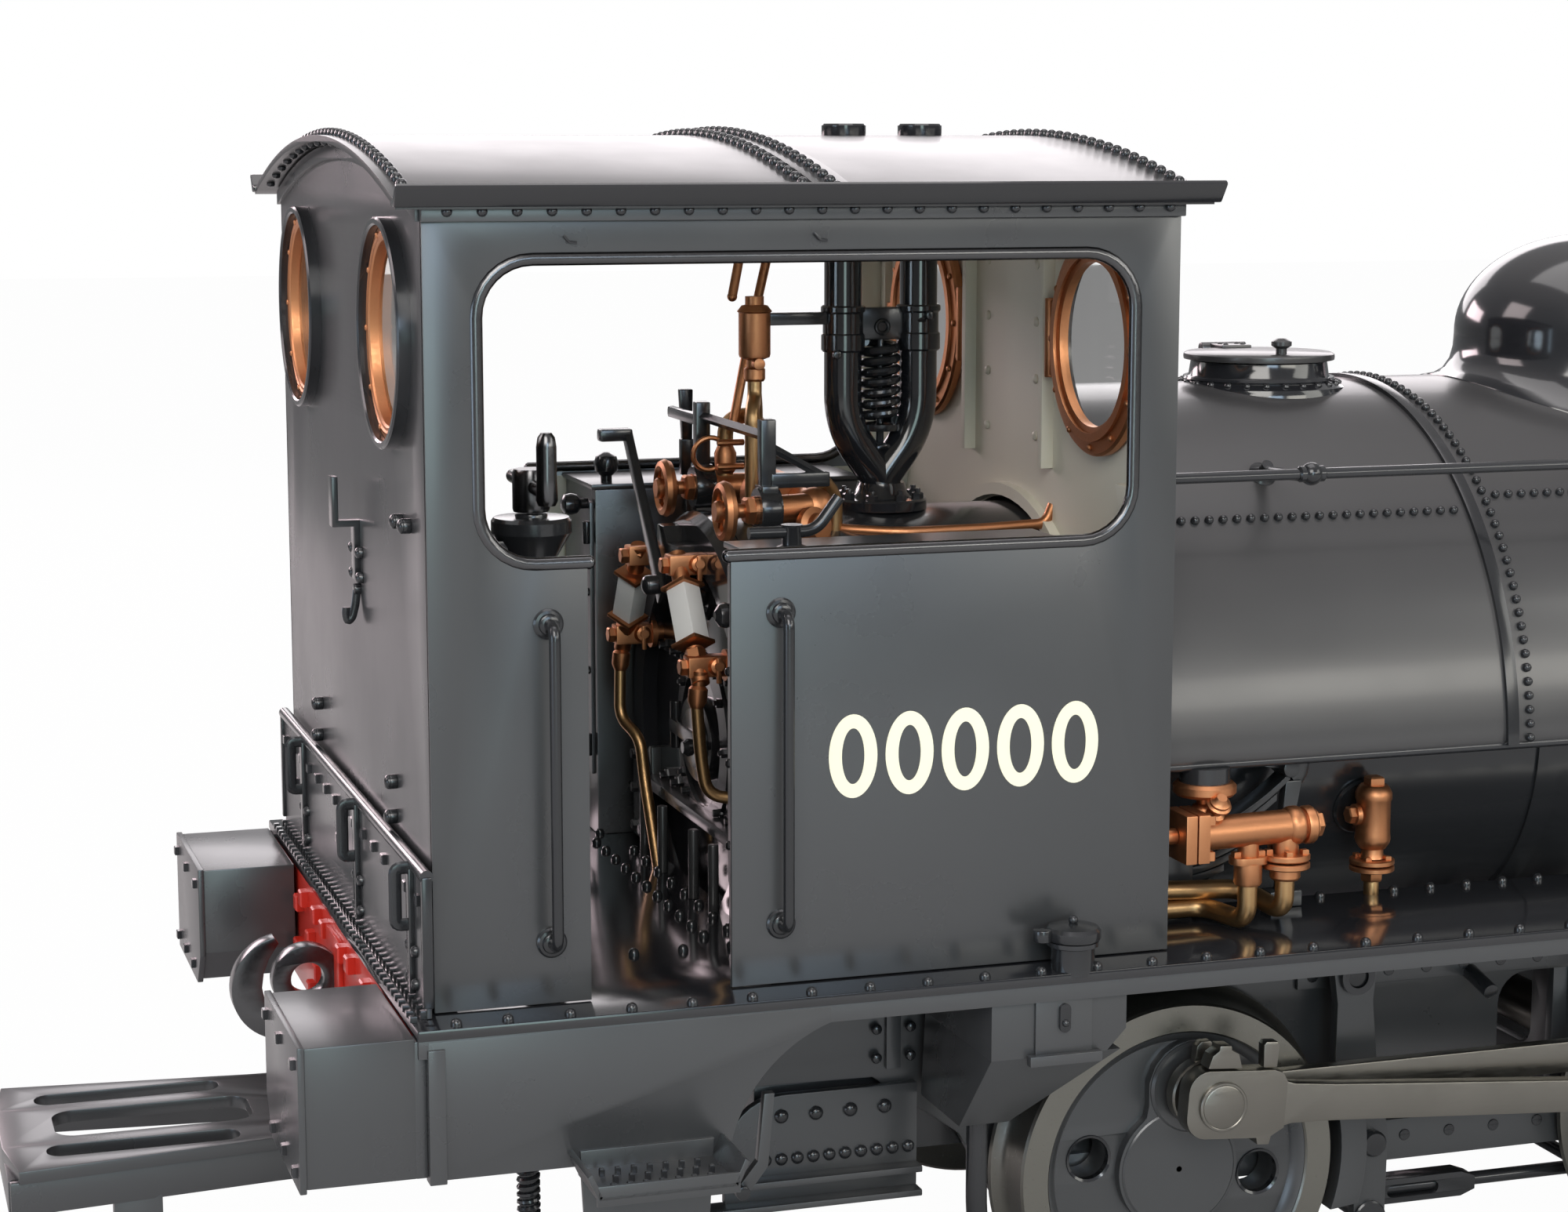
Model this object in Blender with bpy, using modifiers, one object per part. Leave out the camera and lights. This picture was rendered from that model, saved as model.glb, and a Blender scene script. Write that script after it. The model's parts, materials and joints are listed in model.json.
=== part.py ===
"""Live steam saddle-tank shunting engine for five-inch gauge track.

The part's origin lies at rail level, on the centre line, at the middle of the
engine's length.  +X is forwards, +Y is the engine's left side and +Z is up.
The functions below draw in millimetres from the midpoint of the two axles;
build() then stands everything on the part's origin, and MM gives metres.
"""
import math

import bmesh
import bpy
from mathutils import Matrix, Vector

MM = 0.001
GAP = 0.35                      # clearance left between neighbouring pieces
AXLES_AHEAD = 29.4              # the axles' midpoint, ahead of the engine's middle

# Wheels and motion
AXLE_X = 77.6                   # half of the wheelbase
AXLE_Z = 40.9
AXLE_R = 6.5
TREAD_R = 40.9
FLANGE_R = 44.3
WHEEL_OUT = 73.1
WHEEL_IN = 59.5
CRANK = 20.25                   # half of the piston stroke
RIGHT_CRANK_DEG = 80.0
LEFT_CRANK_DEG = 170.0
ROD_LENGTH = 186.0
INCLINE_DEG = 1.8               # the cylinders rise towards the front
CYLINDER_Y = 86.0
CYLINDER_U = 261.0              # middle of the cylinder, along its axis from the rear axle
PISTON_OFFSET = 75.0            # piston centre ahead of the crosshead pin
PIN_R = 3.5
GUIDE = 11.9                    # slide bars, above and below the cylinder's axis
COUPLING_Y = (75.2, 79.6)
CONNECTING_Y = (82.2, 88.6)

# Frames and footplate
FRAME_OUT = 57.5
FRAME_IN = 54.3
FRAME_TOP = 98.6
DECK_TOP = 101.2
DECK_LOW = 99.2
DECK_HALF = 105.0
DECK_REAR = -266.9
DECK_FRONT = 262.0
EDGE_LOW = 95.0
VALANCE_LOW = 68.5
LID_Y = 100.6                   # sand filler necks, outside the cab sides

# Cab
CAB_HALF = 94.0
CAB_REAR = -261.1
CAB_FRONT = -91.8
SHEET = 1.3
ROOF_APEX = 285.2
ROOF_R = 364.0
ROOF_THICK = 1.5
SILL = 196.3

HANDBRAKE_X = -231.0
REVERSER = (-155.5, 58.2)       # the reversing lever's pivot, in x and y

# Boiler and tank
BOILER_Z = 138.0
BOILER_R = 56.0
BACKHEAD_X = -172.0
TANK_R = 85.0
TANK_FRONT = 148.0
SMOKEBOX_R = 60.0
SMOKEBOX = (148.8, 222.0)
DOOR_Z = 146.0
DOOR_R = 42.0
DOOR_HINGE_Y = -46.0
CHIMNEY_X = 186.0
DOME_X = 71.0
FILLER_X = -24.9

# Brakes
HANGER_X = (-28.7, 126.5)
HANGER_Z = 82.8
PULL_ROD_Y = 50.0


def clear_scene():
    for thing in list(bpy.data.objects):
        bpy.data.objects.remove(thing, do_unlink=True)


def new_collection(name):
    group = bpy.data.collections.new(name)
    bpy.context.scene.collection.children.link(group)
    return group


clear_scene()
PARTS = new_collection("live_steam_engine")
CUTTERS = new_collection("cutters")


def paint(name, colour, roughness, metallic):
    """A Principled material."""
    result = bpy.data.materials.new(name)
    result.use_nodes = True
    shader = result.node_tree.nodes["Principled BSDF"]
    shader.inputs["Base Color"].default_value = (*colour, 1.0)
    shader.inputs["Roughness"].default_value = roughness
    shader.inputs["Metallic"].default_value = metallic
    result.diffuse_color = (*colour, 1.0)
    return result


BLACK = paint("satin_black_paint", (0.09, 0.095, 0.1), 0.38, 0.2)
GLOSS = paint("gloss_black_paint", (0.02, 0.02, 0.022), 0.15, 0.2)
RED = paint("buffer_beam_red", (0.7, 0.05, 0.03), 0.4, 0.0)
STEEL = paint("bright_steel", (0.35, 0.34, 0.32), 0.3, 1.0)
COPPER = paint("copper", (0.6, 0.25, 0.12), 0.35, 1.0)
CREAM = paint("cream_paint", (0.75, 0.72, 0.62), 0.5, 0.0)


# ---------------------------------------------------------------- basic shapes

def keep(name, bm):
    """Turn a bmesh in metres into an object among the cutters."""
    bmesh.ops.recalc_face_normals(bm, faces=bm.faces)
    mesh = bpy.data.meshes.new(name)
    bm.to_mesh(mesh)
    bm.free()
    result = bpy.data.objects.new(name, mesh)
    CUTTERS.objects.link(result)
    result.hide_render = True
    result.display_type = "WIRE"
    return result


def bake(source):
    """Replace an object by its evaluated, welded mesh in world space."""
    bpy.context.view_layer.update()
    graph = bpy.context.evaluated_depsgraph_get()
    mesh = bpy.data.meshes.new_from_object(source.evaluated_get(graph))
    bm = bmesh.new()
    bm.from_mesh(mesh)
    bmesh.ops.transform(bm, matrix=source.matrix_world, verts=bm.verts)
    bmesh.ops.remove_doubles(bm, verts=bm.verts, dist=0.00001)
    name = source.name
    bpy.data.meshes.remove(mesh)
    bpy.data.objects.remove(source, do_unlink=True)
    return keep(name, bm)


def block(name, low, high):
    """A box from its two opposite corners."""
    bm = bmesh.new()
    bmesh.ops.create_cube(bm, size=1.0)
    low, high = Vector(low) * MM, Vector(high) * MM
    size = high - low
    bmesh.ops.scale(bm, vec=size, verts=bm.verts)
    bmesh.ops.translate(bm, vec=(low + high) / 2, verts=bm.verts)
    return keep(name, bm)


def bar(name, start, end, radius, sides=10):
    """A round bar or cone from one point to another."""
    start, end = Vector(start) * MM, Vector(end) * MM
    along = end - start
    bm = bmesh.new()
    bmesh.ops.create_cone(
        bm, cap_ends=True, segments=sides, radius1=radius * MM,
        radius2=radius * MM, depth=along.length)
    turn = Vector((0, 0, 1)).rotation_difference(along).to_matrix().to_4x4()
    matrix = Matrix.Translation((start + end) / 2) @ turn
    bmesh.ops.transform(bm, matrix=matrix, verts=bm.verts)
    return keep(name, bm)


PLANES = {
    "XY": Matrix(((1, 0, 0), (0, 1, 0), (0, 0, 1))),
    "XZ": Matrix(((1, 0, 0), (0, 0, -1), (0, 1, 0))),
    "YZ": Matrix(((0, 0, 1), (1, 0, 0), (0, 1, 0))),
}


def sheet(name, plane, outline, low, high, holes=()):
    """A flat plate: an outline in a plane, from low to high across it."""
    curve = bpy.data.curves.new(name, "CURVE")
    curve.dimensions = "2D"
    curve.fill_mode = "BOTH"
    curve.extrude = (high - low) / 2 * MM
    curve.render_resolution_u = 0
    for points in (outline, *holes):
        spline = curve.splines.new("POLY")
        spline.points.add(len(points) - 1)
        for point, (a, b) in zip(spline.points, points):
            point.co = (a * MM, b * MM, 0, 1)
        spline.use_cyclic_u = True
    result = bpy.data.objects.new(name, curve)
    CUTTERS.objects.link(result)
    middle = (low + high) / 2 * MM
    turn = PLANES[plane].to_4x4()
    across = turn @ Vector((0, 0, 1))
    sign = across.x + across.y + across.z
    result.matrix_world = Matrix.Translation(across * middle * sign) @ turn
    return bake(result)


def turned(name, profile, centre=(0, 0, 0), axis=(0, 0, 1), steps=28):
    """A turned shape.  The profile lists (radius, height), top to bottom."""
    mesh = bpy.data.meshes.new(name)
    points = [(r * MM, 0, h * MM) for r, h in profile]
    edges = [(i, i + 1) for i in range(len(points) - 1)]
    mesh.from_pydata(points, edges, [])
    result = bpy.data.objects.new(name, mesh)
    CUTTERS.objects.link(result)
    screw = result.modifiers.new("turn", "SCREW")
    screw.steps = steps
    screw.render_steps = steps
    screw.use_merge_vertices = True
    screw.merge_threshold = 0.00001
    turn = Vector((0, 0, 1)).rotation_difference(Vector(axis)).to_matrix().to_4x4()
    result.matrix_world = Matrix.Translation(Vector(centre) * MM) @ turn
    return bake(result)


def tube(name, points, radius, resolution=1):
    """A round tube or wire along a path."""
    curve = bpy.data.curves.new(name, "CURVE")
    curve.dimensions = "3D"
    curve.bevel_depth = radius * MM
    curve.bevel_resolution = resolution
    curve.use_fill_caps = True
    curve.render_resolution_u = 0
    spline = curve.splines.new("POLY")
    spline.points.add(len(points) - 1)
    for point, place in zip(spline.points, points):
        point.co = (*(Vector(place) * MM), 1)
    result = bpy.data.objects.new(name, curve)
    CUTTERS.objects.link(result)
    return bake(result)


def arc(centre, radius, start, end, steps=8):
    """Points on a circle, from one angle to another in degrees."""
    result = []
    for i in range(steps + 1):
        angle = math.radians(start + (end - start) * i / steps)
        result.append((centre[0] + radius * math.cos(angle), centre[1] + radius * math.sin(angle)))
    return result


def circle(centre, radius, sides=20):
    return arc(centre, radius, 0, 360, sides)[:-1]


def rounded(low, high, radius, steps=4):
    """The outline of a rectangle with round corners."""
    (x0, y0), (x1, y1) = low, high
    corners = (((x1 - radius, y1 - radius), 0), ((x0 + radius, y1 - radius), 90),
               ((x0 + radius, y0 + radius), 180), ((x1 - radius, y0 + radius), 270))
    return [p for centre, start in corners for p in arc(centre, radius, start, start + 90, steps)]


def bend(points, radius, steps=3):
    """Round the inner corners of a path."""
    result = [Vector(points[0])]
    for before, corner, after in zip(points, points[1:], points[2:]):
        corner = Vector(corner)
        back = (Vector(before) - corner).normalized()
        ahead = (Vector(after) - corner).normalized()
        start, end = corner + back * radius, corner + ahead * radius
        for i in range(steps + 1):
            t = i / steps
            result.append(start * (1 - t) ** 2 + corner * 2 * t * (1 - t) + end * t ** 2)
    result.append(Vector(points[-1]))
    return result


def boolean(target, tools, operation):
    for tool in tools:
        step = target.modifiers.new(operation.lower(), "BOOLEAN")
        step.operation = operation
        step.solver = "EXACT"
        step.object = tool
    return target


def join(target, *tools):
    return boolean(target, tools, "UNION")


def cut(target, *tools):
    return boolean(target, tools, "DIFFERENCE")


def mirrored(source, name):
    """A copy on the other side of the centre line."""
    bpy.context.view_layer.update()
    graph = bpy.context.evaluated_depsgraph_get()
    mesh = bpy.data.meshes.new_from_object(source.evaluated_get(graph))
    bm = bmesh.new()
    bm.from_mesh(mesh)
    bmesh.ops.transform(bm, matrix=source.matrix_world, verts=bm.verts)
    bmesh.ops.scale(bm, vec=(1, -1, 1), verts=bm.verts)
    bpy.data.meshes.remove(mesh)
    return keep(name, bm)


def finish(source, name, material, pivot=(0, 0, 0), parent=None, smooth=True):
    """Name a shape, colour it, put its origin on its pivot and file it as a part."""
    pivot = Vector(pivot) * MM
    if not source.modifiers:
        source.data.transform(Matrix.Translation(-pivot))
        source.location = pivot
    else:
        source = bake(source)
        source.data.transform(Matrix.Translation(-pivot))
        source.location = pivot
    source.name = name
    source.data.name = name
    source.data.materials.clear()
    source.data.materials.append(material)
    if smooth:
        source.data.shade_smooth()
        source.data.set_sharp_from_angle(angle=math.radians(35))
    CUTTERS.objects.unlink(source)
    PARTS.objects.link(source)
    source.hide_render = False
    source.display_type = "TEXTURED"
    if parent is not None:
        source.parent = parent
        source.matrix_parent_inverse = parent.matrix_world.inverted()
    return source


def pivot_empty(name, place):
    result = bpy.data.objects.new(name, None)
    result.location = Vector(place) * MM
    PARTS.objects.link(result)
    bpy.context.view_layer.update()
    return result


def roof_height(y):
    """Top of the roof at a distance from the centre line."""
    return ROOF_APEX - (ROOF_R - math.sqrt(ROOF_R ** 2 - y ** 2))


def on_axis(u, w=0.0):
    """World x and z of a point along and above the cylinder's axis."""
    a = math.radians(INCLINE_DEG)
    return (-AXLE_X + u * math.cos(a) - w * math.sin(a), AXLE_Z + u * math.sin(a) + w * math.cos(a))


def crank_pin(degrees, axle=-AXLE_X):
    a = math.radians(degrees)
    return axle + CRANK * math.cos(a), AXLE_Z + CRANK * math.sin(a)


def crosshead_u(degrees):
    """Distance of the crosshead pin from the rear axle for a crank angle."""
    a = math.radians(degrees - INCLINE_DEG)
    return CRANK * math.cos(a) + math.sqrt(ROD_LENGTH ** 2 - (CRANK * math.sin(a)) ** 2)


# ---------------------------------------------------------------- frames

def leaf_spring(name, axle_x, side):
    """A leaf spring with its hangers, above the footplate and beside the boiler.

    The front springs are joined to the footplate, so their feet go into it.
    """
    foot = DECK_TOP + GAP if axle_x < 0 else DECK_TOP - 0.5
    y0, y1 = 60.5, 67.0
    top = [(axle_x + t * 30.0, 121.5 + 13.0 * t * t) for t in [i / 3 - 1 for i in range(7)]]
    under = [(axle_x + 7.0, 108.0), (axle_x - 7.0, 108.0)]
    outline = top + [(axle_x + 29.0, 131.0), (axle_x + 14.0, 118.0)] + under + \
        [(axle_x - 14.0, 118.0), (axle_x - 29.0, 131.0)]
    low, high = (-y1, -y0) if side < 0 else (y0, y1)
    spring = sheet(name, "XZ", outline, low, high)
    pieces = []
    for end in (-1, 1):
        x = axle_x + end * 30.0
        pieces.append(bar("eye", (x, side * (y0 - 0.5), 134.0), (x, side * (y1 + 0.5), 134.0), 2.6, 8))
        pieces.append(block("hanger", (x - 1.3, min(side * 62, side * 65.5), 102.0),
                            (x + 1.3, max(side * 62, side * 65.5), 134.0)))
        pieces.append(block("foot", (x - 3.6, min(side * 61, side * 66.5), foot),
                            (x + 3.6, max(side * 61, side * 66.5), 104.0)))
    pieces.append(block("buckle", (axle_x - 4.5, min(side * 60, side * 67.6), foot),
                        (axle_x + 4.5, max(side * 60, side * 67.6), 124.5)))
    return join(spring, *pieces)


def main_frames():
    outline = [(-258, FRAME_TOP), (-258, 68), (-150, 66), (-128, 50), (-118, 31.7), (118, 31.7),
               (128, 50), (150, 60), (254, 66), (254, FRAME_TOP)]
    window = rounded((-14, 44), (27, 77), 4, 3)
    axle_holes = [circle((x, AXLE_Z), AXLE_R + GAP + 0.2, 12) for x in (-AXLE_X, AXLE_X)]
    right = sheet("frame", "XZ", outline, -FRAME_OUT, -FRAME_IN, [window, *axle_holes])
    brackets = [bar("brake_pin", (x, -FRAME_IN - 1, HANGER_Z), (x, -68.4, HANGER_Z), 2.6, 10)
                for x in HANGER_X]
    rivet_angle = block("joint_angle", (-147, -59.5, 70), (-142, -57, 97))
    join(right, rivet_angle, *brackets)
    finish(mirrored(right, "left"), "main_frame_left", BLACK)
    finish(right, "main_frame_right", BLACK)


def buffer_beams():
    outline = [(-101, 68.2), (101, 68.2), (101, 98.8), (-101, 98.8)]
    slot = [(-3.4, 80), (3.4, 80), (3.4, 92), (-3.4, 92)]
    finish(sheet("beam", "YZ", outline, -266.2, -262.4, [slot]), "rear_buffer_beam", RED)
    finish(sheet("beam", "YZ", outline, 257.6, 261.4, [slot]), "front_buffer_beam", RED)


def motion_plate():
    plate = block("plate", (40, -FRAME_IN + GAP, 42), (43, FRAME_IN - GAP, 80))
    flanges = [block("flange", (36, s * 51 - 1.5, 44), (47, s * 51 + 1.5, 79)) for s in (-1, 1)]
    finish(join(plate, *flanges), "motion_plate", BLACK)


def valance(side):
    """The deep rear plate under the footplate's edge, with its concave arc."""
    outline = [(-264.7, 99.5), (-264.7, VALANCE_LOW)]
    outline += arc((-171.5, 67.5), 27.7, 178, 90, 8)
    outline += [(-171.5, 99.5)]
    low, high = (-105, -103.2) if side < 0 else (103.2, 105)
    rear = sheet("valance", "XZ", outline, low, high)
    strip = block("end_strip", (-264.7, min(low, side * 101.4), 67.8), (-261.2, max(high, side * 105.3), 99.5))
    front = sheet("front_valance", "XZ", [(228, 99.5), (236, 72), (256.5, 70), (256.5, 99.5)], low, high)
    edge_y = sorted((side * 103.7, side * 105.3))
    edge = block("edge", (DECK_REAR + 0.2, edge_y[0], EDGE_LOW), (DECK_FRONT - 0.2, edge_y[1], 100.2))
    return [rear, strip, front, edge]


def step(x0, x1, side, z):
    """Two treads on a backing plate that hangs from the valance."""
    low = z - 32
    treads = []
    for top, depth in ((z, 121.6), (low, 117)):
        y0, y1 = sorted((side * 104.2, side * depth))
        treads.append(block("tread", (x0, y0, top - 2), (x1, y1, top)))
    y2, y3 = sorted((side * 103.4, side * 105.5))
    back = sheet("backing", "XZ", [(x0 + 1, z + 4), (x1 - 1, z + 4), (x1 - 4, low - 1), (x0 + 4, low - 1)], y2, y3)
    return [*treads, back]


def sandbox(side):
    """The hopper under the footplate, its delivery pipe and the filler neck above."""
    y0, y1 = sorted((side * 103.4, side * 60.5))
    upper = block("hopper", (-138.4, y0, 82), (-105.9, y1, 99.6))
    bm = bmesh.new()
    bmesh.ops.create_cube(bm, size=1.0)
    for vert in bm.verts:
        top = vert.co.z > 0
        x = (-138 if vert.co.x < 0 else -106.4) if top else (-138 if vert.co.x < 0 else -127)
        outer = vert.co.y * side > 0
        y = (102.9 if outer else 61) if top else (83 if outer else 61)
        vert.co = Vector((x, side * y, 82.5 if top else 61.5)) * MM
    lower = keep("hopper_foot", bm)
    pipe = tube("sand_pipe", bend([(-132, side * 79, 63), (-132, side * 79, 32), (-124, side * 77, 12)], 8), 2.2)
    neck = bar("neck", (-118, side * LID_Y, 100), (-118, side * LID_Y, 107.6), 4.6, 12)
    return [upper, lower, pipe, neck]


def locker(side):
    """The cupboard beside the firebox in the cab."""
    y0, y1 = sorted((side * 60, side * 91.8))
    return block("locker", (-186, y0, 100), (-113, y1, 194.5))


def footplate():
    outline = [(DECK_REAR, -DECK_HALF), (DECK_FRONT, -DECK_HALF), (DECK_FRONT, DECK_HALF), (DECK_REAR, DECK_HALF)]
    boiler_hole = [(-176, -58), (223, -58), (223, 58), (-176, 58)]
    deck = sheet("deck", "XY", outline, DECK_LOW, DECK_TOP, [boiler_hole])
    extras = []
    for side in (-1, 1):
        extras += valance(side)
        extras += step(-231.5, -202.5, side, 68)
        extras += sandbox(side)
        extras.append(locker(side))
        extras.append(leaf_spring("front_spring", AXLE_X, side))
    column = turned("brake_column", [(0, 203), (7, 203), (6.5, 198), (4.4, 193), (4.4, 104), (6.5, 100), (0, 100)],
                    (HANDBRAKE_X, -60, 0), steps=14)
    screw = bar("brake_screw", (-233.5, -60, 36), (-233.5, -60, 100.5), 2.5, 16)
    guard = block("guard", (-263.4, -97, 100.5), (-262.2, 97, 130.5))
    extras += [column, screw, guard]
    finish(join(deck, *extras), "footplate", BLACK)


def buffers():
    outline = [(59, 99.4), (59, 78), (66, 69), (103, 69), (103, 99.4)]
    for end, x0, x1, plate0, plate1 in (("rear", -291.5, -267.3, -293, -291), ("front", 262.4, 286.6, 286, 288.2)):
        for side, word in ((-1, "right"), (1, "left")):
            flat = [(side * y, z) for y, z in outline]
            wide = [(side * (y + (0.6 if y > 80 else -0.6)), z + (0.4 if z > 80 else -0.6)) for y, z in outline]
            body = sheet("buffer", "YZ", flat, x0, x1)
            face = sheet("buffer_face", "YZ", wide, plate0, plate1)
            finish(join(body, face), end + "_buffer_" + word, BLACK)


def draw_hook(name, x, direction):
    """A coupling hook: shank through the beam, eye, and an upturned horn."""
    def place(points):
        return [(x + direction * a, b) for a, b in points]
    ring = sheet("eye", "XZ", place(circle((-7.5, 85.5), 8.2, 20)), -2.6, 2.6, [place(circle((-7.5, 85.8), 3.9, 14))])
    ends = sorted((x - direction * 2, x + direction * 13))
    shank = block("shank", (ends[0], -2.1, 82.5), (ends[1], 2.1, 88.9))
    outer = arc((-13, 84), 12.4, 280, 100, 12)
    inner = [(-14.4, 95), (-16.6, 91.5), (-18, 88), (-18.4, 84.5), (-17.6, 81), (-15.4, 78.6), (-12.6, 78)]
    horn = sheet("horn", "XZ", place(outer + inner + [(-9, 79.5), (-5.5, 79), (-6.5, 73.5)]), -2.3, 2.3)
    finish(join(ring, shank, horn), name, STEEL)


def towing_frame():
    """The slotted bar frame that links the engine to its driving truck."""
    outline = [(-344, -32.4), (-285, -25.5), (-225, -22), (-225, 22), (-285, 25.5), (-344, 32.4), (-347, 14),
               (-347, -14)]
    slots = [rounded((-337, 17), (-293, 23), 2.9, 3), rounded((-337, -23), (-293, -17), 2.9, 3),
             rounded((-336, -10), (-290, 10), 4, 3)]
    plate = sheet("towing_plate", "XY", outline, 44, 55, slots)
    leg = block("leg", (-323, -28, 28), (-312, -24, 45))
    hanger = block("hanger", (-246, -21, 54), (-226, 21, 58))
    post = block("post", (-240, -10, 58), (-230, 10, FRAME_TOP + 0.1))
    finish(join(plate, leg, hanger, post), "towing_frame", BLACK)


# ---------------------------------------------------------------- wheels and motion

def wheel(name, axle, side, degrees, parent):
    """A disc wheel with tyre, flange, two lightening holes and its crank pin."""
    profile = [(0, WHEEL_OUT), (40.3, WHEEL_OUT), (TREAD_R + 0.2, 63.6), (FLANGE_R, 61.2), (FLANGE_R - 0.6, WHEEL_IN),
               (13, WHEEL_IN), (12, WHEEL_IN - 1.2), (0, WHEEL_IN - 1.2)]
    disc = turned("disc", profile, (axle, 0, AXLE_Z), (0, side, 0), 22)
    x, z = crank_pin(degrees, axle)
    boss = bar("boss", (x, side * 70, z), (x, side * 73.9, z), 9.0, 12)
    pin = bar("crank_pin", (x, side * 72, z), (x, side * 80.1, z), PIN_R, 10)
    holes = []
    for turn in (90, -90):
        a = math.radians(degrees + turn)
        hx, hz = axle + 24 * math.cos(a), AXLE_Z + 24 * math.sin(a)
        holes.append(bar("hole", (hx, side * 55, hz), (hx, side * 78, hz), 5.0, 8))
    bore = bar("bore", (axle, side * 50, AXLE_Z), (axle, side * 71.7, AXLE_Z), AXLE_R + GAP + 0.1, 12)
    join(disc, boss, pin)
    cut(disc, bore, *holes)
    finish(disc, name, STEEL, (axle, 0, AXLE_Z), parent)


def wheelset(end, axle):
    parent = pivot_empty(end + "_wheelset_pivot", (axle, 0, AXLE_Z))
    wheel(end + "_wheel_right", axle, -1, RIGHT_CRANK_DEG, parent)
    wheel(end + "_wheel_left", axle, 1, LEFT_CRANK_DEG, parent)
    shaft = bar("axle", (axle, -71.3, AXLE_Z), (axle, 71.3, AXLE_Z), AXLE_R, 12)
    collar = bar("collar", (axle, -8, AXLE_Z), (axle, 8, AXLE_Z), 10, 12)
    finish(join(shaft, collar), end + "_axle", STEEL, (axle, 0, AXLE_Z), parent)


def coupling_rod(word, side, degrees):
    """The horizontal rod that joins both crank pins."""
    x0, z = crank_pin(degrees, -AXLE_X)
    x1, _ = crank_pin(degrees, AXLE_X)
    low, high = sorted((side * COUPLING_Y[0], side * COUPLING_Y[1]))
    outline = [(x0, z - 4.6), (x1, z - 4.6), (x1, z + 4.6), (x0, z + 4.6)]
    rod = sheet("rod", "XZ", outline, low, high)
    eyes = [bar("eye", (x, low - 0.2, z), (x, high + 0.2, z), 8.0, 14) for x in (x0, x1)]
    oilers = [block("oiler", (x - 2.4, low + 0.6, z + 5), (x + 2.4, high - 0.6, z + 11)) for x in (x0, x1)]
    bores = [bar("bore", (x, low - 2, z), (x, high + 2, z), PIN_R + GAP + 0.1, 10) for x in (x0, x1)]
    join(rod, *eyes, *oilers)
    cut(rod, *bores)
    finish(rod, "coupling_rod_" + word, STEEL, (x0, side * sum(COUPLING_Y) / 2, z))


def connecting_rod(word, side, degrees):
    """The rod from the crosshead to the rear crank pin, with a strapped big end."""
    u = crosshead_u(degrees)
    x1, z1 = on_axis(u)
    x0, z0 = crank_pin(degrees)
    along = Vector((x1 - x0, z1 - z0)).normalized()
    up = Vector((-along.y, along.x))
    low, high = sorted((side * CONNECTING_Y[0], side * CONNECTING_Y[1]))

    def place(points):
        return [tuple(Vector((x0, z0)) + along * a + up * b) for a, b in points]

    middle = [(10, -4.4), (ROD_LENGTH - 5, -3.4), (ROD_LENGTH - 5, 3.4), (10, 4.4)]
    rod = sheet("rod", "XZ", place(middle), low + 1.4, high - 1.4)
    big = sheet("big_end", "XZ", place([(-8.5, -6.5), (-6.5, -8), (13, -8), (17, -5), (17, 5), (13, 8), (-6.5, 8),
                                        (-8.5, 6.5)]), low, high)
    cotter = sheet("cotter", "XZ", place([(9, -11), (12.4, -11), (13, 13), (9, 13)]), low + 2.4, high - 2.4)
    oiler = sheet("oiler", "XZ", place([(-3.5, 7), (3.5, 7), (3.5, 12.5), (-3.5, 12.5)]), low + 1.2, high - 1.2)
    x2, z2 = place([(ROD_LENGTH, 0)])[0]
    small = bar("small_end", (x2, low + 0.6, z2), (x2, high - 0.6, z2), 7.0, 16)
    bore = bar("bore", (x2, low - 2, z2), (x2, high + 2, z2), 3.0 + GAP, 14)
    join(rod, big, cotter, oiler, small)
    cut(rod, bore)
    finish(rod, "connecting_rod_" + word, STEEL, (x2, side * sum(CONNECTING_Y) / 2, z2))


def crosshead(word, side, degrees):
    """Crosshead block with its pin, the piston rod and the piston."""
    u = crosshead_u(degrees)
    inner, outer = sorted((side * 80.6, side * 91.2))

    def point(along, across=CYLINDER_Y):
        x, z = on_axis(u + along)
        return x, side * across, z

    outline = []
    for du, dw in ((-11, -1), (13, -1), (13, 1), (-11, 1)):
        outline.append(on_axis(u + du, dw * (GUIDE - GAP)))
    body = sheet("crosshead", "XZ", outline, inner, outer)
    jaw_y0, jaw_y1 = sorted((side * (CONNECTING_Y[0] - GAP), side * (CONNECTING_Y[1] + GAP)))
    jaw = sheet("jaw", "XZ", [on_axis(u - 14, -14), on_axis(u + 8.2, -14), on_axis(u + 8.2, 14), on_axis(u - 14, 14)],
                jaw_y0, jaw_y1)
    x, z = on_axis(u)
    pin = bar("pin", (x, side * 81, z), (x, side * 91.8, z), 3.0, 14)
    rod = bar("piston_rod", point(11), point(PISTON_OFFSET + 1), 2.7, 12)
    piston = bar("piston", point(PISTON_OFFSET - 4), point(PISTON_OFFSET + 4), 14.0, 18)
    cut(body, jaw)
    join(body, pin, rod, piston)
    finish(body, "crosshead_" + word, STEEL, (x, side * CYLINDER_Y, z))


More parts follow.
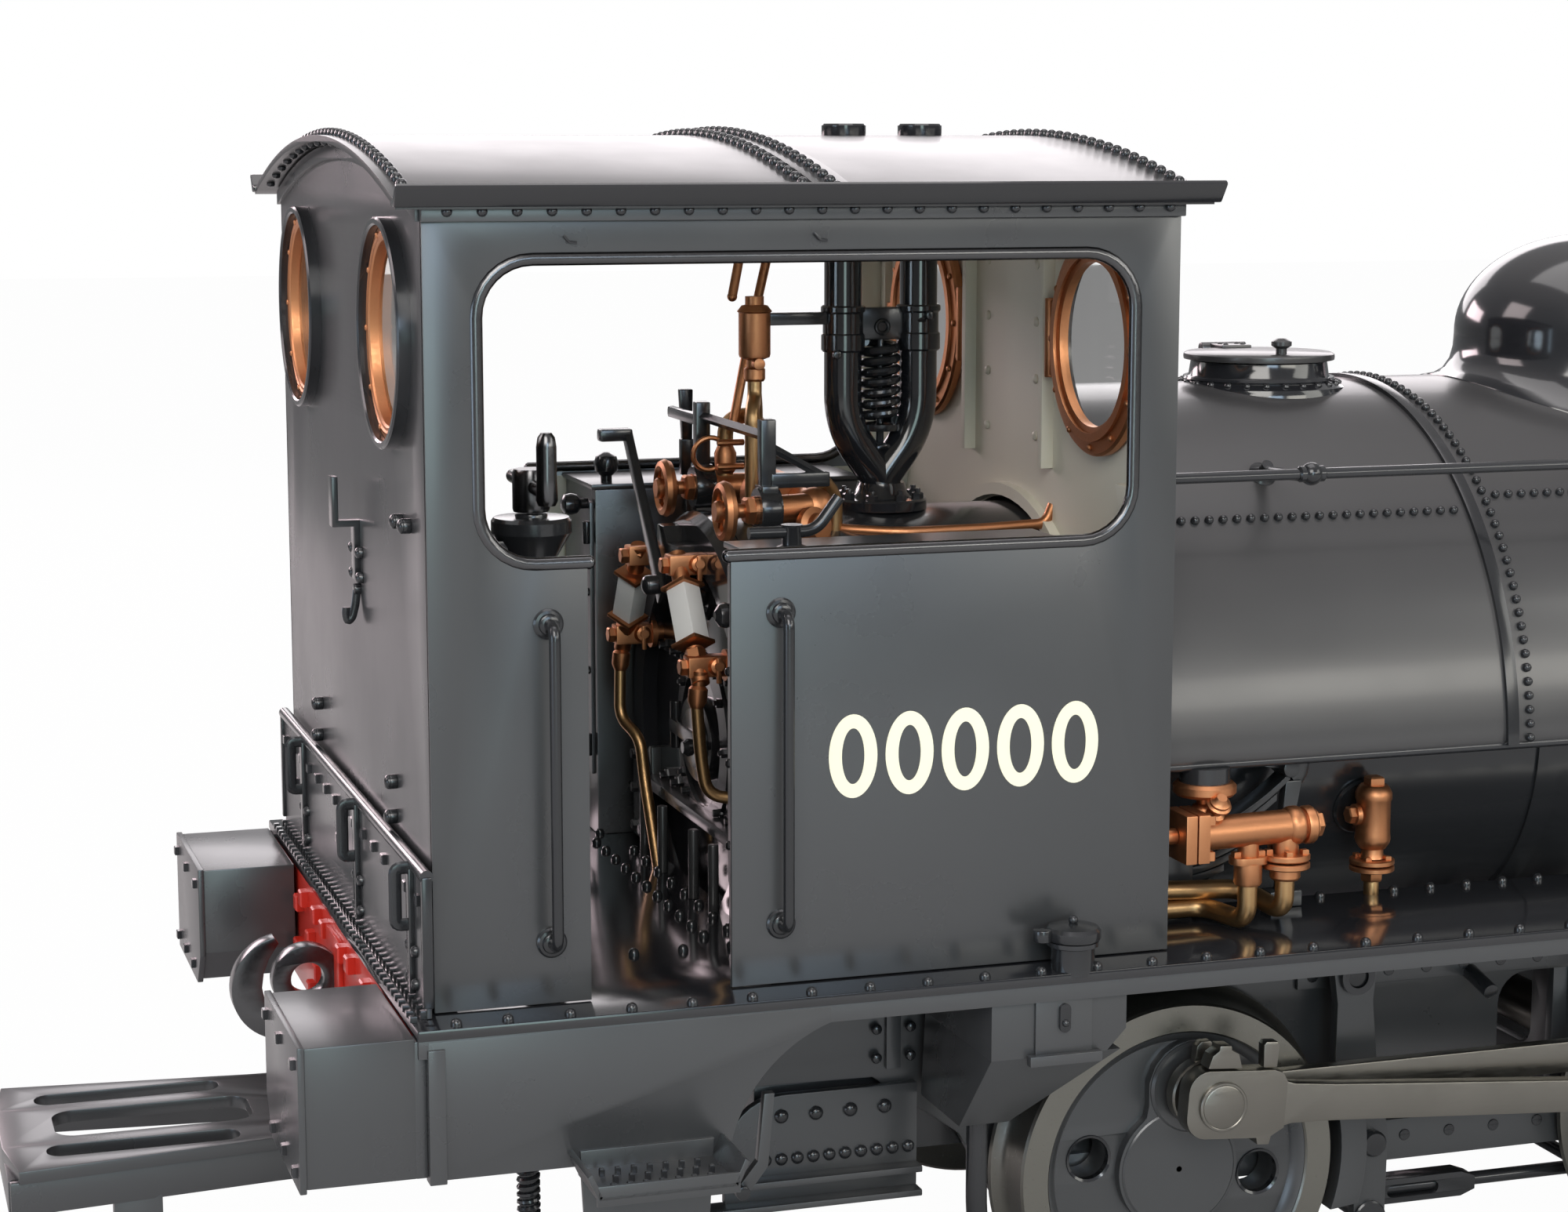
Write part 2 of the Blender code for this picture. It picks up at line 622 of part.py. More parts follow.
def cylinder(word, side):
    """Cylinder with covers, gland, slide bars and their bracket."""
    def point(u, w=0.0, across=CYLINDER_Y):
        x, z = on_axis(u, w)
        return x, side * across, z

    barrel = bar("barrel", point(CYLINDER_U - 31), point(CYLINDER_U + 31), 18.4, 20)
    covers = [bar("cover", point(CYLINDER_U + s * 30.5), point(CYLINDER_U + s * 34.5), 18.9, 20) for s in (-1, 1)]
    gland = bar("gland", point(CYLINDER_U - 34), point(CYLINDER_U - 41), 6.5, 14)
    nose = bar("nose", point(CYLINDER_U + 34), point(CYLINDER_U + 38), 9, 14)
    low, high = sorted((side * (FRAME_OUT + GAP), side * 86))
    x0, z0 = on_axis(CYLINDER_U)
    mount = block("mount", (x0 - 28, low, z0 - 13), (x0 + 28, high, z0 + 17))
    chest_y = sorted((side * (FRAME_OUT + GAP), side * 76))
    chest = block("chest", (x0 - 22, chest_y[0], z0 + 10), (x0 + 22, chest_y[1], z0 + 30))
    bars = []
    y0, y1 = sorted((side * 82.4, side * 89.6))
    for s in (-1, 1):
        w0, w1 = sorted((s * GUIDE, s * (GUIDE + 3)))
        outline = [on_axis(146, w0), on_axis(CYLINDER_U - 33, w0), on_axis(CYLINDER_U - 33, w1), on_axis(146, w1)]
        bars.append(sheet("slide_bar", "XZ", outline, y0, y1))
    x1, z1 = on_axis(147)
    hanger = block("hanger", (x1 - 3.5, y0 - 1.5, z1 + GUIDE - 0.4), (x1 + 1.5, y1 + 1.5, DECK_LOW - GAP))
    side_y0, side_y1 = sorted((side * 91.8, side * 94.2))
    cheek = block("cheek", (x1 - 3.5, side_y0, z1 - GUIDE - 3.5), (x1 + 1.5, side_y1, z1 + 26))
    lug0, lug1 = sorted((side * 88, side * 94.2))
    lugs = [block("lug", (x1 - 3.4, lug0, z1 - GUIDE - 3.3), (x1 + 1.4, lug1, z1 - GUIDE - 0.3)),
            block("lug", (x1 - 3.4, lug0, z1 + 20), (x1 + 1.4, lug1, z1 + 25.8))]
    join(barrel, *covers, gland, nose, mount, chest, *bars, hanger, cheek, *lugs)
    bore = bar("bore", point(CYLINDER_U - 27), point(CYLINDER_U + 27), 14.6, 18)
    throat = bar("throat", point(CYLINDER_U - 44), point(CYLINDER_U - 20), 2.7 + GAP, 12)
    cut(barrel, bore, throat)
    finish(barrel, "cylinder_" + word, BLACK)


def brake_hangers(name, x):
    """Two hangers with blocks and the beam between them."""
    parent = pivot_empty(name + "_pivot", (x, 0, HANGER_Z))
    beam = bar("beam", (x + 5.6, -64.5, 25.0), (x + 5.6, 64.5, 25.0), 2.6, 8)
    extras = []
    for side in (-1, 1):
        y0, y1 = sorted((side * 64.0, side * 67.2))
        outline = [(x - 4.4, HANGER_Z + 2), (x - 2, HANGER_Z + 5), (x + 2, HANGER_Z + 5), (x + 4.4, HANGER_Z + 2),
                   (x + 9.8, 40), (x + 9.8, 20), (x + 2, 20), (x + 0.5, 40)]
        hanger = sheet("hanger", "XZ", outline, y0, y1, [circle((x, HANGER_Z), 2.6 + GAP + 0.2, 8)])
        tyre = (x - HANGER_X[0] - AXLE_X, AXLE_Z)
        shoe_face = arc(tyre, TREAD_R + 1.9, -20, 22, 5)
        shoe_back = arc(tyre, TREAD_R + 9.5, 18, -16, 3)
        y2, y3 = sorted((side * 63.7, side * 72.8))
        shoe = sheet("shoe", "XZ", shoe_face + shoe_back, y2, y3)
        pin = bar("pin", (x + 5, side * 62.5, 40.3), (x + 5, side * 69.5, 40.3), 2.4, 8)
        extras += [hanger, shoe, pin]
    finish(join(beam, *extras), name, BLACK, (x, 0, HANGER_Z), parent)


def brake_pull_rods():
    """Two rods with turnbuckles between the brake beams, held together by a cross tie."""
    x0, x1 = HANGER_X[0] + 5.6, HANGER_X[1] + 5.6
    tie = bar("tie", (49, -PULL_ROD_Y, 25), (49, PULL_ROD_Y, 25), 1.7, 8)
    extras = []
    for y in (-PULL_ROD_Y, PULL_ROD_Y):
        extras.append(bar("rod", (x0 + 3.2, y, 25), (x1 - 3.2, y, 25), 1.9, 8))
        extras.append(block("turnbuckle", (-17.3, y - 3.3, 22.3), (11.3, y + 3.3, 27.7)))
    finish(join(tie, *extras), "brake_pull_rod", STEEL)


# ---------------------------------------------------------------- cab

def cab_opening():
    """Outline in x and z of the opening above the doorway."""
    return rounded((-248.7, SILL), (-102.1, 259.8), 12, 5)


def cab_side(word, side):
    y0, y1 = sorted((side * CAB_HALF, side * (CAB_HALF - SHEET)))
    window = cab_opening()
    outline = [(CAB_REAR, DECK_TOP + GAP), (-226.9, DECK_TOP + GAP), (-226.9, SILL), (-195.5, SILL),
               (-195.5, DECK_TOP + GAP), (CAB_FRONT, DECK_TOP + GAP), (CAB_FRONT, 270.5), (CAB_REAR, 270.5)]
    panel = sheet("side", "XZ", outline, y0, y1)
    opening = sheet("opening", "XZ", window, min(y0, y1) - 4, max(y0, y1) + 4)
    gap = block("doorway", (-226.9, min(y0, y1) - 4, SILL - 4), (-195.5, max(y0, y1) + 4, SILL + 6))
    y2, y3 = sorted((side * (CAB_HALF - 0.5), side * (CAB_HALF + 1.9)))
    strip = block("eave_strip", (CAB_REAR - 0.3, y2, 267.5), (CAB_FRONT + 0.3, y3, 270.4))
    rails = []
    for x in (-235.6, -184.4):
        path = [(x, side * (CAB_HALF - 0.6), 183.7), (x, side * (CAB_HALF + 6), 183.7),
                (x, side * (CAB_HALF + 6), 115), (x, side * (CAB_HALF - 0.6), 115)]
        rails.append(tube("handrail", bend(path, 4), 1.25))
    cut(panel, opening, gap)
    join(panel, strip, *rails)
    finish(panel, "cab_side_" + word, BLACK)


def end_sheet_outline(low):
    half = CAB_HALF - SHEET - GAP
    tops = [half - i * half / 6 for i in range(13)]
    return [(-half, low), (half, low)] + [(y, roof_height(y) - ROOF_THICK - GAP) for y in tops]


def cab_rear():
    """Rear sheet with its two round windows, each a rim around a thin pane."""
    panel = sheet("rear", "YZ", end_sheet_outline(DECK_TOP + GAP), CAB_REAR, CAB_REAR + SHEET)

    def disc(word, side, radius, x0, x1):
        y, z = side * 56.5, 242.8
        return bar(word, (CAB_REAR + x0, y, z), (CAB_REAR + x1, y, z), radius, 18)

    sides = (-1, 1)
    iron = block("lamp_iron", (CAB_REAR - 1.2, -6, 170), (CAB_REAR + 0.4, 6, 205))
    join(panel, *[disc("rim", side, 24.8, -3.2, 2.2) for side in sides], iron)
    cut(panel, *[disc("outer_recess", side, 22.4, -5, 0.45) for side in sides])
    cut(panel, *[disc("inner_recess", side, 19.0, 1.05, 4) for side in sides])
    finish(panel, "cab_rear_sheet", BLACK)


def cab_front():
    """Front sheet around the boiler, with two round window openings."""
    holes = [circle((side * 56.5, 237.0), 21.0, 32) for side in (-1, 1)]
    panel = sheet("front", "YZ", end_sheet_outline(DECK_TOP + GAP), CAB_FRONT - SHEET, CAB_FRONT, holes)
    round_hole = bar("round_hole", (-100, 0, BOILER_Z), (-80, 0, BOILER_Z), BOILER_R + 0.6, 40)
    lower_hole = block("lower_hole", (-100, -BOILER_R - 0.6, 95), (-80, BOILER_R + 0.6, BOILER_Z))
    notches = [block("notch", (-100, min(s * 59, s * 69), 95), (-80, max(s * 59, s * 69), 139.5)) for s in (-1, 1)]
    cut(panel, round_hole, lower_hole, *notches)
    finish(panel, "cab_front_sheet", CREAM)


def front_window(word, side):
    """A round window in a bronze frame, hinged at its outer edge."""
    profile = [(0, 1.2), (19.4, 1.2), (19.4, 2.4), (25.6, 2.4), (25.6, 0.0), (0, 0.0)]
    x = CAB_FRONT - SHEET - GAP
    frame = turned("window", profile, (x, side * 56.5, 237), (-1, 0, 0), 24)
    lug = block("lug", (x - 2.6, min(side * 29, side * 33), 233), (x - 0.2, max(side * 29, side * 33), 241))
    barrel = bar("hinge", (x - 1.6, side * 29.6, 231), (x - 1.6, side * 29.6, 243), 1.5, 12)
    finish(join(frame, lug, barrel), "front_window_" + word, COPPER, (x - 1.6, side * 29.6, 237))


def roof():
    """Curved roof sheet with flared gutters."""
    ys = [-100 + i * 10 for i in range(21)]
    top = [(y, roof_height(y)) for y in ys]
    under = [(y, roof_height(y) - ROOF_THICK) for y in reversed(ys)]
    panel = sheet("roof", "YZ", top + under, -267.4, -85.0)
    gutters = []
    for side in (-1, 1):
        outline = [(side * 99.2, 271.6), (side * 99.2, 270.4), (side * 103, 273.9), (side * 102, 274.8)]
        gutters.append(sheet("gutter", "YZ", outline, -267.0, -85.4))
    holes = [bar("pipe_hole", (x, 0, 275), (x, 0, 295), 5.4, 20) for x in (-138.1, -118.4)]
    join(panel, *gutters)
    cut(panel, *holes)
    finish(panel, "cab_roof", BLACK)


def safety_valves():
    """Twin valve columns on a common base, with the spring and its lever between."""
    base = bar("base", (-127.5, 0, BOILER_Z + BOILER_R + GAP), (-127.5, 0, 199.0), 12.5, 16)
    column = bar("column", (-127.5, 0, 198), (-127.5, 0, 203), 6.5, 20)
    extras = [column]
    for x in (-138.1, -118.4):
        path = bend([(-127.5 + (x + 128) * 0.12, 0, 200), (x, 0, 213), (x, 0, 288)], 7, 3)
        extras.append(tube("valve_pipe", path, 4.6, 1))
        extras.append(bar("collar", (x, 0, 233), (x, 0, 243.5), 5.3, 16))
    extras.append(block("bracket", (-138, -3, 238), (-118, 3, 243)))
    extras.append(bar("spring_core", (-128.5, 0, 203), (-128.5, 0, 240), 2.0, 12))
    extras.append(bar("spring", (-128.5, 0, 213), (-128.5, 0, 234), 4.2, 20))
    finish(join(base, *extras), "safety_valves", GLOSS)


def turret():
    """The steam manifold with its valves, whistle and pipes."""
    body = bar("manifold", (-164, -31, 199), (-164, 31, 199), 4.2, 12)
    extras = [block("stand", (-168, -5, BOILER_Z + BOILER_R + 0.6), (-158, 5, 200)),
              tube("whistle_pipe", [(-162, 0, 199), (-162, 0, 233)], 1.9, 2),
              bar("whistle", (-162, 0, 231), (-162, 0, 245), 2.7, 16),
              tube("feed_pipe", bend([(-163, -15, 199), (-150, -15.5, 199.6), (-100, -15, 199.6), (-98, -15, 203)], 3), 1.1)]
    for side in (-1, 1):
        extras.append(bar("stem_guide", (-165, side * 26, 197.4), (-172.6, side * 26, 197.4), 2.4, 12))
        extras.append(block("post", (-167, side * 26 - 1.5, 199), (-164, side * 26 + 1.5, 218)))
    extras.append(block("post_bar", (-166.6, -27, 213), (-164.6, 27, 216)))
    finish(join(body, *extras), "steam_turret", COPPER)


def handwheel(word, side):
    """A five-spoked valve wheel on its stem."""
    y, z, x = side * 26.0, 197.4, -176.4
    rim = turned("rim", [(7.6, 1.2), (9.6, 1.2), (9.6, -1.2), (7.6, -1.2), (7.6, 1.2)], (x, y, z), (1, 0, 0), 18)
    hub = bar("hub", (x - 1.8, y, z), (x + 2.8, y, z), 2.4, 8)
    spokes = []
    for i in range(5):
        a = math.radians(72 * i + 18)
        spokes.append(bar("spoke", (x, y, z), (x, y + 8.4 * math.cos(a), z + 8.4 * math.sin(a)), 0.9, 6))
    finish(join(rim, hub, *spokes), "valve_wheel_" + word, COPPER, (x, y, z))


def water_gauge(word, side):
    """A water gauge: two cocks, the boxed glass and the drain pipe."""
    x, y = -183.5, side * 27.0
    glass = block("glass_box", (x - 3.4, y - 3.4, 162.5), (x + 3.4, y + 3.4, 175.5))
    extras = []
    for z in (177.5, 160.5):
        extras.append(block("cap", (x - 4.4, y - 4.4, z - 2.4), (x + 4.4, y + 4.4, z + 2.4)))
        extras.append(bar("arm", (x, y, z), (BACKHEAD_X - GAP, y, z), 2.4, 12))
    extras.append(tube("drain", bend([(x, y, 160), (x, y, 146), (x - 1, y + side * 5, 136), (x - 1, y + side * 5, 103)], 4),
                       1.4))
    finish(join(glass, *extras), "water_gauge_" + word, COPPER)


def regulator_lever():
    """The regulator handle, turning on the middle of the backhead."""
    x = -183.0
    hub = bar("hub", (BACKHEAD_X - GAP, 0, 177), (x - 5, 0, 177), 3.0, 20)
    bm_path = [(x - 2.5, 0, 177), (x - 3.5, 30, 211), (x - 13, 31, 212)]
    arm = tube("arm", bend(bm_path, 2.5), 1.6)
    tail = tube("tail", [(x - 2.5, 0, 177), (x - 2.5, -5, 170.5)], 1.6)
    finish(join(hub, arm, tail), "regulator_lever", GLOSS, (x, 0, 177))


def reversing_lever():
    """The upright reversing lever, between the firebox and the left-hand locker."""
    x, y = REVERSER
    arm = sheet("arm", "XZ", [(x - 2.2, 104), (x + 2.2, 104), (x + 1.2, 205), (x + 1.8, 220), (x - 1.8, 220),
                              (x - 1.2, 205)], y - 1.2, y + 1.2)
    socket = block("socket", (x - 2.1, y - 1.1, 197), (x + 2.1, y + 1.1, 205.4))
    pivot = bar("pivot", (x, y - 1.4, 106), (x, y + 1.4, 106), 4, 16)
    finish(join(arm, socket, pivot), "reversing_lever", STEEL, (x, y, 106))


def handbrake_handle():
    """The cross handle on top of the brake column."""
    x, y = HANDBRAKE_X, -60.0
    hub = bar("hub", (x, y, 203 + GAP), (x, y, 213), 3.3, 20)
    cross = bar("cross", (x, y - 16, 210), (x, y + 16, 210), 1.6, 14)
    grip = bar("grip", (x, y - 15, 207.5), (x, y - 15, 221), 2.0, 14)
    finish(join(hub, cross, grip), "handbrake_handle", GLOSS, (x, y, 207))


def firehole_door():
    """The oval door on the backhead, hinged on its left."""
    x = BACKHEAD_X - 1.6 - GAP
    door = sheet("door", "YZ", [(14 * math.cos(a), 138 + 10.5 * math.sin(a)) for a in
                                [math.radians(15 * i) for i in range(24)]], x - 2.4, x)
    hinge = block("strap", (x - 3.4, -3, 136.4), (x - 0.8, 19, 139.6))
    barrel = bar("hinge", (x - 1.6, 20, 132), (x - 1.6, 20, 144), 1.6, 12)
    knob = bar("knob", (x - 1, -10, 138), (x - 7, -10, 138), 1.6, 12)
    finish(join(door, hinge, barrel, knob), "firehole_door", GLOSS, (x - 1.6, 20, 138))


# ---------------------------------------------------------------- boiler, tank and smokebox

def boiler():
    """Boiler barrel, firebox, ashpan, backhead fittings and clack valves."""
    barrel = bar("barrel", (-95, 0, BOILER_Z), (SMOKEBOX[0] - GAP, 0, BOILER_Z), BOILER_R, 32)
    wrapper = bar("wrapper", (BACKHEAD_X, 0, BOILER_Z), (-90, 0, BOILER_Z), BOILER_R, 32)
    sides = block("firebox", (BACKHEAD_X, -53.6, 66), (-96, 53.6, BOILER_Z))
    shell = block("firebox_upper", (BACKHEAD_X + 0.2, -BOILER_R + 0.3, 102.5), (-96.2, BOILER_R - 0.3, BOILER_Z))
    ashpan = block("ashpan", (-178, -53.4, 46), (-116, 53.4, 67))
    mouth = block("firehole", (BACKHEAD_X - 1.6, -15, 126), (BACKHEAD_X + 1, 15, 150))
    extras = [wrapper, sides, shell, ashpan, mouth]
    axle_tunnel = block("axle_tunnel", (-122, -60, 30), (-90, 60, 62))
    for side in (-1, 1):
        extras.append(bar("clack_arm", (-21.5, side * 50, 124.5), (-21.5, side * 60, 123.5), 2.6, 8))
        extras.append(bar("clack", (-21.5, side * 60.5, 110), (-21.5, side * 60.5, 128.6), 4.4, 12))
        extras.append(bar("clack_ring", (-21.5, side * 60.5, 107), (-21.5, side * 60.5, 110.5), 4.9, 12))
        extras.append(bar("clack_pipe", (-21.5, side * 60.5, DECK_TOP + GAP), (-21.5, side * 60.5, 108), 2.2, 8))
    firebox_hole = block("fire_space", (BACKHEAD_X - 4, -10, 129), (BACKHEAD_X + 30, 10, 147))
    join(barrel, *extras)
    cut(barrel, axle_tunnel, firebox_hole)
    finish(barrel, "boiler", BLACK)


def saddle_tank():
    """The tank that straddles the boiler, with filler neck and handrails."""
    lower = 139.0
    outer = arc((0, BOILER_Z), TANK_R, 4, 176, 26)
    outline = outer + [(-82.5, lower + 0.6), (-79.5, lower), (-BOILER_R - 1, lower)]
    outline += arc((0, BOILER_Z), BOILER_R + 1.2, 179, 1, 16)
    outline += [(BOILER_R + 1, lower), (79.5, lower), (82.5, lower + 0.6)]
    tank = sheet("tank", "YZ", outline, CAB_FRONT + GAP, TANK_FRONT)
    band = sheet("band", "YZ", arc((0, BOILER_Z), TANK_R + 0.9, 3, 177, 26) + arc((0, BOILER_Z), TANK_R - 2, 177, 3, 16),
                 0.2, 2.8)
    neck = turned("neck", [(0, 228.2), (17.6, 228.2), (18.2, 223.5), (20.4, 222.6), (22.2, 221.4), (22.2, 218), (0, 218)],
                  (FILLER_X, 0, 0), steps=24)
    rails = []
    for side in (-1, 1):
        y, z = side * 78.2, 207.5
        rails.append(bar("handrail", (CAB_FRONT + 1.5, y, z), (TANK_FRONT - 4, y, z), 1.25, 8))
        for x in (-50, 40, 130):
            rails.append(bar("knob", (x, side * 44.5, 204.5), (x, side * 79.4, 207.6), 1.7, 6))
    join(tank, band, neck, *rails)
    finish(tank, "saddle_tank", BLACK)


def filler_lid():
    """The flat hinged lid of the tank filler."""
    lid = turned("lid", [(0, 230.4), (18.6, 230.4), (19.2, 229.6), (19.2, 228.2 + GAP), (0, 228.2 + GAP)],
                 (FILLER_X, 0, 0), steps=24)
    hinge = bar("hinge", (FILLER_X - 6, 21, 230), (FILLER_X + 6, 21, 230), 1.4, 12)
    strap = block("strap", (FILLER_X - 4, 14, 229), (FILLER_X + 4, 21, 231))
    finish(join(lid, hinge, strap), "filler_lid", BLACK, (FILLER_X, 21, 230))


def dome():
    """The steam dome cover on top of the tank."""
    profile = [(0, 259.5)]
    for i in range(1, 7):
        a = math.radians(15 * i)
        profile.append((34 * math.sin(a), 234 + 25.5 * math.cos(a)))
    profile += [(34.2, 229), (37, 224.6), (43, 222.9), (43, 205), (0, 205)]
    cover = turned("dome", profile, (DOME_X, 0, 0), steps=24)
    below = bar("tank_space", (-100, 0, BOILER_Z), (160, 0, BOILER_Z), TANK_R + GAP, 64)
    cut(cover, below)
    finish(cover, "dome", GLOSS)


def smokebox():
    """Smokebox drum on its saddle, open at the front behind the door."""
    x0, x1 = SMOKEBOX
    drum = bar("drum", (x0, 0, BOILER_Z), (x1, 0, BOILER_Z), SMOKEBOX_R, 32)
    ring = bar("ring", (x1 - 4, 0, BOILER_Z), (x1, 0, BOILER_Z), SMOKEBOX_R + 1.6, 32)
    saddle = block("saddle", (x0 + 6, -FRAME_IN + 0.6, 62), (x1 - 6, FRAME_IN - 0.6, 110))
    inside = bar("inside", (x0 + 3, 0, DOOR_Z), (x1 + 3, 0, DOOR_Z), DOOR_R - 4, 28)
    flue = bar("flue", (CHIMNEY_X, 0, BOILER_Z), (CHIMNEY_X, 0, 210), 10.5, 16)
    join(drum, ring, saddle)
    cut(drum, inside, flue)
    finish(drum, "smokebox", BLACK)


def smokebox_door():
    """Dished door with its hinge straps and central handles."""
    x = SMOKEBOX[1] + GAP
    door = turned("door", [(0, 8.5), (18, 7.4), (35, 3.4), (DOOR_R, 0), (0, 0)], (x, 0, DOOR_Z), (1, 0, 0), 24)
    extras = [bar("dart", (x + 6, 0, DOOR_Z), (x + 15, 0, DOOR_Z), 2.2, 14)]
    for z in (DOOR_Z - 15, DOOR_Z + 15):
        outline = [(x + 1, DOOR_HINGE_Y), (x + 4.2, DOOR_HINGE_Y), (x + 8.8, -12), (x + 8.8, 8), (x + 1, 8)]
        extras.append(sheet("strap", "XY", outline, z - 2.2, z + 2.2))
        extras.append(bar("barrel", (x + 2.6, DOOR_HINGE_Y, z - 4), (x + 2.6, DOOR_HINGE_Y, z + 4), 2.1, 12))
    finish(join(door, *extras), "smokebox_door", BLACK, (x + 2.6, DOOR_HINGE_Y, DOOR_Z))


def door_handle():
    """The locking handle on the smokebox door's dart."""
    x = SMOKEBOX[1] + GAP + 15 + GAP
    hub = bar("hub", (x, 0, DOOR_Z), (x + 4, 0, DOOR_Z), 3.4, 16)
    arm = tube("arm", [(x + 2, 0, DOOR_Z), (x + 3.4, 0, DOOR_Z - 21)], 1.3)
    finish(join(hub, arm), "smokebox_handle", STEEL, (x, 0, DOOR_Z))


def chimney():
    profile = [(10.5, 306), (17.5, 306), (18.5, 303), (14.6, 297.5), (13.6, 240), (14.6, 216),
               (18.5, 206), (26, 200.8), (26, 190), (10.5, 190), (10.5, 306)]
    stack = turned("chimney", profile, (CHIMNEY_X, 0, 0), steps=20)
    drum = bar("drum_space", (100, 0, BOILER_Z), (260, 0, BOILER_Z), SMOKEBOX_R + GAP, 64)
    cut(stack, drum)
    finish(stack, "chimney", BLACK)


# ---------------------------------------------------------------- outside fittings

def injector():
    """The right-hand injector with its flange plate and two down pipes."""
    y = -85.0
    body = bar("body", (-84, y, 125.4), (-50, y, 126.4), 4.0, 12)
    extras = [block("flange", (-86, y - 5.5, 120), (-79.5, y + 5.5, 131.5)),
              bar("valve", (-77, y + 4, 127), (-77, y + 4, 138.6), 3.4, 10),
              bar("cap", (-77, y + 4, 134.6), (-77, y + 4, 138.6), 5.4, 12)]
    for x in (-67, -58):
        extras.append(bar("neck", (x, y, 118), (x, y, 126), 3.0, 8))
        extras.append(bar("ring", (x, y, 118), (x, y, 121), 4.4, 10))
        extras.append(tube("pipe", bend([(x, y, 119), (x, y, 108), (x - 9, y, 104.2), (x - 14, y, 104.2)], 4), 2.1)
                      if x == -58 else tube("pipe", [(x, y, 119), (x, y, DECK_TOP + 0.4)], 2.1))
    finish(join(body, *extras), "injector", COPPER)


def sandbox_lid(word, side):
    """The round lid of the sand filler, swinging on a side pivot."""
    lid = turned("lid", [(0, 110.6), (5.2, 110.2), (6.1, 109.2), (6.1, 107.6 + GAP), (0, 107.6 + GAP)],
                 (-118, side * LID_Y, 0), steps=16)
    ear = bar("ear", (-125.4, side * LID_Y, 107.6 + GAP), (-125.4, side * LID_Y, 110.2), 2.2, 8)
    link_y = sorted((side * (LID_Y - 1.3), side * (LID_Y + 1.3)))
    link = block("link", (-125, link_y[0], 108.2), (-118, link_y[1], 109.8))
    finish(join(lid, ear, link), "sandbox_lid_" + word, BLACK, (-125.4, side * LID_Y, 109))


# ---------------------------------------------------------------- assembly

def build():
    main_frames()
    buffer_beams()
    motion_plate()
    footplate()
    buffers()
    draw_hook("rear_draw_hook", -266.2 - GAP, 1)
    draw_hook("front_draw_hook", 261.4 + GAP, -1)
    towing_frame()
    for end, axle in (("rear", -AXLE_X), ("front", AXLE_X)):
        wheelset(end, axle)
    for word, side, degrees in (("right", -1, RIGHT_CRANK_DEG), ("left", 1, LEFT_CRANK_DEG)):
        coupling_rod(word, side, degrees)
        connecting_rod(word, side, degrees)
        crosshead(word, side, degrees)
        cylinder(word, side)
        cab_side(word, side)
        front_window(word, side)
        handwheel(word, side)
        water_gauge(word, side)
        sandbox_lid(word, side)
        finish(leaf_spring("spring", -AXLE_X, side), "rear_spring_" + word, BLACK)
    brake_hangers("rear_brake_hangers", HANGER_X[0])
    brake_hangers("front_brake_hangers", HANGER_X[1])
    brake_pull_rods()
    cab_rear()
    cab_front()
    roof()
    safety_valves()
    turret()
    regulator_lever()
    reversing_lever()
    handbrake_handle()
    firehole_door()
    boiler()
    saddle_tank()
    filler_lid()
    dome()
    smokebox()
    smokebox_door()
    door_handle()
    chimney()
    injector()
    stand_on_origin()


def stand_on_origin():
    """Move the finished engine so that its middle lies on the part's origin."""
    root = pivot_empty("live_steam_engine_origin", (0, 0, 0))
    for thing in PARTS.objects:
        if thing.parent is None and thing is not root:
            thing.parent = root
    root.location.x = AXLES_AHEAD * MM


build()
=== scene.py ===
"""Looks of a live steam saddle tank engine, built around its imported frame.

Sizes are in millimetres in the frame's own axes: +X towards the chimney, -Y the engine's right, +Z up from the rails.
"""

import json
import math

import bmesh
import bpy
from mathutils import Matrix, Vector


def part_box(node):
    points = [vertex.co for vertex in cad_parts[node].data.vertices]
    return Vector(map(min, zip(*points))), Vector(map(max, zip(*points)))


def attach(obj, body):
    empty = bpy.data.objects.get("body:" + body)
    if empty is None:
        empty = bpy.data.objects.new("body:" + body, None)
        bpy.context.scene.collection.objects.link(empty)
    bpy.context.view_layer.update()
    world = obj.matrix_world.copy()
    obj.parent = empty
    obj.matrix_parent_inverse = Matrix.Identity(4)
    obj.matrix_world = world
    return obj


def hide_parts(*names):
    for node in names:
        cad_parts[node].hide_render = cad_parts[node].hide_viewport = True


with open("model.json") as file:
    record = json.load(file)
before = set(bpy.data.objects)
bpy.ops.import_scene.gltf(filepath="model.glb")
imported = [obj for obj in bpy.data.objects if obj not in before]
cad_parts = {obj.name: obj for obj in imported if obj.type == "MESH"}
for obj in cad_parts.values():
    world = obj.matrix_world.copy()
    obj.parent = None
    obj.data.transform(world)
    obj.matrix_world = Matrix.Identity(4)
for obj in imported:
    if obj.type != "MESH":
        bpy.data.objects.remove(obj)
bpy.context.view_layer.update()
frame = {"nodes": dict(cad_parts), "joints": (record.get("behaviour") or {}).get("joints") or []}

MM = 0.001
TAU = math.tau
SIDES = ((-1, "right"), (1, "left"))
PIECES = []


def packed_place(name):
    """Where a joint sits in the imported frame, in millimetres."""
    joint = next(j for j in frame["joints"] if j["name"] == name)
    return Vector(joint["pos_m"]) / MM


# Everything below is drawn from the midpoint of the axles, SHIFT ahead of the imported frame's origin
SHIFT = (packed_place("rear_wheelset_turn") + packed_place("front_wheelset_turn")) / 2
SHIFT.z = 0.0


def reach(node):
    """Lowest and highest corners of a CAD node, in millimetres from the axles' midpoint."""
    low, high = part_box(node)
    return low / MM - SHIFT, high / MM - SHIFT


def joint_place(name):
    """Where a joint sits, in millimetres from the axles' midpoint."""
    return packed_place(name) - SHIFT


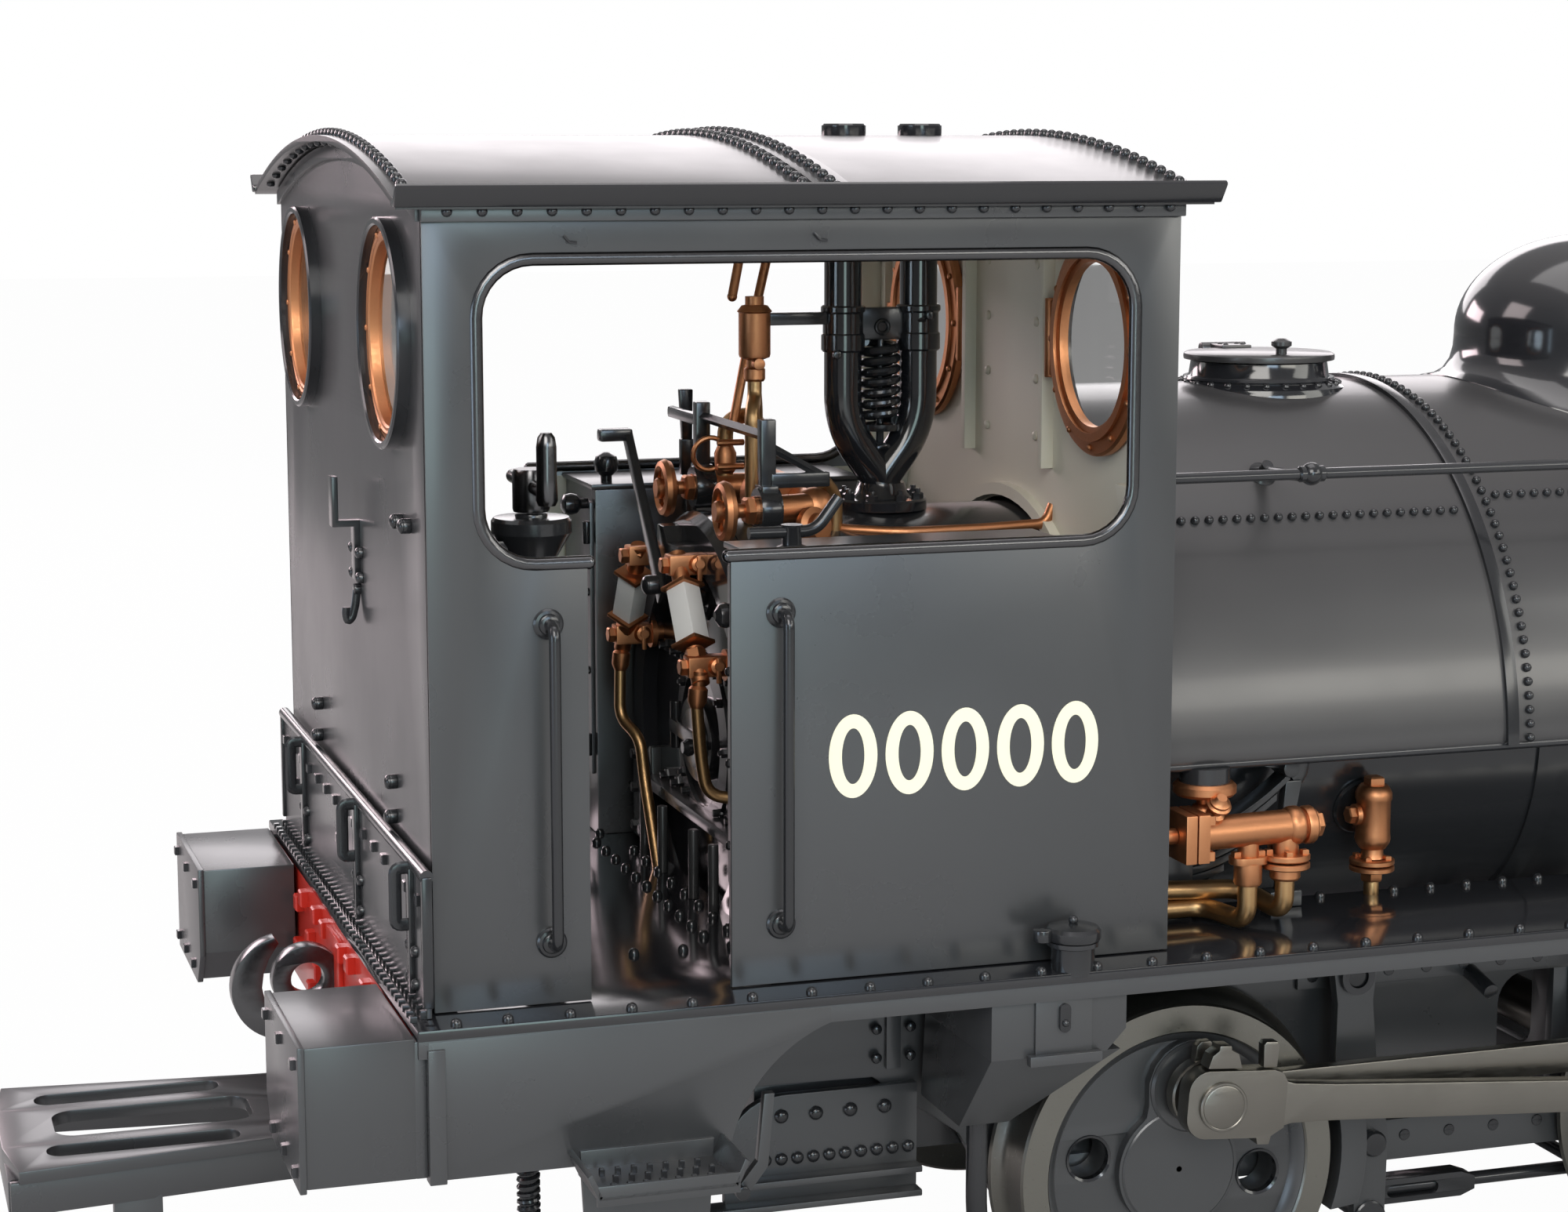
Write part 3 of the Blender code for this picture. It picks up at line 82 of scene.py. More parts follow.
# Driving places: the first few are read from the frame, the others are heights and sizes that many pieces share
DECK_REAR = reach("footplate")[0].x
REAR_AXLE = joint_place("rear_wheelset_turn")
FRONT_AXLE = joint_place("front_wheelset_turn")
TREAD = REAR_AXLE.z
THROW = 20.25
DECK = 101.2
CAB_REAR = -261.1
CAB_FRONT = -91.8
CAB_SIDE = 94.0
SILL = 196.3
BOILER_Z = 138.0
BOILER_R = 56.0
TANK_R = 85.0
ROOF_APEX = 285.2
ROOF_R = 364.0
SPRING_EYE = 135.4      # height of the leaf springs' eyes
BRAKE_PIN = (-28.7, 126.5)      # how far along the brake hangers' pivots stand
BRAKE_PIN_Z = 82.8
ROD_Z = 21.0      # height of the brake pull rods
CYLINDER = 261.0      # a cylinder's middle, along its axis from the rear axle


# ---------------------------------------------------------------- materials

def add_node(tree, kind, **inputs):
    """Adds a shader node, with each named input linked or set."""
    result = tree.nodes.new("ShaderNode" + kind)
    for key, value in inputs.items():
        feed(tree, result.inputs[key.replace("_", " ")], value)
    return result


def feed(tree, socket, value):
    """Links another node's output to a socket, or sets its value."""
    if isinstance(value, bpy.types.NodeSocket):
        tree.links.new(value, socket)
    else:
        socket.default_value = value


class Graph:
    """A material's nodes, added and linked by name."""

    def __init__(self, name):
        self.material = bpy.data.materials.new(name)
        self.material.use_nodes = True
        self.tree = self.material.node_tree
        self.shader = self.tree.nodes["Principled BSDF"]
        self.coords = self.node("TexCoord").outputs["Object"]

    def node(self, kind, **inputs):
        return add_node(self.tree, kind, **inputs)

    def noise(self, scale, detail=3.0, stretch=None):
        """A noise whose features are about 1 / scale metres across."""
        source = self.coords
        if stretch:
            source = self.node("Mapping", Vector=source, Scale=stretch).outputs["Vector"]
        return self.node("TexNoise", Vector=source, Scale=scale, Detail=detail).outputs["Fac"]

    def spread(self, value, low, high, start=0.3, end=0.7):
        """Maps a noise onto a range."""
        node = self.node("MapRange", Value=value, To_Min=low, To_Max=high, From_Min=start, From_Max=end)
        return node.outputs["Result"]

    def mix(self, factor, first, second):
        node = self.tree.nodes.new("ShaderNodeMix")
        node.data_type = "RGBA"
        feed(self.tree, node.inputs[0], factor)
        for index, value in ((6, first), (7, second)):
            feed(self.tree, node.inputs[index], value if isinstance(value, bpy.types.NodeSocket) else (*value, 1.0))
        return node.outputs[2]

    def bump(self, layers):
        """Stacks (height, strength, depth in mm) layers into one normal."""
        normal = None
        for height, strength, depth in layers:
            bump = self.node("Bump", Height=height, Strength=strength, Distance=depth * MM)
            if normal:
                self.tree.links.new(normal, bump.inputs["Normal"])
            normal = bump.outputs["Normal"]
        self.tree.links.new(normal, self.shader.inputs["Normal"])

    def set(self, **inputs):
        for key, value in inputs.items():
            socket = self.shader.inputs[key.replace("_", " ")]
            feed(self.tree, socket, (*value, 1.0) if isinstance(value, tuple) else value)


def tint(colour, factor):
    """A lighter or darker version of a colour."""
    return tuple(min(1.0, channel * factor) for channel in colour)


def paint(name, slot, colour, roughness, coat, peel=0.06, dust=0.06, worn=0.25, metal=0.35):
    """Sprayed enamel: orange peel, faint dust in broad patches, softly rubbed edges."""
    g = Graph(name)
    patches = g.noise(14.0, 4.0)
    dusty = g.mix(g.spread(patches, 0.0, dust), colour, tint(colour, 1.7))
    edge = g.node("NewGeometry").outputs["Pointiness"]
    rubbed = g.spread(edge, 0.0, worn, 0.53, 0.62)
    g.set(Base_Color=g.mix(rubbed, dusty, tint(colour, 2.2)), Metallic=metal)
    smudges = g.noise(45.0, 5.0)
    g.set(Roughness=g.spread(smudges, roughness * 0.92, roughness * 1.08), Coat_Weight=coat, Coat_Roughness=0.12)
    g.bump([(g.noise(520.0, 3.0), peel, 0.01), (g.noise(1500.0, 2.0), peel, 0.004)])
    g.material["slot"] = slot
    return g.material


def bare_metal(name, slot, colour, roughness, stretch=(1.0, 1.0, 1.0), lines=0.12, tarnish=0.3, grain=1600.0):
    """Worked metal: fine tool lines along one way, darker tarnish in patches, lighter edges."""
    g = Graph(name)
    patches = g.noise(60.0, 6.0)
    brushed = g.noise(grain, 4.0, stretch)
    base = g.mix(g.spread(patches, 0.0, tarnish), colour, tint(colour, 0.72))
    edge = g.node("NewGeometry").outputs["Pointiness"]
    bright = g.mix(g.spread(edge, 0.0, 0.5, 0.53, 0.62), base, tint(colour, 1.3))
    g.set(Base_Color=bright, Metallic=1.0)
    g.set(Roughness=g.spread(brushed, roughness * 0.85, roughness * 1.2))
    g.bump([(brushed, lines, 0.006), (g.noise(300.0, 3.0), 0.04, 0.008)])
    g.material["slot"] = slot
    return g.material


def clear_glass():
    """Thin window glass with faint smears."""
    g = Graph("clear_glass")
    smears = g.noise(90.0, 5.0)
    g.set(Base_Color=(0.97, 0.99, 0.98), Transmission_Weight=1.0, IOR=1.12)
    g.set(Roughness=g.spread(smears, 0.0, 0.05))
    g.bump([(g.noise(40.0, 2.0), 0.05, 0.02)])
    g.material["slot"] = "black_paint"
    return g.material


BLACK = paint("satin_black", "black_paint", (0.078, 0.08, 0.084), 0.29, 0.1, metal=0.6)
TANK_BLACK = paint("tank_black", "black_paint", (0.062, 0.061, 0.063), 0.3, 0.2, metal=0.5)
GLOSS = paint("gloss_black", "gloss_black_paint", (0.014, 0.0145, 0.017), 0.12, 0.6, metal=0.0)
IRON = paint("fittings_black", "gloss_black_paint", (0.03, 0.031, 0.034), 0.22, 0.35, worn=0.4, metal=0.5)
RED = paint("beam_red", "red_paint", (0.5, 0.022, 0.011), 0.35, 0.2, worn=0.0, metal=0.0)
CREAM = paint("cab_cream", "cream_paint", (0.74, 0.71, 0.6), 0.45, 0.0, worn=0.0, metal=0.0)
IVORY = paint("marking_cream", "cream_paint", (0.93, 0.89, 0.68), 0.5, 0.0, worn=0.0, metal=0.0)
WHITE = paint("gauge_white", "white_enamel", (0.86, 0.87, 0.87), 0.35, 0.2, worn=0.0, metal=0.0)
COPPER = bare_metal("red_bronze", "copper_bronze", (0.56, 0.25, 0.12), 0.42, lines=0.04)
BRASS = bare_metal("brass_pipe", "copper_bronze", (0.5, 0.31, 0.15), 0.38, lines=0.02)
STEEL = bare_metal("bright_steel", "steel", (0.22, 0.21, 0.19), 0.34, (0.15, 1.0, 1.0))
RIM = bare_metal("turned_steel", "steel", (0.21, 0.205, 0.185), 0.32)
BEADING = bare_metal("beading_steel", "steel", (0.12, 0.12, 0.125), 0.22)
GLASS = clear_glass()


# ---------------------------------------------------------------- shapes

UP, AHEAD, BACK, ALONG_Y = (0, 0, 1), (1, 0, 0), (-1, 0, 0), (0, 1, 0)
PLANES = {"XY": Matrix((AHEAD, ALONG_Y, UP)), "XZ": Matrix((AHEAD, UP, ALONG_Y)), "YZ": Matrix((UP, AHEAD, ALONG_Y))}
DECK_HEAD = (1.25, 1.3, 14)      # radius, height and sides of the deck's rivets


def turn_to(axis):
    """The rotation that stands +Z along an axis."""
    return Vector(UP).rotation_difference(Vector(axis)).to_matrix()


def polar(centre, radius, degrees):
    """One point on a circle."""
    a = math.radians(degrees)
    return (centre[0] + radius * math.cos(a), centre[1] + radius * math.sin(a))


def arc(centre, radius, start, end, steps=10):
    """Points on a circle, angles in degrees."""
    return [polar(centre, radius, start + (end - start) * i / steps) for i in range(steps + 1)]


def circle(centre, radius, steps=32):
    """A whole circle's outline."""
    return arc(centre, radius, 0, 360 - 360 / steps, steps - 1)


def oval(centre, wide, tall, steps=48):
    """An ellipse's outline, from its two half sizes."""
    return [(centre[0] + wide * math.cos(a), centre[1] + tall * math.sin(a)) for a in turns(steps)]


def turns(count, start=0.0):
    """Evenly spaced angles of a full turn."""
    return [TAU * i / count + start for i in range(count)]


def around(plane, centre, radius, count, start=0.0):
    """Places evenly spaced on a circle in a plane."""
    return [Vector(centre) + PLANES[plane] @ Vector((radius * math.cos(a), radius * math.sin(a), 0))
            for a in turns(count, start)]


def rounded(low, high, radius, steps=6):
    """A rectangle with round corners."""
    (x0, z0), (x1, z1) = low, high
    r = radius
    return (arc((x1 - r, z0 + r), r, -90, 0, steps) + arc((x1 - r, z1 - r), r, 0, 90, steps)
            + arc((x0 + r, z1 - r), r, 90, 180, steps) + arc((x0 + r, z0 + r), r, 180, 270, steps))


def bend(points, radius, steps=6):
    """Rounds the inner corners of a path."""
    points = [Vector(p) for p in points]
    result = [points[0]]
    for before, corner, after in zip(points, points[1:], points[2:]):
        back, ahead = before - corner, after - corner
        reach_back = min(radius, back.length * 0.48, ahead.length * 0.48)
        start, end = corner + back.normalized() * reach_back, corner + ahead.normalized() * reach_back
        for i in range(steps + 1):
            t = i / steps
            result.append(start * (1 - t) ** 2 + corner * 2 * t * (1 - t) + end * t * t)
    result.append(points[-1])
    return result


def coil(centre, radius, low, high, laps, steps=16):
    """A vertical helix."""
    count = int(laps * steps)
    return [Vector((centre[0] + radius * math.cos(TAU * i / steps), centre[1] + radius * math.sin(TAU * i / steps),
                    low + (high - low) * i / count)) for i in range(count + 1)]


def wrap(bm, rings, count):
    """Joins the profiles of a turned shape, each to the next and the last to the first."""
    for first, second in zip(rings, rings[1:] + rings[:1]):
        for k in range(count):
            after = (k + 1) % len(first)
            bm.faces.new((first[k], second[k], second[after], first[after]))


def stack(bm, pairs, sides):
    """Joins the sections of a bar, each to the next."""
    for first, second in pairs:
        for k in range(sides):
            after = (k + 1) % sides
            bm.faces.new((first[k], first[after], second[after], second[k]))


class Piece:
    """Shapes of one material gathered into one object that rides on one body."""

    def __init__(self, name, material, *nodes, body="engine"):
        self.name, self.material, self.nodes, self.body = name, material, nodes, body
        self.points, self.faces = [], []
        PIECES.append(self)

    def add(self, points, faces):
        start = len(self.points)
        self.points.extend(points)
        self.faces.extend([start + i for i in face] for face in faces)

    def take(self, bm, edge=0.0, least=40.0):
        """Welds a bmesh, bevels its sharp edges and adds it."""
        bmesh.ops.remove_doubles(bm, verts=bm.verts, dist=0.002)
        bmesh.ops.recalc_face_normals(bm, faces=bm.faces)
        if edge:
            limit = math.radians(least)
            sharp = [e for e in bm.edges if len(e.link_faces) == 2 and e.calc_face_angle(0) > limit]
            bmesh.ops.bevel(bm, geom=sharp, offset=edge, segments=2, profile=0.6, affect="EDGES",
                            clamp_overlap=True)
        bm.verts.index_update()
        self.add([v.co.copy() for v in bm.verts], [[v.index for v in f.verts] for f in bm.faces])
        bm.free()

    def box(self, low, high, edge=0.35, turned=None, about=None):
        bm = bmesh.new()
        bmesh.ops.create_cube(bm, size=1.0)
        low, high = Vector(low), Vector(high)
        for vert in bm.verts:
            vert.co = Vector((low + high) / 2) + Vector([abs(high[i] - low[i]) * vert.co[i] for i in range(3)])
        if turned:
            pivot = Vector(about) if about else (low + high) / 2
            bmesh.ops.rotate(bm, verts=bm.verts, cent=pivot, matrix=turned)
        self.take(bm, edge)

    def turn(self, profile, centre, axis=UP, steps=32, edge=0.0):
        """Turns a profile of (radius, along) points about an axis."""
        basis, centre = turn_to(axis), Vector(centre)
        profile = [(0, profile[0][1]), *profile, (0, profile[-1][1])]
        bm = bmesh.new()
        rings = []
        for i in range(steps):
            a = TAU * i / steps
            rings.append([bm.verts.new(centre + basis @ Vector((r * math.cos(a), r * math.sin(a), t)))
                          for r, t in profile])
        wrap(bm, rings, len(profile) - 1)
        bmesh.ops.remove_doubles(bm, verts=bm.verts, dist=0.002)
        bmesh.ops.dissolve_degenerate(bm, edges=bm.edges, dist=0.002)
        self.take(bm, edge)

    def rod(self, start, end, radius, steps=20, edge=0.25):
        start, end = Vector(start), Vector(end)
        length = (end - start).length
        c = min(edge, radius * 0.5, length * 0.3)
        profile = [(radius - c, 0), (radius - c * 0.3, c * 0.3), (radius, c), (radius, length - c),
                   (radius - c * 0.3, length - c * 0.3), (radius - c, length)]
        self.turn(profile, start, end - start, steps)

    def ball(self, centre, radius, flatten=1.0, axis=UP, steps=20):
        profile = [(radius * math.cos(math.radians(a)), radius * flatten * math.sin(math.radians(a)))
                   for a in range(-84, 85, 12)]
        self.turn(profile, centre, axis, steps)

    def ring(self, centre, axis, radius, thick, steps=40, sides=10):
        """A torus."""
        basis, centre = turn_to(axis), Vector(centre)
        path = [centre + basis @ Vector((radius * math.cos(TAU * i / steps), radius * math.sin(TAU * i / steps), 0))
                for i in range(steps)]
        self.tube(path, thick, sides, closed=True)

    def tube(self, path, radius, sides=12, closed=False, wide=None):
        """A round bar or pipe along a path. With wide, its section is an ellipse (radius, wide)."""
        path = [Vector(p) for p in path]
        count = len(path)
        radii = radius if isinstance(radius, (list, tuple)) else [radius] * count
        tangents = []
        for i in range(count):
            before = path[i - 1] if i or closed else path[0]
            after = path[(i + 1) % count] if i < count - 1 or closed else path[-1]
            tangents.append((after - before).normalized())
        guide = Vector(UP if abs(tangents[0].z) < 0.9 else AHEAD)
        normal = tangents[0].cross(guide).normalized()
        bm = bmesh.new()
        rings = []
        for i in range(count):
            if i:
                normal = tangents[i - 1].rotation_difference(tangents[i]) @ normal
            other = tangents[i].cross(normal)
            tall = wide if wide else radii[i]
            rings.append([bm.verts.new(path[i] + normal * radii[i] * math.cos(TAU * k / sides)
                                       + other * tall * math.sin(TAU * k / sides)) for k in range(sides)])
        pairs = list(zip(rings, rings[1:]))
        if closed:
            pairs.append((rings[-1], rings[0]))
        stack(bm, pairs, sides)
        if not closed:
            bm.faces.new(rings[0])
            bm.faces.new(rings[-1])
        self.take(bm)

    def plate(self, plane, outline, low, high, holes=(), edge=0.25):
        """A flat outline with holes, as thick as low to high along the plane's normal."""
        curve = bpy.data.curves.new("outline", "CURVE")
        curve.dimensions = "2D"
        curve.fill_mode = "BOTH"
        curve.extrude = abs(high - low) / 2
        for loop in (outline, *holes):
            spline = curve.splines.new("POLY")
            spline.use_cyclic_u = True
            spline.points.add(len(loop) - 1)
            for point, (u, v) in zip(spline.points, loop):
                point.co = (u, v, 0, 1)
        holder = bpy.data.objects.new("outline", curve)
        bpy.context.scene.collection.objects.link(holder)
        graph = bpy.context.evaluated_depsgraph_get()
        mesh = bpy.data.meshes.new_from_object(holder.evaluated_get(graph))
        bm = bmesh.new()
        bm.from_mesh(mesh)
        basis = PLANES[plane].to_4x4()
        basis.translation = PLANES[plane] @ Vector((0, 0, (low + high) / 2))
        bmesh.ops.transform(bm, matrix=basis, verts=bm.verts)
        bpy.data.objects.remove(holder)
        bpy.data.curves.remove(curve)
        bpy.data.meshes.remove(mesh)
        self.take(bm, edge, 50.0)

    def rivets(self, places, axis, radius=1.05, height=1.05, sides=10):
        """Domed heads standing along an axis, or along each place's own axis."""
        for index, place in enumerate(places):
            way = axis[index] if isinstance(axis, list) else axis
            basis, place = turn_to(way), Vector(place)
            tall = height * radius
            rings = [(radius, -0.1), (radius, tall * 0.4), (radius * 0.8, tall * 0.78), (radius * 0.42, tall * 1.0)]
            points = []
            for r, t in rings:
                points += [place + basis @ Vector((r * math.cos(TAU * k / sides), r * math.sin(TAU * k / sides), t))
                           for k in range(sides)]
            points.append(place + basis @ Vector((0, 0, tall * 1.06)))
            faces = []
            for j in (0, sides, 2 * sides):
                faces += [(j + k, j + (k + 1) % sides, j + sides + (k + 1) % sides, j + sides + k)
                          for k in range(sides)]
            faces += [(3 * sides + k, 3 * sides + (k + 1) % sides, 4 * sides) for k in range(sides)]
            faces.append(tuple(reversed(range(sides))))
            self.add(points, faces)

    def bolts(self, places, axis, across=2.6, height=1.5, sides=6, stud=0.0, spin=0.0):
        """Hexagon or square heads, with a stud end if asked."""
        for place in places:
            basis = turn_to(axis) @ Matrix.Rotation(spin, 3, "Z")
            place = Vector(place)
            bm = bmesh.new()
            r = across / 2 / math.cos(math.pi / sides)
            rings = []
            for radius, t in ((r, -0.05), (r, height * 0.82), (r * 0.82, height)):
                rings.append([bm.verts.new(place + basis @ Vector((radius * math.cos(TAU * (k + 0.5) / sides),
                              radius * math.sin(TAU * (k + 0.5) / sides), t))) for k in range(sides)])
            stack(bm, zip(rings, rings[1:]), sides)
            bm.faces.new(rings[0])
            bm.faces.new(rings[-1])
            self.take(bm)
            if stud:
                top = place + basis @ Vector((0, 0, height + stud))
                self.rod(place, top, across * 0.3, 10, 0.2)

    def build(self):
        mesh = bpy.data.meshes.new(self.name)
        mesh.from_pydata([(p + SHIFT) * MM for p in self.points], [], self.faces)
        mesh.update()
        mesh.polygons.foreach_set("use_smooth", [True] * len(mesh.polygons))
        mesh.set_sharp_from_angle(angle=math.radians(32))
        name = self.name + "_finish" if self.name in frame["nodes"] else self.name
        result = bpy.data.objects.new(name, mesh)
        bpy.context.scene.collection.objects.link(result)
        mesh.materials.append(self.material)
        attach(result, self.body)
        if self.nodes:
            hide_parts(*self.nodes)


def fixed(node, material):
    """A piece that stands for a CAD node of the engine's own body."""
    return Piece(node, material, node)


def moving(node, material):
    """A piece that stands for a CAD node and rides on the body of the same name."""
    return Piece(node, material, node, body=node)


def roof_z(y, lift=0.0):
    """Height of the roof's outer face at a distance from the centre line."""
    return ROOF_APEX + lift - ROOF_R + math.sqrt((ROOF_R + lift) ** 2 - y * y) - lift


# ---------------------------------------------------------------- cab

def side_opening():
    """Outline of the cab's side opening, from the rear sill's lip over the top to the front sill's lip."""
    top = 259.8
    return (arc((-238.0, SILL + 12), 12, 270, 180, 8) + arc((-238.0, top - 12), 12, 180, 90, 8)
            + arc((-114.1, top - 12), 12, 90, 0, 8) + arc((-114.1, SILL + 12), 12, 0, -90, 8))


DOOR_REAR = -226.9
DOOR_FRONT = -195.5


def cab_side(side, word):
    """The side sheet with its beaded opening, eave strip and handrails."""
    sheet = fixed("cab_side_" + word, BLACK)
    outer = side * CAB_SIDE
    outline = [(CAB_REAR, DECK + 0.4), (DOOR_REAR, DECK + 0.4), (DOOR_REAR, SILL), *side_opening(),
               (DOOR_FRONT, SILL), (DOOR_FRONT, DECK + 0.4), (CAB_FRONT, DECK + 0.4), (CAB_FRONT, 270.4),
               (CAB_REAR, 270.4)]
    sheet.plate("XZ", outline, outer, outer - side * 1.3, edge=0.2)
    sheet.box((CAB_REAR - 0.3, outer - side * 0.4, 267.5), (CAB_FRONT + 0.3, outer + side * 1.9, 270.9), 0.3)
    sheet.box((CAB_REAR + 1.4, outer - side * 1.2, DECK + 1), (CAB_REAR + 5.4, outer - side * 5.5, 268), 0.3)
    beading = Piece("cab_side_beading_" + word, BEADING)
    path = [(x, outer - side * 0.6, z) for x, z in [(DOOR_REAR + 0.8, SILL), *side_opening(), (DOOR_FRONT - 0.8, SILL)]]
    beading.tube(path, 1.25, 14, wide=1.5)
    for x in (DOOR_REAR + 0.8, DOOR_FRONT - 0.8):
        beading.ball((x, outer - side * 0.6, SILL), 1.35, 0.7, AHEAD)
    rails = Piece("cab_handrails_" + word, IRON)
    for x in (-235.6, -184.4):
        post = outer + side * 6.0
        rails.tube(bend([(x, outer, 183.7), (x, post, 183.7), (x, post, 115.0), (x, outer, 115.0)], 4.0, 8), 1.25, 16)
        for z in (183.7, 115.0):
            rails.turn([(3.3, -0.1), (3.3, 0.5), (2.9, 0.9), (2.3, 1.0), (2.1, 1.5), (1.7, 1.7)],
                       (x, outer, z), (0, side, 0), 28)
    for x in (-230.3, -175.8):
        rails.tube([(x - 1.2, outer + side * 0.6, 264.6), (x, outer + side * 0.7, 263.2),
                    (x + 1.6, outer + side * 0.6, 263.0)], 0.3, 8)
    seam = [(CAB_REAR + 5.0 + 7.3 * i, outer + side * 1.7, 269.6) for i in range(23)]
    rails.rivets(seam, (0, side, 0), 1.15, 1.3, 12)


def end_sheet(low, lift=-1.8):
    """Outline in y and z of an end sheet from a low edge up to the roof."""
    half = CAB_SIDE - 0.3
    top = [(half - 2 * half * i / 24, roof_z(half - 2 * half * i / 24) + lift) for i in range(25)]
    return [(-half, low), (half, low), *top]


WINDOW_Y = 57.0
WINDOW_Z = 242.8
FRONT_WINDOW = (56.5, 237.0)


def cab_rear():
    """Rear sheet with two round windows, lamp iron, hook and brackets."""
    holes = [circle((s * WINDOW_Y, WINDOW_Z), 21.5, 48) for s in (-1, 1)]
    sheet = fixed("cab_rear_sheet", BLACK)
    sheet.plate("YZ", end_sheet(DECK + 0.4), CAB_REAR, CAB_REAR + 1.2, holes, 0.15)
    band = [(y, roof_z(y) - 2.1) for y in [-93.5 + 187 * i / 24 for i in range(25)]]
    band += [(y, z - 3.4) for y, z in reversed(band)]
    sheet.plate("YZ", band, CAB_REAR - 1.1, CAB_REAR + 0.1, edge=0.25)
    rims = Piece("rear_window_rims", IRON)
    frames = Piece("rear_window_frames", COPPER)
    panes = Piece("rear_window_glass", GLASS)
    for s in (-1, 1):
        centre = (CAB_REAR, s * WINDOW_Y, WINDOW_Z)
        hoop(rims, [(25.0, 0), (25.0, 2.6), (24.6, 3.0), (23.6, 3.0), (23.2, 2.6), (23.2, 0)], centre, BACK, 64)
        frames.ring(Vector(centre) + Vector((-0.2, 0, 0)), AHEAD, 21.6, 1.0, 64, 8)
        profile = [(23.1, 0.1), (23.1, 0.9), (20.4, 1.0), (20.0, 0.6), (19.6, -1.4), (19.2, -1.4), (19.2, -2.4),
                   (23.1, -2.4)]
        hoop(frames, profile, centre, BACK)
        frames.rivets(around("YZ", Vector(centre) + Vector((-0.9, 0, 0)), 21.9, 10), BACK, 0.75, 0.8)
        panes.plate("YZ", circle((s * WINDOW_Y, WINDOW_Z), 19.6, 48), CAB_REAR + 1.6, CAB_REAR + 2.2, edge=0)
    fittings = Piece("cab_rear_fittings", IRON)
    x, low = CAB_REAR + 0.1, 197.3
    iron = [(x, low - 14), (x, low), (x - 5.0, low), (x - 5.0, low + 10.2), (x - 6.5, low + 10.2), (x - 6.5, low - 1.5),
            (x - 1.5, low - 1.5), (x - 1.5, low - 14)]
    fittings.plate("XZ", iron, -15.2, -10.8, edge=0.2)
    for y, z in ((-8.5, 190.2), (-8.5, 184.4), (-17.6, 190.0), (-17.6, 184.2)):
        fittings.rivets([(CAB_REAR - 0.2, y, z)], BACK, 1.4, 1.1, 12)
    hook = [(x - 1.0, -14.5, 181.0), (x - 1.4, -14.5, 177.6), (x - 2.2, -14.5, 174.6), (x - 3.2, -14.5, 173.6),
            (x - 3.7, -14.5, 175.2), (x - 3.6, -14.5, 177.0)]
    fittings.tube(bend(hook, 0.8, 3), 0.55, 10, wide=1.0)
    fittings.rod((x, -14.5, 181.2), (x - 1.8, -14.5, 181.2), 1.3, 16)
    for y, z in ((-68.1, 203.3), (-76.9, 203.3), (44.7, 143.8), (45.8, 135.6), (-55.5, 143.9), (-54.7, 135.9)):
        fittings.rod((CAB_REAR, y, z), (CAB_REAR - 1.8, y, z), 1.65, 16, 0.2)
        fittings.ball((CAB_REAR - 1.8, y, z), 1.65, 0.7, AHEAD, 16)


def hoop(piece, profile, centre, axis, steps=48):
    """Turns a closed profile of (radius, along) points into a ring."""
    basis, centre = turn_to(axis), Vector(centre)
    bm = bmesh.new()
    rings = []
    for i in range(steps):
        a = TAU * i / steps
        rings.append([bm.verts.new(centre + basis @ Vector((r * math.cos(a), r * math.sin(a), t)))
                      for r, t in profile])
    wrap(bm, rings, len(profile))
    piece.take(bm)


def bracket(piece, x, y, top, tall, stem):
    """A lamp iron: an upright closed loop standing off the plate, on a flat stem."""
    low, out = top - tall, x - 3.8
    piece.tube(bend([(x, y, top), (out, y, top), (out, y, low), (x, y, low)], 1.3, 4), 0.65, 8, wide=1.4)
    piece.box((x - 1.3, y - 1.6, low - stem), (x + 0.1, y + 1.6, top), 0.3)


def guard_plate():
    """The riveted plate across the foot of the rear sheet, with its capping bar and lamp irons."""
    x = CAB_REAR - 1.1
    plate = Piece("cab_guard_plate", BLACK)
    plate.box((x - 1.2, -97, DECK + 0.2), (x, 97, 131.5), 0.2)
    trim = Piece("cab_guard_trim", IRON)
    trim.tube([(x - 0.8, -97.5, 132), (x - 0.8, 97.5, 132)], 1.5, 12)
    for s in (-1, 1):
        trim.box((x - 2.0, s * 97.0 - 0.9, DECK + 2.5), (x + 0.3, s * 97.0 + 0.9, 132), 0.4)
    for y in (-84, -18, 60):
        bracket(trim, x - 1.2, y, 131.2, 12.4, 15.0)
        for z in (113.6, 106.4):
            for dy in (-3.4, 3.4):
                trim.rivets([(x - 1.2, y + dy, z)], BACK, 1.35, 1.0, 12)
    studs = [(x - 1.2, y, 126.0) for y in range(-92, 96, 13)]
    studs += [(x - 1.2, y, 117.5) for y in (-63, 8, 75)]
    trim.bolts(studs, BACK, 2.3, 1.2, 4)
    rows = [(x - 1.6, -95.5 + 4.35 * i, DECK + 0.1) for i in range(45)]
    trim.bolts(rows, UP, 1.5, 1.7, 4)
    trim.bolts([(p[0] - 2.6, p[1] - 2.1, p[2]) for p in rows], UP, 1.5, 1.3, 4)


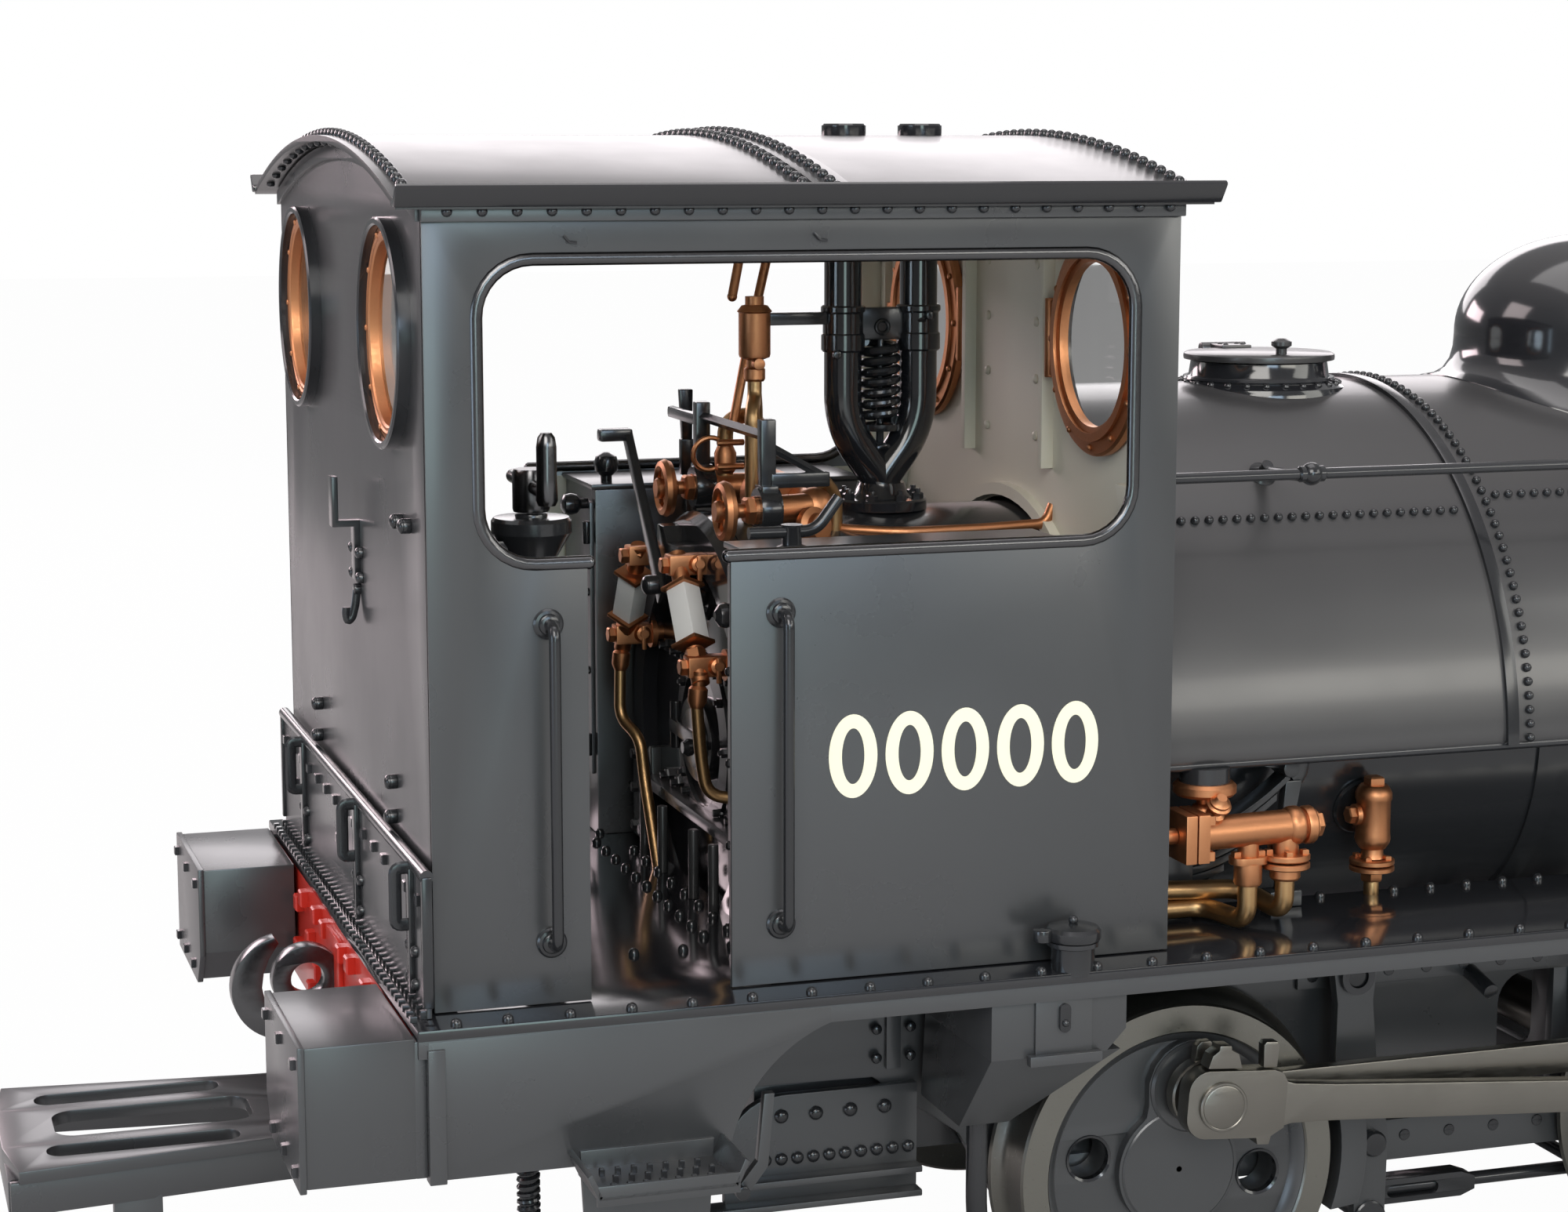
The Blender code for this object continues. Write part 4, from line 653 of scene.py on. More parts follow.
def cab_front():
    """Cream front sheet around the boiler, with angle strips, and its two window openings."""
    half_hole = 57.2
    outline = [(y, z) for y, z in end_sheet(DECK + 0.4) if z > DECK + 1]
    arch = arc((0, BOILER_Z), half_hole, 180, 0, 32)
    sheet_outline = [(-93.7, DECK + 0.4), (-half_hole, DECK + 0.4), *arch, (half_hole, DECK + 0.4),
                     (93.7, DECK + 0.4), *outline]
    holes = [circle((s * FRONT_WINDOW[0], FRONT_WINDOW[1]), 22, 48) for s in (-1, 1)]
    sheet = fixed("cab_front_sheet", BLACK)
    sheet.plate("YZ", sheet_outline, CAB_FRONT - 1.2, CAB_FRONT, holes, 0.15)
    lining = Piece("cab_front_lining", CREAM)
    lining.plate("YZ", [(y * 0.985, z - 0.4 if z > 200 else z) for y, z in sheet_outline], CAB_FRONT - 1.5,
                 CAB_FRONT - 1.21, holes, 0)
    for s in (-1, 1):
        lining.box((CAB_FRONT - 3.6, s * 92.3, DECK + 3), (CAB_FRONT - 1.4, s * 88.6, 266), 0.3)
        lining.box((CAB_FRONT - 4.6, s * 27.0, 205), (CAB_FRONT - 1.4, s * 24.5, 279.5), 0.3)
        lining.plate("YZ", [(s * 70, 206), (s * 88, 206), (s * 88, 190), (s * 76, 190)][::s], CAB_FRONT - 4.2,
                     CAB_FRONT - 1.4, edge=0.4)
        lining.rivets([(CAB_FRONT - 1.5, s * 16, z) for z in (212, 226, 240, 254, 268)], BACK, 1.2, 0.7)
    hoop(lining, [(57.6, 0), (60.6, 0), (60.6, 2.6), (57.6, 2.6)], (CAB_FRONT - 1.4, 0, BOILER_Z), BACK, 64)
    inside = Piece("cab_side_lining", CREAM)
    for side in (-1, 1):
        y0, y1 = side * (CAB_SIDE - 1.35), side * (CAB_SIDE - 1.65)
        for x0, x1, z0, z1 in ((CAB_REAR + 1.6, CAB_FRONT - 1.6, 261.3, 269.5),
                               (DOOR_FRONT + 1, CAB_FRONT - 1.6, DECK + 1, 194),
                               (CAB_REAR + 1.6, DOOR_REAR - 1, DECK + 1, 194),
                               (CAB_FRONT - 9.3, CAB_FRONT - 1.6, 197, 259)):
            inside.plate("XZ", [(x0, z0), (x1, z0), (x1, z1), (x0, z1)], y0, y1, edge=0)


def front_window(side, word):
    """A hinged round window in a bronze frame."""
    x, y, z = CAB_FRONT - 1.9, side * FRONT_WINDOW[0], FRONT_WINDOW[1]
    body = "front_window_" + word
    ring = moving(body, COPPER)
    profile = [(19.2, 0.2), (19.2, 2.6), (21.2, 3.0), (25.4, 2.6), (26.0, 2.0), (26.0, 0.4), (25.4, 0)]
    hoop(ring, profile, (x, y, z), BACK, 64)
    hoop(ring, [(20.6, 2.9), (20.6, 3.7), (22.6, 3.7), (22.6, 2.9)], (x, y, z), BACK, 64)
    ring.rivets(around("YZ", (x - 2.9, y, z), 24, 12), BACK, 0.8, 0.7)
    hinge = side * 29.6
    for dz in (-7, 7):
        ring.box((x - 2.4, hinge, z + dz - 2), (x - 0.6, side * 33.5, z + dz + 2), 0.3)
    ring.rod((x - 1.6, hinge, z - 9.5), (x - 1.6, hinge, z + 9.5), 1.5, 16)
    catch = side * 83.2
    ring.box((x - 3.2, catch, z - 3), (x - 0.8, catch - side * 3, z + 3), 0.5)
    ring.ball((x - 3.9, catch - side * 1.2, z), 1.5)
    pane = Piece("front_window_glass_" + word, GLASS, body=body)
    pane.plate("YZ", circle((y, z), 19.6, 48), x - 1.8, x - 1.2, edge=0)


def roof():
    """Curved roof with flared gutters and domed rivets in rows and along the seam."""
    rear, front = CAB_REAR - 6.0, CAB_FRONT + 5.7
    half = 98.6
    outer = [(half - 2 * half * i / 48, roof_z(half - 2 * half * i / 48)) for i in range(49)]
    inner = [(y, z - 1.5) for y, z in reversed(outer)]
    skin = fixed("cab_roof", TANK_BLACK)
    skin.plate("YZ", outer + inner, rear, front, edge=0.2)
    strap = [(y, z + 0.02) for y, z in outer] + [(y, z + 0.55) for y, z in reversed(outer)]
    skin.plate("YZ", strap, -175.2, -167.0, edge=0.15)
    gutters = Piece("cab_roof_gutters", GLOSS)
    for s in (-1, 1):
        lip = [(s * y, z) for y, z in ((96.6, 270.8), (99.8, 270.5), (103.0, 274.6), (102.3, 275.4), (101.2, 275.2),
                                       (98.8, 272.6), (96.6, 272.2))]
        gutters.plate("YZ", lip[::-s], rear - 0.6, front + 1.2, edge=0.45)
    lining = Piece("cab_roof_lining", CREAM)
    under = [(y * 0.93, z - 1.62) for y, z in outer]
    lining.plate("YZ", under + [(y, z - 0.3) for y, z in reversed(under)], CAB_REAR + 2.2, CAB_FRONT - 1.7, edge=0)
    heads = Piece("cab_roof_rivets", IRON)
    steps = [half * 0.985 * (i / 20) for i in range(-20, 21)]
    for x in (rear + 3.4, -177.4, -171.2, front - 3.4):
        lift = 0.5 if x == -171.2 else 0.0
        for y in steps:
            normal = Vector((0, y / ROOF_R, 1)).normalized()
            heads.rivets([(x, y, roof_z(y) + lift)], normal, 1.25, 1.3, 14)
    for y in steps[2:-2:2]:
        heads.rivets([(rear + 2.5, y, roof_z(y) - 1.5)], (0, 0, -1), 1.1, 0.9)
    for x in [rear + 7 + 7.3 * i for i in range(24)]:
        for s in (-1, 1):
            y = s * 95.4
            heads.rivets([(x, y, roof_z(y))], (0, y / ROOF_R, 1), 1.1, 1.3)


# ---------------------------------------------------------------- cab fittings

def safety_valves():
    """Two relief columns with the spring between them, on a studded seat."""
    x0, x1, mid = -138.1, -118.4, -128.4
    body = fixed("safety_valves", GLOSS)
    for x, way in ((x0, 1), (x1, -1)):
        path = bend([(x, 0, 287.6), (x, 0, 214), (x + way * 10.2, 0, 200.5), (x + way * 10.2, 0, 195)], 9.0, 10)
        radii = [4.65] * len(path)
        for i in range(1, 4):
            radii[-i] = 4.0
        body.tube(path, radii, 24)
        body.turn([(5.2, 0), (5.4, 0.4), (5.4, 3.6), (5.1, 4.0)], (x, 0, 284), steps=32)
        body.turn([(5.0, 0), (5.4, 0.5), (5.4, 4.2), (5.0, 4.6), (5.0, 9.4), (5.5, 9.9), (5.5, 11.0), (5.0, 11.4)],
                  (x, 0, 232.6), steps=32)
    fittings = Piece("safety_valve_gear", IRON)
    fittings.tube(coil((mid, 0), 4.0, 215.5, 235.0, 7.5, 18), 1.15, 10)
    fittings.rod((mid, 0, 205), (mid, 0, 239), 1.0, 12)
    fittings.box((mid - 5.6, -1.4, 235.4), (mid + 5.6, 1.4, 243.4), 0.5)
    fittings.ring((mid, -1.7, 238.6), (0, 1, 0), 1.6, 0.5, 20, 8)
    fittings.turn([(5.0, 0), (5.2, 0.6), (5.2, 1.6), (3.2, 2.0)], (mid, 0, 213.0), steps=28)
    fittings.tube(bend([(mid - 3, -2, 205), (mid - 2, -2.4, 208.8), (mid + 1.5, -2.4, 209.5), (mid + 2.2, -1, 206)],
                       1.2, 3), 0.8, 10)
    fittings.tube(bend([(mid + 5.4, 0, 240), (mid + 7.5, -3.4, 240), (x1, -5.2, 240.5)], 1.5, 3), 0.7, 8)
    base = (-128.0, 0, 193.6)
    body.turn([(11.4, 0), (11.4, 2.2), (10.9, 2.7), (7.6, 2.9), (6.6, 4.0), (5.8, 6.5)], base, steps=40)
    fittings.bolts(around("XY", (base[0], 0, 196.2), 9.3, 8, 0.2), UP, 2.6, 1.6, 6, 1.0)
    fittings.box((-158.6, -1.5, 239.4), (x0 - 4, 1.5, 242.4), 0.3)
    fittings.rod((x0 - 3.4, -4.8, 232.2), (x0 - 3.4, -6.0, 232.2), 1.1, 12)
    fittings.rod((x1 + 1.0, -5.2, 241.5), (x1 + 1.0, -6.2, 241.5), 1.2, 12)


def handwheel(side, word):
    """A five-spoked valve wheel on its spindle."""
    body = "valve_wheel_" + word
    wheel = moving(body, COPPER)
    x, y, z = -176.4, side * 26.0, 197.4
    hoop(wheel, [(6.8, -1.2), (7.3, 0), (6.8, 1.2), (5.6, 1.6), (4.9, 0.7), (4.9, -0.7), (5.6, -1.6)], (x, y, z),
         AHEAD, 40)
    wheel.turn([(2.2, -2.6), (2.6, -2.0), (2.6, 2.2), (2.1, 3.0)], (x, y, z), AHEAD, 20)
    for i in range(5):
        a = TAU * i / 5 + 0.3
        out = Vector((0, math.cos(a), math.sin(a)))
        centre = Vector((x, y, z))
        wheel.tube([centre + out * 2, centre + out * 3.6 + Vector((-0.3, 0, 0)), centre + out * 5.4], 0.85, 8, wide=0.8)


def turret():
    """The steam turret over the backhead, its valve arms, whistle and pipes."""
    body = fixed("steam_turret", COPPER)
    centre = Vector((-156, 0, 197.4))
    for side in (-1, 1):
        y = side * 26.0
        body.tube(bend([(-152, 0, 197), (-152, y * 0.9, 197.4), (-165, y, 197.4)], 8, 6), 3.4, 20)
        body.ball((-153, y * 0.86, 197.2), 4.8)
        body.turn([(4.6, 0), (4.6, 3.0), (3.4, 3.6), (3.4, 6.0)], (-163.5, y, 197.4), BACK, 24)
        body.bolts([(-168.4, y, 197.4)], BACK, 6.0, 3.4, 6)
        body.rod((-171.4, y, 197.4), (-174.4, y, 197.4), 1.7, 14)
        body.turn([(4.0, 0), (4.6, 0.8), (4.6, 2.4), (3.2, 3.2), (3.2, 5)], (-156.5, y + side * 2, 193.4),
                  (0.5, side, 0.1), 24)
        body.rod((-152, y * 0.86, 193), (-152, y * 0.86, 186.5), 3.1, 16)
    body.turn([(5.6, -8), (6.6, -7), (6.6, 7), (5.6, 8)], centre, (0, 1, 0), 28)
    body.turn([(4.4, 0), (4.4, 9)], (-152, 0, 186), steps=24)
    whistle = (-161.5, -2, 0)
    body.turn([(2.2, 226.0), (2.6, 226.6), (2.6, 229.0), (1.9, 229.6), (1.9, 231.2), (3.7, 231.9), (3.9, 232.6),
               (3.9, 242.6), (4.3, 243.0), (3.2, 244.4), (2.3, 244.6), (2.3, 246.6)], whistle, steps=28)
    body.rod((-161.5, -4.0, 230.4), (-161.5, -6.2, 230.4), 1.5, 14)
    pipes = Piece("steam_turret_pipes", BRASS)
    pipes.tube(bend([(-161.5, -2, 227), (-161.5, -2, 222), (-163.6, -6.5, 219), (-163.6, -6.5, 186)], 5, 8), 1.75, 14)
    pipes.tube(bend([(-161.5, -2, 223), (-159.5, 3.5, 219), (-159.5, 3.5, 201)], 5, 8), 1.75, 14)
    pipes.tube(bend([(-163.6, -6.5, 197), (-166, -10, 187), (-168.5, -14, 176)], 5, 6), 1.75, 14)
    pipes.tube(bend([(-163, 18, 201), (-163, 18, 215), (-157, 12, 217), (-155, 8, 206)], 6, 8), 2.0, 14)
    pipes.tube(bend([(-150, -20, 203), (-146, -17, 199), (-146, -17, 186)], 4, 6), 2.0, 14)
    cocks = Piece("whistle_cocks", COPPER)
    cocks.turn([(1.6, 0), (2.6, 1.4), (2.8, 5.6), (2.0, 7.4), (1.6, 10)], (-163, 18, 201), steps=20)
    cocks.ring((-167, 18.5, 206.5), (0, 1, 0.2), 4.2, 0.65, 28, 8)
    for z in (203.5, 209.5):
        cocks.rod((-159, 15, z), (-166, 15, z), 0.8, 10)
    copper_run = [(-153, -3, 193.5), (-146, -17, 191), (-132, -24, 190.4), (-112, -25, 190.6), (-94.5, -26, 191.4),
                  (-92.6, -26, 196)]
    cocks.tube(bend(copper_run, 5, 6), 1.35, 12)
    rod_y = 26
    cocks.tube(bend([(-163, 12, 213), (-158, 13.5, 236), (-151, 16, 262), (-149, 17, 281)], 12, 8), 1.2, 12)
    cocks.tube([(-163.5, rod_y - 16, 246), (-159.5, rod_y - 14, 263), (-157, rod_y - 13, 281)], 1.2, 12)
    cocks.ring((-160.2, rod_y - 14.4, 259.5), (0.25, 0.1, 1), 1.4, 0.8, 16, 8)
    cocks.ball((-163.5, rod_y - 16, 246), 1.25)


def whistle_gear():
    """Black levers and posts clamped to the turret arms."""
    gear = Piece("turret_levers", IRON)
    for side in (-1, 1):
        y = side * 26.0
        x = -166.8 if side > 0 else -166.0
        gear.box((x - 1.9, y - 1.7, 198), (x + 1.9, y + 1.7, 219.0), 0.5)
        gear.turn([(5.2, -2.6), (5.4, -2.2), (5.4, 2.2), (5.2, 2.6)], (x, y, 197.4), AHEAD, 28)
        gear.box((x - 2.1, y - 3.2, 200.2), (x + 2.1, y + 3.2, 203.4), 0.6)
    gear.tube([(-166.8, 26, 215.2), (-166, -26, 214.8)], 1.3, 4)
    gear.box((-168.4, 25, 212.8), (-166.0, 53, 215.8), 0.9)
    gear.tube([(-165.4, -26, 212.5), (-152.5, -27, 205.2)], 1.2, 6)
    gear.box((-165.5, -28.2, 202.6), (-150.8, -25.4, 206.2), 0.6)


def water_gauge(side, word):
    """A gauge glass in a white guard between two cocks, with its drain pipe."""
    body = fixed("water_gauge_" + word, WHITE)
    x, y = -184.0, side * 27.0
    low = Vector((x, -24.8, 166.4)) if side < 0 else Vector((x, 34.9, 164.2))
    high = Vector((x, -16.4, 178.0)) if side < 0 else Vector((x, 28.3, 175.2))
    lean = (high - low).normalized()
    length = (high - low).length
    tilt = Vector(UP).rotation_difference(lean).to_matrix() @ Matrix.Rotation(math.radians(35), 3, "Z")
    body.box(low - Vector((2.9, 2.9, 0)), low + Vector((2.9, 2.9, length)), 0.35, tilt, low)
    fittings = Piece("water_gauge_cocks_" + word, COPPER)
    for t in (-1.0, length):
        at = low + lean * t
        fittings.box(at - Vector((3.8, 3.8, 0)), at + Vector((3.8, 3.8, 1.0)), 0.25, tilt, at)
    for t, way in ((-6.5, -1), (length + 6.5, 1)):
        at = low + lean * t
        fittings.turn([(2.2, -4.6), (2.2, 2.9 if way > 0 else 4.6)], at, lean, 20)
        fittings.bolts([at - lean * (0.6 if way > 0 else -1.6)], lean, 4.6, 2.8, 6)
        fittings.box(at - Vector((2.9, 2.7, 2.4)), at + Vector((7.0, 2.7, 2.6)), 0.6)
        fittings.bolts([at - Vector((2.8, 0, 0))], BACK, 3.6, 1.8, 6)
        fittings.turn([(2.3, 0), (1.8, 0.8), (1.8, 1.5), (1.1, 1.8), (1.1, 2.6)], at + Vector((4, -2.6, 0.3)),
                      (0, -1, 0.1), 20)
        fittings.box(at + Vector((3.4, -4.8, -3.6)), at + Vector((4.6, -3.8, 2.6)), 0.3)
        fittings.turn([(3.8, 0), (3.8, 1.3), (1.9, 1.5), (1.9, 8.0)], at + Vector((6.6, 0, 0)), AHEAD, 24)
    drop = low - lean * 10
    fittings.turn([(1.9, 0), (1.6, 3.4), (2.3, 4.2), (2.3, 7.2), (1.5, 8.8)], drop + Vector((0, 0, 2)),
                  (-0.1, 0, -1), 20)
    pipe = Piece("water_gauge_drain_" + word, BRASS)
    start = drop + Vector((-0.8, 0, -6.0))
    if side < 0:
        steps_down = ((0, 0, 0), (1.0, 0.6, -12), (2.5, 0.4, -22), (13, -2, -23.5), (22, -4, -24))
        path = [start + Vector(step) for step in steps_down]
    else:
        steps_down = ((0, 0, 0), (-0.5, -1, -13), (3.0, -8, -17), (3.5, -10, -27))
        path = [start + Vector(step) for step in steps_down] + [(-181.0, y - 9.0, DECK)]
    pipe.tube(bend(path, 4.0, 8), 1.5, 14)


def regulator_lever():
    """The lever with its bent handle, on the backhead's centre."""
    lever = moving("regulator_lever", IRON)
    pivot = Vector((-185, 0, 176.8))
    top = Vector((-185, 30, 210.4))
    along = (top - pivot).normalized()
    across = Vector((0, along.z, -along.y))
    corners = []
    for t, half in ((-4, 2.6), (4, 2.4), (30, 1.5), (45.8, 1.4)):
        centre = pivot + along * t
        corners.append((centre - across * half, centre + across * half))
    outline = [(p.y, p.z) for p, q in corners] + [(q.y, q.z) for p, q in reversed(corners)]
    lever.plate("YZ", outline, -186.1, -183.9, edge=0.4)
    lever.box((-192.6, 28.6, 209.2), (-183.9, 32.2, 212.4), 0.8)
    lever.rod((-188.6, 0, 176.8), (-178.4, 0, 176.8), 2.4, 20)
    lever.ball((-188.4, 0, 176.8), 2.4, 0.6, AHEAD)


def backhead():
    """Boiler end inside the cab: studs, firehole ring, brackets and the regulator's gland."""
    studs = Piece("backhead_studs", IRON)
    studs.bolts([(-172.1, y, z) for y, z in arc((0, BOILER_Z), 50.5, -58, 238, 25)], BACK, 3.0, 1.6, 6, 2.6)
    for y, z in [(s * dy, z) for s in (-1, 1) for dy in (14, 24, 34) for z in (122, 156)]:
        studs.bolts([(-172.1, y, z)], BACK, 3.2, 2.6, 6, 1.4)
    studs.turn([(9.5, 0), (9.5, 2.4), (8.8, 3.0), (6.4, 3.2), (5.6, 6.8), (4.8, 7.2)], (-172.1, 0, 176.8),
               BACK, 32)
    studs.bolts(around("YZ", (-174.9, 0, 176.8), 7.6, 6), BACK, 2.2, 1.4, 6, 0.8)
    studs.plate("YZ", [(-11, 182.5), (11, 182.5), (11, 190.5), (5, 190.5), (2, 187), (-8, 187), (-11, 185)],
                -183.0, -176.0, edge=0.8)
    studs.box((-180.6, -13, 181), (-172, -7, 184.5), 0.4)
    studs.box((-180.6, 7, 181), (-172, 13, 184.5), 0.4)
    plate = Piece("backhead_plate", GLOSS)
    hoop(plate, [(44, 0), (56.2, 0), (56.2, 3), (54, 5.5), (44, 5.8)], (-172.0, 0, BOILER_Z), BACK, 64)
    plate.turn([(52, 0), (54.8, -1.5), (55.6, -4), (55.6, -8)], (-174.0, 0, BOILER_Z), BACK, 64)
    rails = Piece("firebox_sides", BLACK)
    for s in (-1, 1):
        rails.box((-176.4, s * 42 - 1.5, 66), (-172.4, s * 42 + 1.5, 128), 0.4)
        rails.box((-176.4, s * 50 - 3, 104), (-173, s * 50 + 3, 112), 0.4)
    rails.box((-178.5, -46, 118), (-173, 46, 121), 0.4)
    for y in (-31, -14, 14, 31):
        rails.rod((-181, y, DECK), (-181, y, 118.4), 1.3, 12)
    for s in (-1, 1):
        gusset = [(s * 38, 103), (s * 52, 103), (s * 52, 128), (s * 47, 128), (s * 38, 112)]
        rails.plate("YZ", gusset[::s], -178.4, -176.6, edge=0.3)
        rails.bolts([(-178.4, s * y, z) for y, z in ((42, 106), (49, 106), (49, 116), (49, 125))], BACK, 2.6, 1.4)
    hinge = Piece("firehole_ring", IRON)
    hoop(hinge, [(17, 0), (22, 0), (22, 2.6), (17, 3)], (-172.1, 0, BOILER_Z), BACK, 48)
    hinge.bolts(around("YZ", (-174.6, 0, BOILER_Z), 19.7, 10), BACK, 2.2, 1.2, 6, 0.6)


def lockers():
    """The two tall cupboards beside the firebox, with knobs and the blower's crank on the right one."""
    body = Piece("cab_lockers", BLACK)
    trim = Piece("cab_locker_trim", IRON)
    for side in (-1, 1):
        y0, y1 = sorted((side * 60.0, side * 91.8))
        body.box((-186, y0, DECK), (-113, y1, 193.6), 0.5)
        body.box((-187, y0 - 0.2, 193.6), (-112, y1 + 0.2, 195.0), 0.4)
        x, mid = -186.0, (y0 + y1) / 2
        body.box((x - 0.9, y0 + 2.5, DECK + 16), (x + 0.3, y1 - 2.5, 190), 0.35)
        for z in (DECK + 24, 182):
            trim.rod((x - 1.6, y0 + 3.2, z - 3), (x - 1.6, y0 + 3.2, z + 3), 1.1, 12)
        if side < 0:
            trim.turn([(1.2, 0), (1.2, 1.6), (2.5, 2.6), (2.9, 4.2), (2.5, 5.6), (1.0, 6.6)], (x - 0.6, mid + 2, 180.4),
                      BACK, 20)
        for z in (126, 145, 166):
            trim.rivets([(x - 0.8, y, z) for y in (y0 + 4.4, y1 - 4.4)], BACK, 1.1)
    trim.turn([(1.5, 0), (1.5, 1.8), (3.0, 3.2), (3.3, 5.2), (2.7, 7.0), (1.0, 8.0)], (-182.0, 63.6, 195.0), steps=24)
    trim.turn([(1.4, 0), (1.4, 2.0), (2.5, 3.0), (2.9, 4.6), (2.5, 6.4), (1.2, 7.2)], (-187, 64, 189.6), BACK, 24)
    trim.tube(bend([(-187.2, -80, 199.2), (-171.8, -80, 199.2), (-166.4, -80, 206.4)], 3, 6), 1.35, 14)
    trim.turn([(3.4, 0), (3.4, 0.8), (2.2, 1.2), (2.1, 4.8), (2.4, 5.6)], (-177.3, -80, 195.2), steps=24)


def brake_column():
    """The handbrake's pillar with its bowl and bracket, and the threaded rod below the deck."""
    x, y = -231.0, -60.0
    column = Piece("handbrake_column", IRON)
    column.turn([(6.5, DECK), (6.5, DECK + 2.4), (4.8, DECK + 4), (4.2, 150), (4.0, 188), (5.0, 192.2), (8.2, 197.8),
                 (8.9, 198.8), (8.9, 201.4), (8.3, 202.2), (6.4, 202.3)], (x, y, 0), steps=40)
    column.rod((x, y, 199), (x, y, 203.0), 3.6, 28)
    column.box((-259.8, y - 3.5, 194.5), (x - 6, y + 3.5, 197.5), 0.4)
    column.box((-259.8, y - 3.5, 184), (-258.2, y + 3.5, 197.5), 0.4)
    column.bolts(around("XY", (x, y, DECK + 2.3), 4.9, 4, 0.8), UP, 2.2, 1.2)
    screw = Piece("handbrake_screw", IRON)
    foot = x - 2.6
    screw.rod((foot, y, 36), (foot, y, 99), 2.1, 20)
    screw.tube(coil((foot, y), 2.2, 38, 90, 30, 12), 0.62, 6)
    screw.turn([(4.0, 88), (4.0, 98), (3.6, 99)], (foot, y, 0), steps=6)
    handle = moving("handbrake_handle", BEADING)
    handle.turn([(3.9, 203.4), (4.1, 204), (4.1, 212.0), (3.7, 212.8)], (x, y, 0), steps=28)
    handle.tube([(x, y - 15, 208.8), (x, y + 17.5, 209.4)], 1.6, 16)
    handle.ball((x, y + 17.5, 209.4), 1.6)
    grip = [(1.9, 206.3), (2.4, 207.4), (2.2, 212), (2.2, 219), (1.9, 221.0), (1.2, 222.0)]
    handle.turn(grip, (x, y - 15, 0), steps=24)


def reversing_lever():
    """The tall reversing handle with its latch trigger."""
    x, y = -155.5, 58.2
    lever = moving("reversing_lever", IRON)
    top = x - 6.3
    lever.plate("XZ", [(x - 2.3, 104), (x + 2.3, 104), (top + 2.0, 198), (top - 0.8, 198)], y - 1.0, y + 1.0, edge=0.35)
    lever.rod((x, y - 1.3, 106), (x, y + 1.3, 106), 4.0, 24)
    lever.box((top - 1.6, y - 1.2, 197), (top + 2.6, y + 1.2, 206.5), 0.5)
    lever.plate("XZ", [(top - 1.1, 206), (top + 1.7, 206), (top + 1.9, 219.6), (top - 1.9, 219.6)], y - 1.0, y + 1.0,
                edge=0.5)


def firehole_door():
    """The oval door with its strap and knob."""
    x = -173.95
    door = moving("firehole_door", IRON)
    door.plate("YZ", oval((0, BOILER_Z), 14, 10.5, 40), x - 2.4, x, edge=0.5)
    door.plate("YZ", oval((0, BOILER_Z), 10.5, 7.4, 32), x - 3.0, x - 2.3, edge=0.3)
    door.box((x - 3.6, -6, BOILER_Z - 1.8), (x - 1.6, 20, BOILER_Z + 1.8), 0.5)
    door.rod((x - 1.6, 20, 132), (x - 1.6, 20, 144), 1.6, 16)
    door.turn([(1.2, 0), (1.1, 2.6), (2.1, 3.6), (2.3, 4.8), (1.4, 6)], (x - 2.6, -10, BOILER_Z), BACK, 20)


# ---------------------------------------------------------------- footplate and frames

